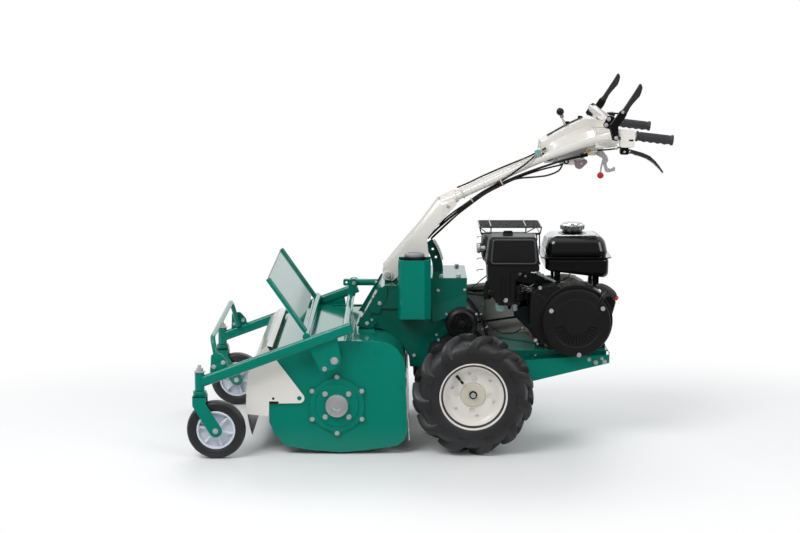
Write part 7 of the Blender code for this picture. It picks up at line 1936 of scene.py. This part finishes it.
def makeTubes():
    parts = []
    for side in (-1, 1):
        route = handleRoute(side)
        along = (route[-1] - route[-2]).normalized()
        path = roundBend(route[:-1], 0.070, 8)
        path[-1] = path[-1] - along * 0.0006
        parts.append((tubeShape(path, handle["tube"], 28), "ivoryEnamel"))
        parts.append((tubeShape([route[-2] - along * 0.006, route[-1] - along * 0.004], handle["core"], 20),
                      "zincSteel"))
        y = side * handle["gripHalf"]
        box = plateShape(roundedOutline([(0.636, 1.111), (0.692, 1.107), (0.690, 1.048), (0.643, 1.050)], 0.005, 4),
                         y - side * 0.021, y + side * 0.021)
        parts.append((box, "ivoryEnamel"))
        face = (y + side * 0.0190, y + side * 0.0213)
        for low, high in (((0.6715, 1.0700), (0.6865, 1.0762)), ((0.6385, 1.0740), (0.6435, 1.0860))):
            outline = roundedOutline([low, (high[0], low[1]), high, (low[0], high[1])], 0.0022, 4)
            parts.append((plateShape(outline, *face), "blackPlastic"))
        head = roundedOutline([(0.569, 1.097), (0.655, 1.100), (0.655, 1.076), (0.646, 1.050), (0.622, 1.038),
                               (0.569, 1.037)], 0.007, 5)
        plateY = side * 0.205
        parts.append((plateShape(head, plateY, plateY - side * 0.003), "ivoryEnamel"))
        top = flowing([(0.402, side * 0.071, 1.030), (0.440, side * 0.071, 1.052), (0.482, side * 0.071, 1.073),
                       (0.526, side * 0.071, 1.092), (0.571, side * 0.071, 1.101)], 5)
        edge = flowing([(0.402, side * 0.067, 1.0035), (0.440, side * 0.086, 1.0205), (0.482, side * 0.110, 1.0390),
                        (0.526, side * 0.140, 1.0575), (0.571, side * 0.186, 1.0720)], 5)
        middle = [(a + b) / 2 + Vector((0, 0, 0.005)) for a, b in zip(top, edge)]
        parts.append((sheetBetween(top, middle, 0.0022), "ivoryEnamel"))
        parts.append((sheetBetween(middle, edge, 0.0022), "ivoryEnamel"))
    parts.append((blockShape((0.571, -0.203, 1.040), (0.648, 0.203, 1.043)), "ivoryEnamel"))
    parts.append((blockShape((0.571, -0.203, 1.041), (0.574, 0.203, 1.094)), "ivoryEnamel"))
    parts.append((blockShape((0.571, -0.203, 1.0935), (0.654, 0.203, 1.0965)), "ivoryEnamel"))
    foot = handle["gearFoot"]
    for hand in (-1, 1):
        saddle = roundedOutline([(foot[0] - 0.014, foot[2] - 0.012), (foot[0] + 0.014, foot[2] - 0.012),
                                 (foot[0] + 0.010, foot[2] + 0.010), (foot[0] - 0.010, foot[2] + 0.010)], 0.006, 4)
        parts.append((plateShape(saddle, hand * 0.0125, hand * 0.0160), "zincSteel"))
    parts.append((blockShape((foot[0] - 0.014, -0.0155, foot[2] - 0.0145), (foot[0] + 0.014, 0.0155, foot[2] - 0.0115)),
                  "zincSteel"))
    parts.append((tubeShape([(foot[0], -0.115, foot[2] - 0.0205), (foot[0], 0.115, foot[2] - 0.0205)], 0.008, 20),
                  "ivoryEnamel"))
    parts.append((tubeShape([(foot[0], -0.018, foot[2]), (foot[0], 0.018, foot[2])], 0.004, 16), "zincSteel"))
    x, y = handle["throttleX"], handle["gripHalf"]
    top = handle["throttleZ"] + handle["tube"] + 0.0120
    parts.append((turnedShape([(0.0, top - 0.0060), (0.014, top - 0.0060), (0.014, top - 0.0006), (0.0134, top),
                               (0.0, top)], (x, y, 0), "Z", 32), "blackPlastic"))
    parts.append((turnedShape([(0.0, top + 0.0086), (0.0078, top + 0.0086), (0.0078, top + 0.0100),
                               (0.0060, top + 0.0115), (0.0, top + 0.0115)], (x, y, 0), "Z", 24), "zincSteel"))
    x, z = handle["brake"]
    y = -handle["gripHalf"]
    parts.append((blockShape((x - 0.022, y - 0.013, z + 0.0125), (x + 0.020, y + 0.013, 1.050)), "blackEnamel"))
    for hand in (-1, 1):
        cheek = roundedOutline([(x - 0.014, z - 0.010), (x + 0.014, z - 0.010), (x + 0.014, 1.047),
                                (x - 0.014, 1.047)], 0.005, 4)
        parts.append((plateShape(cheek, y + hand * 0.009, y + hand * 0.013), "blackEnamel"))
    parts.append((tubeShape([(x, y - 0.0165, z), (x, y + 0.0165, z)], 0.004, 16), "zincSteel"))
    parts.append((tubeShape([(x - 0.030, y, z + 0.009), (x - 0.0215, y, z + 0.0145)], 0.0062, 20), "zincSteel"))
    makePiece("handleTubes", parts, "handle", ["handle_frame"], bevel=0.0009, angle=32)


def makeSwitchPlate():
    y = handle["hookY"]
    plate = plateShape(roundedOutline([(0.404, 0.972), (0.410, 0.9850), (0.545, 1.0330), (0.553, 1.0300),
                                       (0.553, 1.0140), (0.521, 0.9900), (0.470, 0.9800)], 0.004, 4),
                       y + 0.0035, y + 0.0060)
    x, z = handle["hook"]
    carrier = plateShape(roundedOutline([(0.545, 1.044), (0.612, 1.044), (0.610, 1.006), (0.572, 0.998),
                                         (0.548, 1.004)], 0.007, 5), y + 0.0040, y + 0.0070)
    bracket = plateShape(roundedOutline([(0.452, 0.990), (0.505, 1.002), (0.548, 0.990), (0.551, 0.976), (0.505, 0.966),
                                         (0.458, 0.970)], 0.006, 5), y + 0.0005, y + 0.0030)
    cam = plateShape(roundedOutline([(0.5090, 0.9860), (0.5230, 0.9800), (0.5530, 0.9870), (0.5570, 0.9760),
                                     (0.5350, 0.9540), (0.5250, 0.9520), (0.5120, 0.9600)], 0.006, 5),
                     y - 0.0045, y - 0.0015)
    parts = [(plate, "zincSteel"), (carrier, "ivoryEnamel"), (bracket, "ivoryEnamel"), (cam, "plumPlastic")]
    for midX, midZ, long, high in ((0.4985, 1.0145, 0.0070, 0.0042), (0.4275, 0.9862, 0.0095, 0.0040),
                                   (0.4624, 1.0010, 0.0045, 0.0016), (0.4790, 1.0072, 0.0045, 0.0016)):
        slant = long * 0.40
        outline = [(midX - long, midZ - slant - high), (midX + long, midZ + slant - high),
                   (midX + long, midZ + slant + high), (midX - long, midZ - slant + high)]
        parts.append((plateShape(roundedOutline(outline, 0.0014, 3), y + 0.0030, y + 0.0045), "blackPlastic"))
    ring = turnedShape([(0.0045, y - 0.010), (0.0085, y - 0.010), (0.0092, y - 0.0085), (0.0092, y - 0.001),
                        (0.0045, y - 0.001)], (0.4822, 0, 0.9790), "Y", 28)
    core = turnedShape([(0.0, y - 0.012), (0.0040, y - 0.012), (0.0045, y - 0.011), (0.0045, y - 0.001),
                        (0.0, y - 0.001)], (0.4822, 0, 0.9790), "Y", 20)
    parts += [(ring, "blackPlastic"), (core, "zincSteel"),
              (tubeShape([(0.530, y - 0.008, 0.9975), (0.556, y - 0.008, 1.0045)], 0.0068, 20), "blackPlastic"),
              (tubeShape([(0.553, y - 0.0135, 1.0150), (0.566, y - 0.0145, 1.0165)], 0.0062, 6), "yellowBush"),
              (tubeShape([(0.566, y - 0.0145, 1.0165), (0.588, y - 0.024, 1.0200)], 0.0046, 16), "ivoryEnamel"),
              (tubeShape([(x, y - 0.0075, z), (x, y + 0.005, z)], 0.004, 16), "zincSteel")]
    clamp = plateShape(roundedOutline([(0.3740, 0.9990), (0.3715, 1.0160), (0.3890, 1.0225), (0.3965, 1.0040)],
                                      0.003, 4), -0.0860, -0.0700)
    strap = blockShape((0.372, -0.0840, 0.9960), (0.402, -0.0650, 1.0000))
    parts += [(clamp, "tealZinc"), (strap, "zincSteel"),
              (tubeShape([(0.398, -0.080, 1.0180), (0.412, -0.080, 1.0260)], 0.0034, 12), "blackEnamel"),
              (tubeShape([(0.398, -0.080, 1.0080), (0.410, -0.080, 1.0020)], 0.0034, 12), "blackEnamel")]
    makePiece("switchPlate", parts, "handle", bevel=0.0007, angle=32)
    bolts = [((x, y - 0.0077, z), (0, -1, 0), 0.7), ((0.405, -0.0802, 1.0150), (1, 0, 0.5), 0.5),
             ((0.4700, y + 0.0034, 0.9990), (0, -1, 0), 0.55), ((0.5350, y - 0.0047, 0.9720), (0, -1, 0), 0.55),
             ((0.4640, y + 0.0003, 0.9800), (0, -1, 0), 0.55)]
    boltPiece("switchBolts", bolts, "handle")


def makeConsole():
    half = 0.072
    top = [(0.397, 1.0450), (0.440, 1.0730), (0.490, 1.1010), (0.545, 1.1270), (0.572, 1.1280), (0.590, 1.1215),
           (0.650, 1.1200)]
    outline = [(0.3920, 1.0075)] + top + [(0.6560, 1.0969), (0.5700, 1.0969)]
    inner = [(0.3800, 1.0000), (0.3995, 1.0425)] + [(x, z - 0.0030) for x, z in top[1:-1]]
    inner += [(0.6480, 1.1170), (0.6530, 1.0900), (0.5700, 1.0800)]
    slot = blockShape((0.470, -0.009, 1.0500), (0.540, 0.009, 1.1500))
    skin = carve(plateShape(outline, -half, half), [plateShape(inner, -half + 0.003, half - 0.003), slot])
    parts = [(skin, "ivoryEnamel")]
    for hand in (-1, 1):
        y = hand * 0.0125
        parts.append((tubeShape([(0.420, y, 1.0625), (0.490, y, 1.1025), (0.545, y, 1.1280)], 0.0015, 10),
                      "blackPlastic"))
    for x, z in ((0.486, 1.1020), (0.530, 1.1215)):
        parts.append((blockShape((x, 0.0130, z), (x + 0.0140, 0.0260, z + 0.0090)), "blackPlastic"))
    makePiece("consoleSkin", parts, "handle", ["console_cover"], bevel=0.0032, angle=30, segments=3)


def makeLeverShaft():
    x, z = handle["shaft"]
    parts = []
    bar = plateShape(roundedOutline([(x - 0.0115, z - 0.0115), (x + 0.0115, z - 0.0115), (x + 0.0115, z + 0.0115),
                                     (x - 0.0115, z + 0.0115)], 0.0025, 4), -0.300, 0.300)
    parts.append((bar, "ivoryEnamel"))
    pivot = handle["leverPivot"]
    bolts = []
    for side in (-1, 1):
        outline = [(0.584, 1.124), (0.600, 1.156), (0.618, 1.154), (0.636, 1.134), (0.636, 1.072), (0.616, 1.072),
                   (0.606, 1.112), (0.592, 1.112)]
        if side > 0:
            outline = [(0.584, 1.120), (0.608, 1.156), (0.618, 1.154), (0.638, 1.126), (0.638, 1.072), (0.618, 1.078)]
        outline = roundedOutline(outline, 0.006, 5)
        parts.append((plateShape(outline, side * 0.300, side * 0.304), "blackEnamel"))
        parts.append((tubeShape([(pivot[0], side * 0.3035, pivot[1]), (pivot[0], side * 0.3220, pivot[1])], 0.004, 16),
                      "zincSteel"))
        parts.append((blockShape((0.600, side * 0.185 - 0.010, 1.0966), (0.614, side * 0.185 + 0.010, 1.132)),
                      "ivoryEnamel"))
        bolts.append(((0.6032, side * 0.3042, 1.1440), (0, side, 0), 0.85))
        bolts.append(((0.5950, side * 0.3042, 1.1240), (0, side, 0), 0.85))
        bolts.append(((pivot[0], side * 0.3216, pivot[1]), (0, side, 0), 0.80))
    makePiece("leverShaft", parts, "handle", ["lever_shaft"], bevel=0.0008, angle=32)
    boltPiece("leverShaftBolts", bolts, "handle")


def makeClutchLever(side):
    name = "left" if side < 0 else "right"
    y = side * handle["leverY"]
    arm = [(0.6170, 1.0785), (0.6210, 1.0715), (0.6320, 1.0715), (0.6370, 1.0800), (0.6345, 1.1020), (0.6335, 1.1180),
           (0.6520, 1.1410), (0.6625, 1.1620), (0.6615, 1.1700), (0.6560, 1.1740), (0.6400, 1.1740),
           (0.6350, 1.1680), (0.6220, 1.1480), (0.6055, 1.1270), (0.6045, 1.1210)]
    arm = plateShape(roundedOutline(arm, 0.0035, 3), y - side * 0.003, y + side * 0.003)
    blade = [(0.6410, 1.1640), (0.6400, 1.1720), (0.6490, 1.1790), (0.6700, 1.2110), (0.6905, 1.2430),
             (0.7020, 1.2625), (0.7075, 1.2625), (0.7120, 1.2510), (0.7095, 1.2380), (0.7035, 1.2215),
             (0.6815, 1.1970), (0.6705, 1.1820), (0.6655, 1.1710), (0.6610, 1.1630)]
    blade = plateShape(roundedOutline(blade, 0.003, 3), y - 0.0075, y + 0.0075)
    makePiece("clutchLever_" + name, [(arm, "blackEnamel"), (blade, "leverPlastic")], "clutch_lever_" + name,
              ["clutch_lever_" + name], bevel=0.0022, angle=36, segments=3)
    boltPiece("clutchLeverBolt_" + name, [((0.6475, side * 0.3257, 1.1685), (0, side, 0), 0.62)],
              "clutch_lever_" + name)


def makeGrip(side):
    name = "left" if side < 0 else "right"
    route = handleRoute(side)
    start, end = route[-2], route[-1]
    along = (end - start).normalized()
    length = (end - start).length
    turn = Matrix.Translation(start) @ Vector((1, 0, 0)).rotation_difference(along).to_matrix().to_4x4()
    body = turnedShape([(0.0118, 0.0), (0.0176, 0.0), (0.0184, 0.0012), (0.0184, 0.0050), (0.0160, 0.0070),
                        (0.0150, 0.0090), (0.0148, length - 0.0120), (0.0156, length - 0.0100),
                        (0.0176, length - 0.0080), (0.0180, length - 0.0060), (0.0180, length - 0.0010),
                        (0.0172, length), (0.0, length), (0.0, length - 0.0025), (0.0118, length - 0.0025)],
                       (0, 0, 0), "X", 40)
    parts = [(moved(body, turn), "gripRubber")]
    for i in range(6):
        angle = math.radians(-75 + 30 * i) if i < 3 else math.radians(105 + 30 * (i - 3))
        y, z = 0.0148 * math.sin(angle), 0.0148 * math.cos(angle)
        parts.append((moved(tubeShape([(0.012, y, z), (length - 0.014, y, z)], 0.0014, 10), turn), "gripRubber"))
    for i in range(4):
        bump = ballShape((0.028 + (length - 0.056) * i / 3, 0, -0.0112), 0.0105, 0.62)
        parts.append((moved(bump, turn), "gripRubber"))
    makePiece("gripSleeve_" + name, parts, "handle", ["grip_" + name], angle=50)


def makeBrakeLever():
    x, z = handle["brake"]
    y = -handle["gripHalf"]
    upper = [(0.668, 1.0440), (0.6945, 1.0370), (0.722, 1.0295), (0.746, 1.0185), (0.765, 1.0010), (0.780, 0.9820),
             (0.7925, 0.9640)]
    lower = [(0.7895, 0.9625), (0.774, 0.9815), (0.757, 0.9975), (0.736, 1.0105), (0.708, 1.0205), (0.684, 1.0265),
             (0.664, 1.0270), (0.650, 1.0260), (0.649, 1.0420)]
    blade = plateShape(upper + lower, y - 0.0068, y + 0.0068)
    strip = flowing([(0.690, y, 1.0245), (0.722, y, 1.0150), (0.748, y, 1.0010), (0.772, y, 0.9805),
                     (0.7900, y, 0.9600)], 5)
    strip = tubeShape(strip, 0.0022, 12)
    eye = tubeShape([(x, y - 0.0080, z), (x, y + 0.0080, z)], 0.0100, 28)
    makePiece("brakeLever", [(blade, "leverPlastic"), (strip, "zincSteel"), (eye, "blackEnamel")], "brake_lever",
              ["brake_lever"], bevel=0.0022, angle=36, segments=3)
    boltPiece("brakeLeverBolt", [((0.6760, y - 0.0070, 1.0350), (0, -1, 0), 0.5)], "brake_lever")


def makeHookLever():
    x, z = handle["hook"]
    y = handle["hookY"]
    outline = [(x - 0.010, z + 0.006), (x + 0.014, z + 0.007), (0.6245, 0.9980), (0.6290, 0.9830), (0.6215, 0.9720),
               (0.6280, 0.9560), (0.6400, 0.9545), (0.6450, 0.9590), (0.6500, 0.9615), (0.6535, 0.9560),
               (0.6520, 0.9460), (0.6260, 0.9400), (0.6180, 0.9440), (0.6100, 0.9700), (0.6080, 0.9900),
               (x - 0.008, z - 0.010)]
    hook = plateShape(roundedOutline(outline, 0.0030, 4), y - 0.0025, y + 0.0025)
    stem = tubeShape(flowing([(0.611, y, 0.988), (0.6060, y, 0.968), (0.6028, y, 0.950), (0.6020, y, 0.936)], 4),
                     0.0032, 16)
    ball = ballShape((handle["ball"][0], y, handle["ball"][1]), 0.0115)
    makePiece("hookLever", [(hook, "zincSteel"), (stem, "zincSteel"), (ball, "redPlastic")], "hook_lever",
              ["hook_lever"], bevel=0.0008, angle=34)


def makeGearLever():
    foot, knob = Vector(handle["gearFoot"]), Vector(handle["gearKnob"])
    way = (knob - foot).normalized()
    stem = tubeShape([foot, knob], 0.0045, 20, endRadius=0.0038)
    collar = tubeShape([knob - way * 0.022, knob - way * 0.0105], 0.0072, 24, endRadius=0.0062)
    ball = ballShape(knob, 0.0135)
    dot = tubeShape([knob + way * 0.0118, knob + way * 0.0138], 0.0052, 24)
    eye = tubeShape([foot + Vector((0, -0.0118, 0)), foot + Vector((0, 0.0118, 0))], 0.0100, 24)
    makePiece("gearLever", [(stem, "zincSteel"), (collar, "greyPlastic"), (ball, "blackPlastic"), (dot, "greyPlastic"),
                            (eye, "zincSteel")], "gear_lever", ["gear_lever"], angle=40)


def makeThrottleLever():
    x, y = handle["throttleX"], handle["gripHalf"]
    z = handle["throttleZ"] + handle["tube"] + 0.0163
    disc = turnedShape([(0.0044, z - 0.0040), (0.0155, z - 0.0040), (0.0160, z - 0.0030), (0.0160, z + 0.0028),
                        (0.0148, z + 0.0040), (0.0044, z + 0.0040)], (x, y, 0), "Z", 40)
    tab = plateShape(roundedOutline([(x + 0.010, y - 0.0060), (x + 0.040, y - 0.0048), (x + 0.040, y + 0.0048),
                                     (x + 0.010, y + 0.0060)], 0.0035, 4), z - 0.0028, z + 0.0028, "XY")
    makePiece("throttleLever", [(disc, "blackPlastic"), (tab, "blackPlastic")], "throttle_lever", ["throttle_lever"],
              bevel=0.0007, angle=36)


def makeHandleCables():
    thick = flowing([(0.536, -0.0930, 0.9990), (0.457, -0.0900, 0.9790), (0.346, -0.0800, 0.9400),
                     (0.259, -0.0620, 0.9000), (0.166, -0.0520, 0.8440), (0.096, -0.0450, 0.7900),
                     (0.0535, -0.0400, 0.7540), (0.0178, -0.0300, 0.7190), (0.0020, -0.0220, 0.7000)], 6)
    wirePiece("mainCable", [thick], 0.0040, "softRubber", "handle", sides=16, replaces=["cable_bundle"])
    routes = [[(0.379, -0.0790, 1.0100), (0.340, -0.0740, 0.9905), (0.255, -0.0560, 0.9530), (0.190, -0.0400, 0.9220),
               (0.140, -0.0250, 0.8960), (0.105, -0.0150, 0.8800)],
              [(0.379, -0.0800, 1.0040), (0.352, -0.0820, 0.9790), (0.314, -0.0800, 0.9500), (0.271, -0.0700, 0.9170),
               (0.200, -0.0580, 0.8740), (0.1670, -0.0520, 0.8510), (0.1336, -0.0500, 0.8265),
               (0.0956, -0.0500, 0.8000), (0.0640, -0.0480, 0.7745), (0.0420, -0.0420, 0.7510)],
              [(0.470, -0.0985, 0.9740), (0.455, -0.1000, 0.9490), (0.420, -0.0980, 0.9330), (0.380, -0.0900, 0.9260),
               (0.311, -0.0790, 0.9180), (0.259, -0.0680, 0.8960), (0.200, -0.0580, 0.8610), (0.1383, -0.0480, 0.8140),
               (0.1070, -0.0440, 0.7890), (0.0825, -0.0400, 0.7660), (0.0535, -0.0340, 0.7375),
               (0.0133, -0.0200, 0.6975)],
              [(0.470, -0.0860, 0.9690), (0.400, -0.0800, 0.9510), (0.330, -0.0740, 0.9270), (0.259, -0.0600, 0.8930),
               (0.190, -0.0500, 0.8540), (0.130, -0.0420, 0.8080), (0.0825, -0.0330, 0.7665), (0.0535, -0.0260, 0.7385),
               (0.0160, -0.0120, 0.7010)]]
    wirePiece("thinCables", [flowing(route, 6) for route in routes], 0.0030, "softRubber", "handle", sides=14)
    brake = [flowing([(0.5880, -0.1090, 1.0200), (0.6050, -0.1500, 1.0260), (0.6180, -0.2100, 1.0330),
                      (0.6290, -0.2900, 1.0435)], 6)]
    wirePiece("brakeCable", brake, 0.0030, "softRubber", "handle", sides=14)
    ties = []
    for point, along, radius in (((0.2590, -0.0620, 0.9030), (0.88, 0, 0.47), 0.0145),
                                 ((0.1550, -0.0510, 0.8400), (0.80, 0, 0.60), 0.0105),
                                 ((0.1230, -0.0400, 0.8605), (0.90, 0.07, 0.42), 0.0185)):
        way = Vector(along).normalized()
        turn = Vector((1, 0, 0)).rotation_difference(way).to_matrix().to_4x4()
        band = turnedShape([(0.0, -0.0020), (radius - 0.0008, -0.0020), (radius, -0.0012), (radius, 0.0012),
                            (radius - 0.0008, 0.0020), (0.0, 0.0020)], (0, 0, 0), "X", 28)
        ties.append((moved(band, Matrix.Translation(point) @ turn), "ivoryShade"))
    makePiece("cableTies", ties, "handle", angle=40)


makeColumn()
makeTubes()
makeSwitchPlate()
makeConsole()
makeLeverShaft()
for side in (-1, 1):
    makeClutchLever(side)
    makeGrip(side)
makeBrakeLever()
makeHookLever()
makeGearLever()
makeThrottleLever()
makeHandleCables()
print("handle done")


print("all pieces are in place")
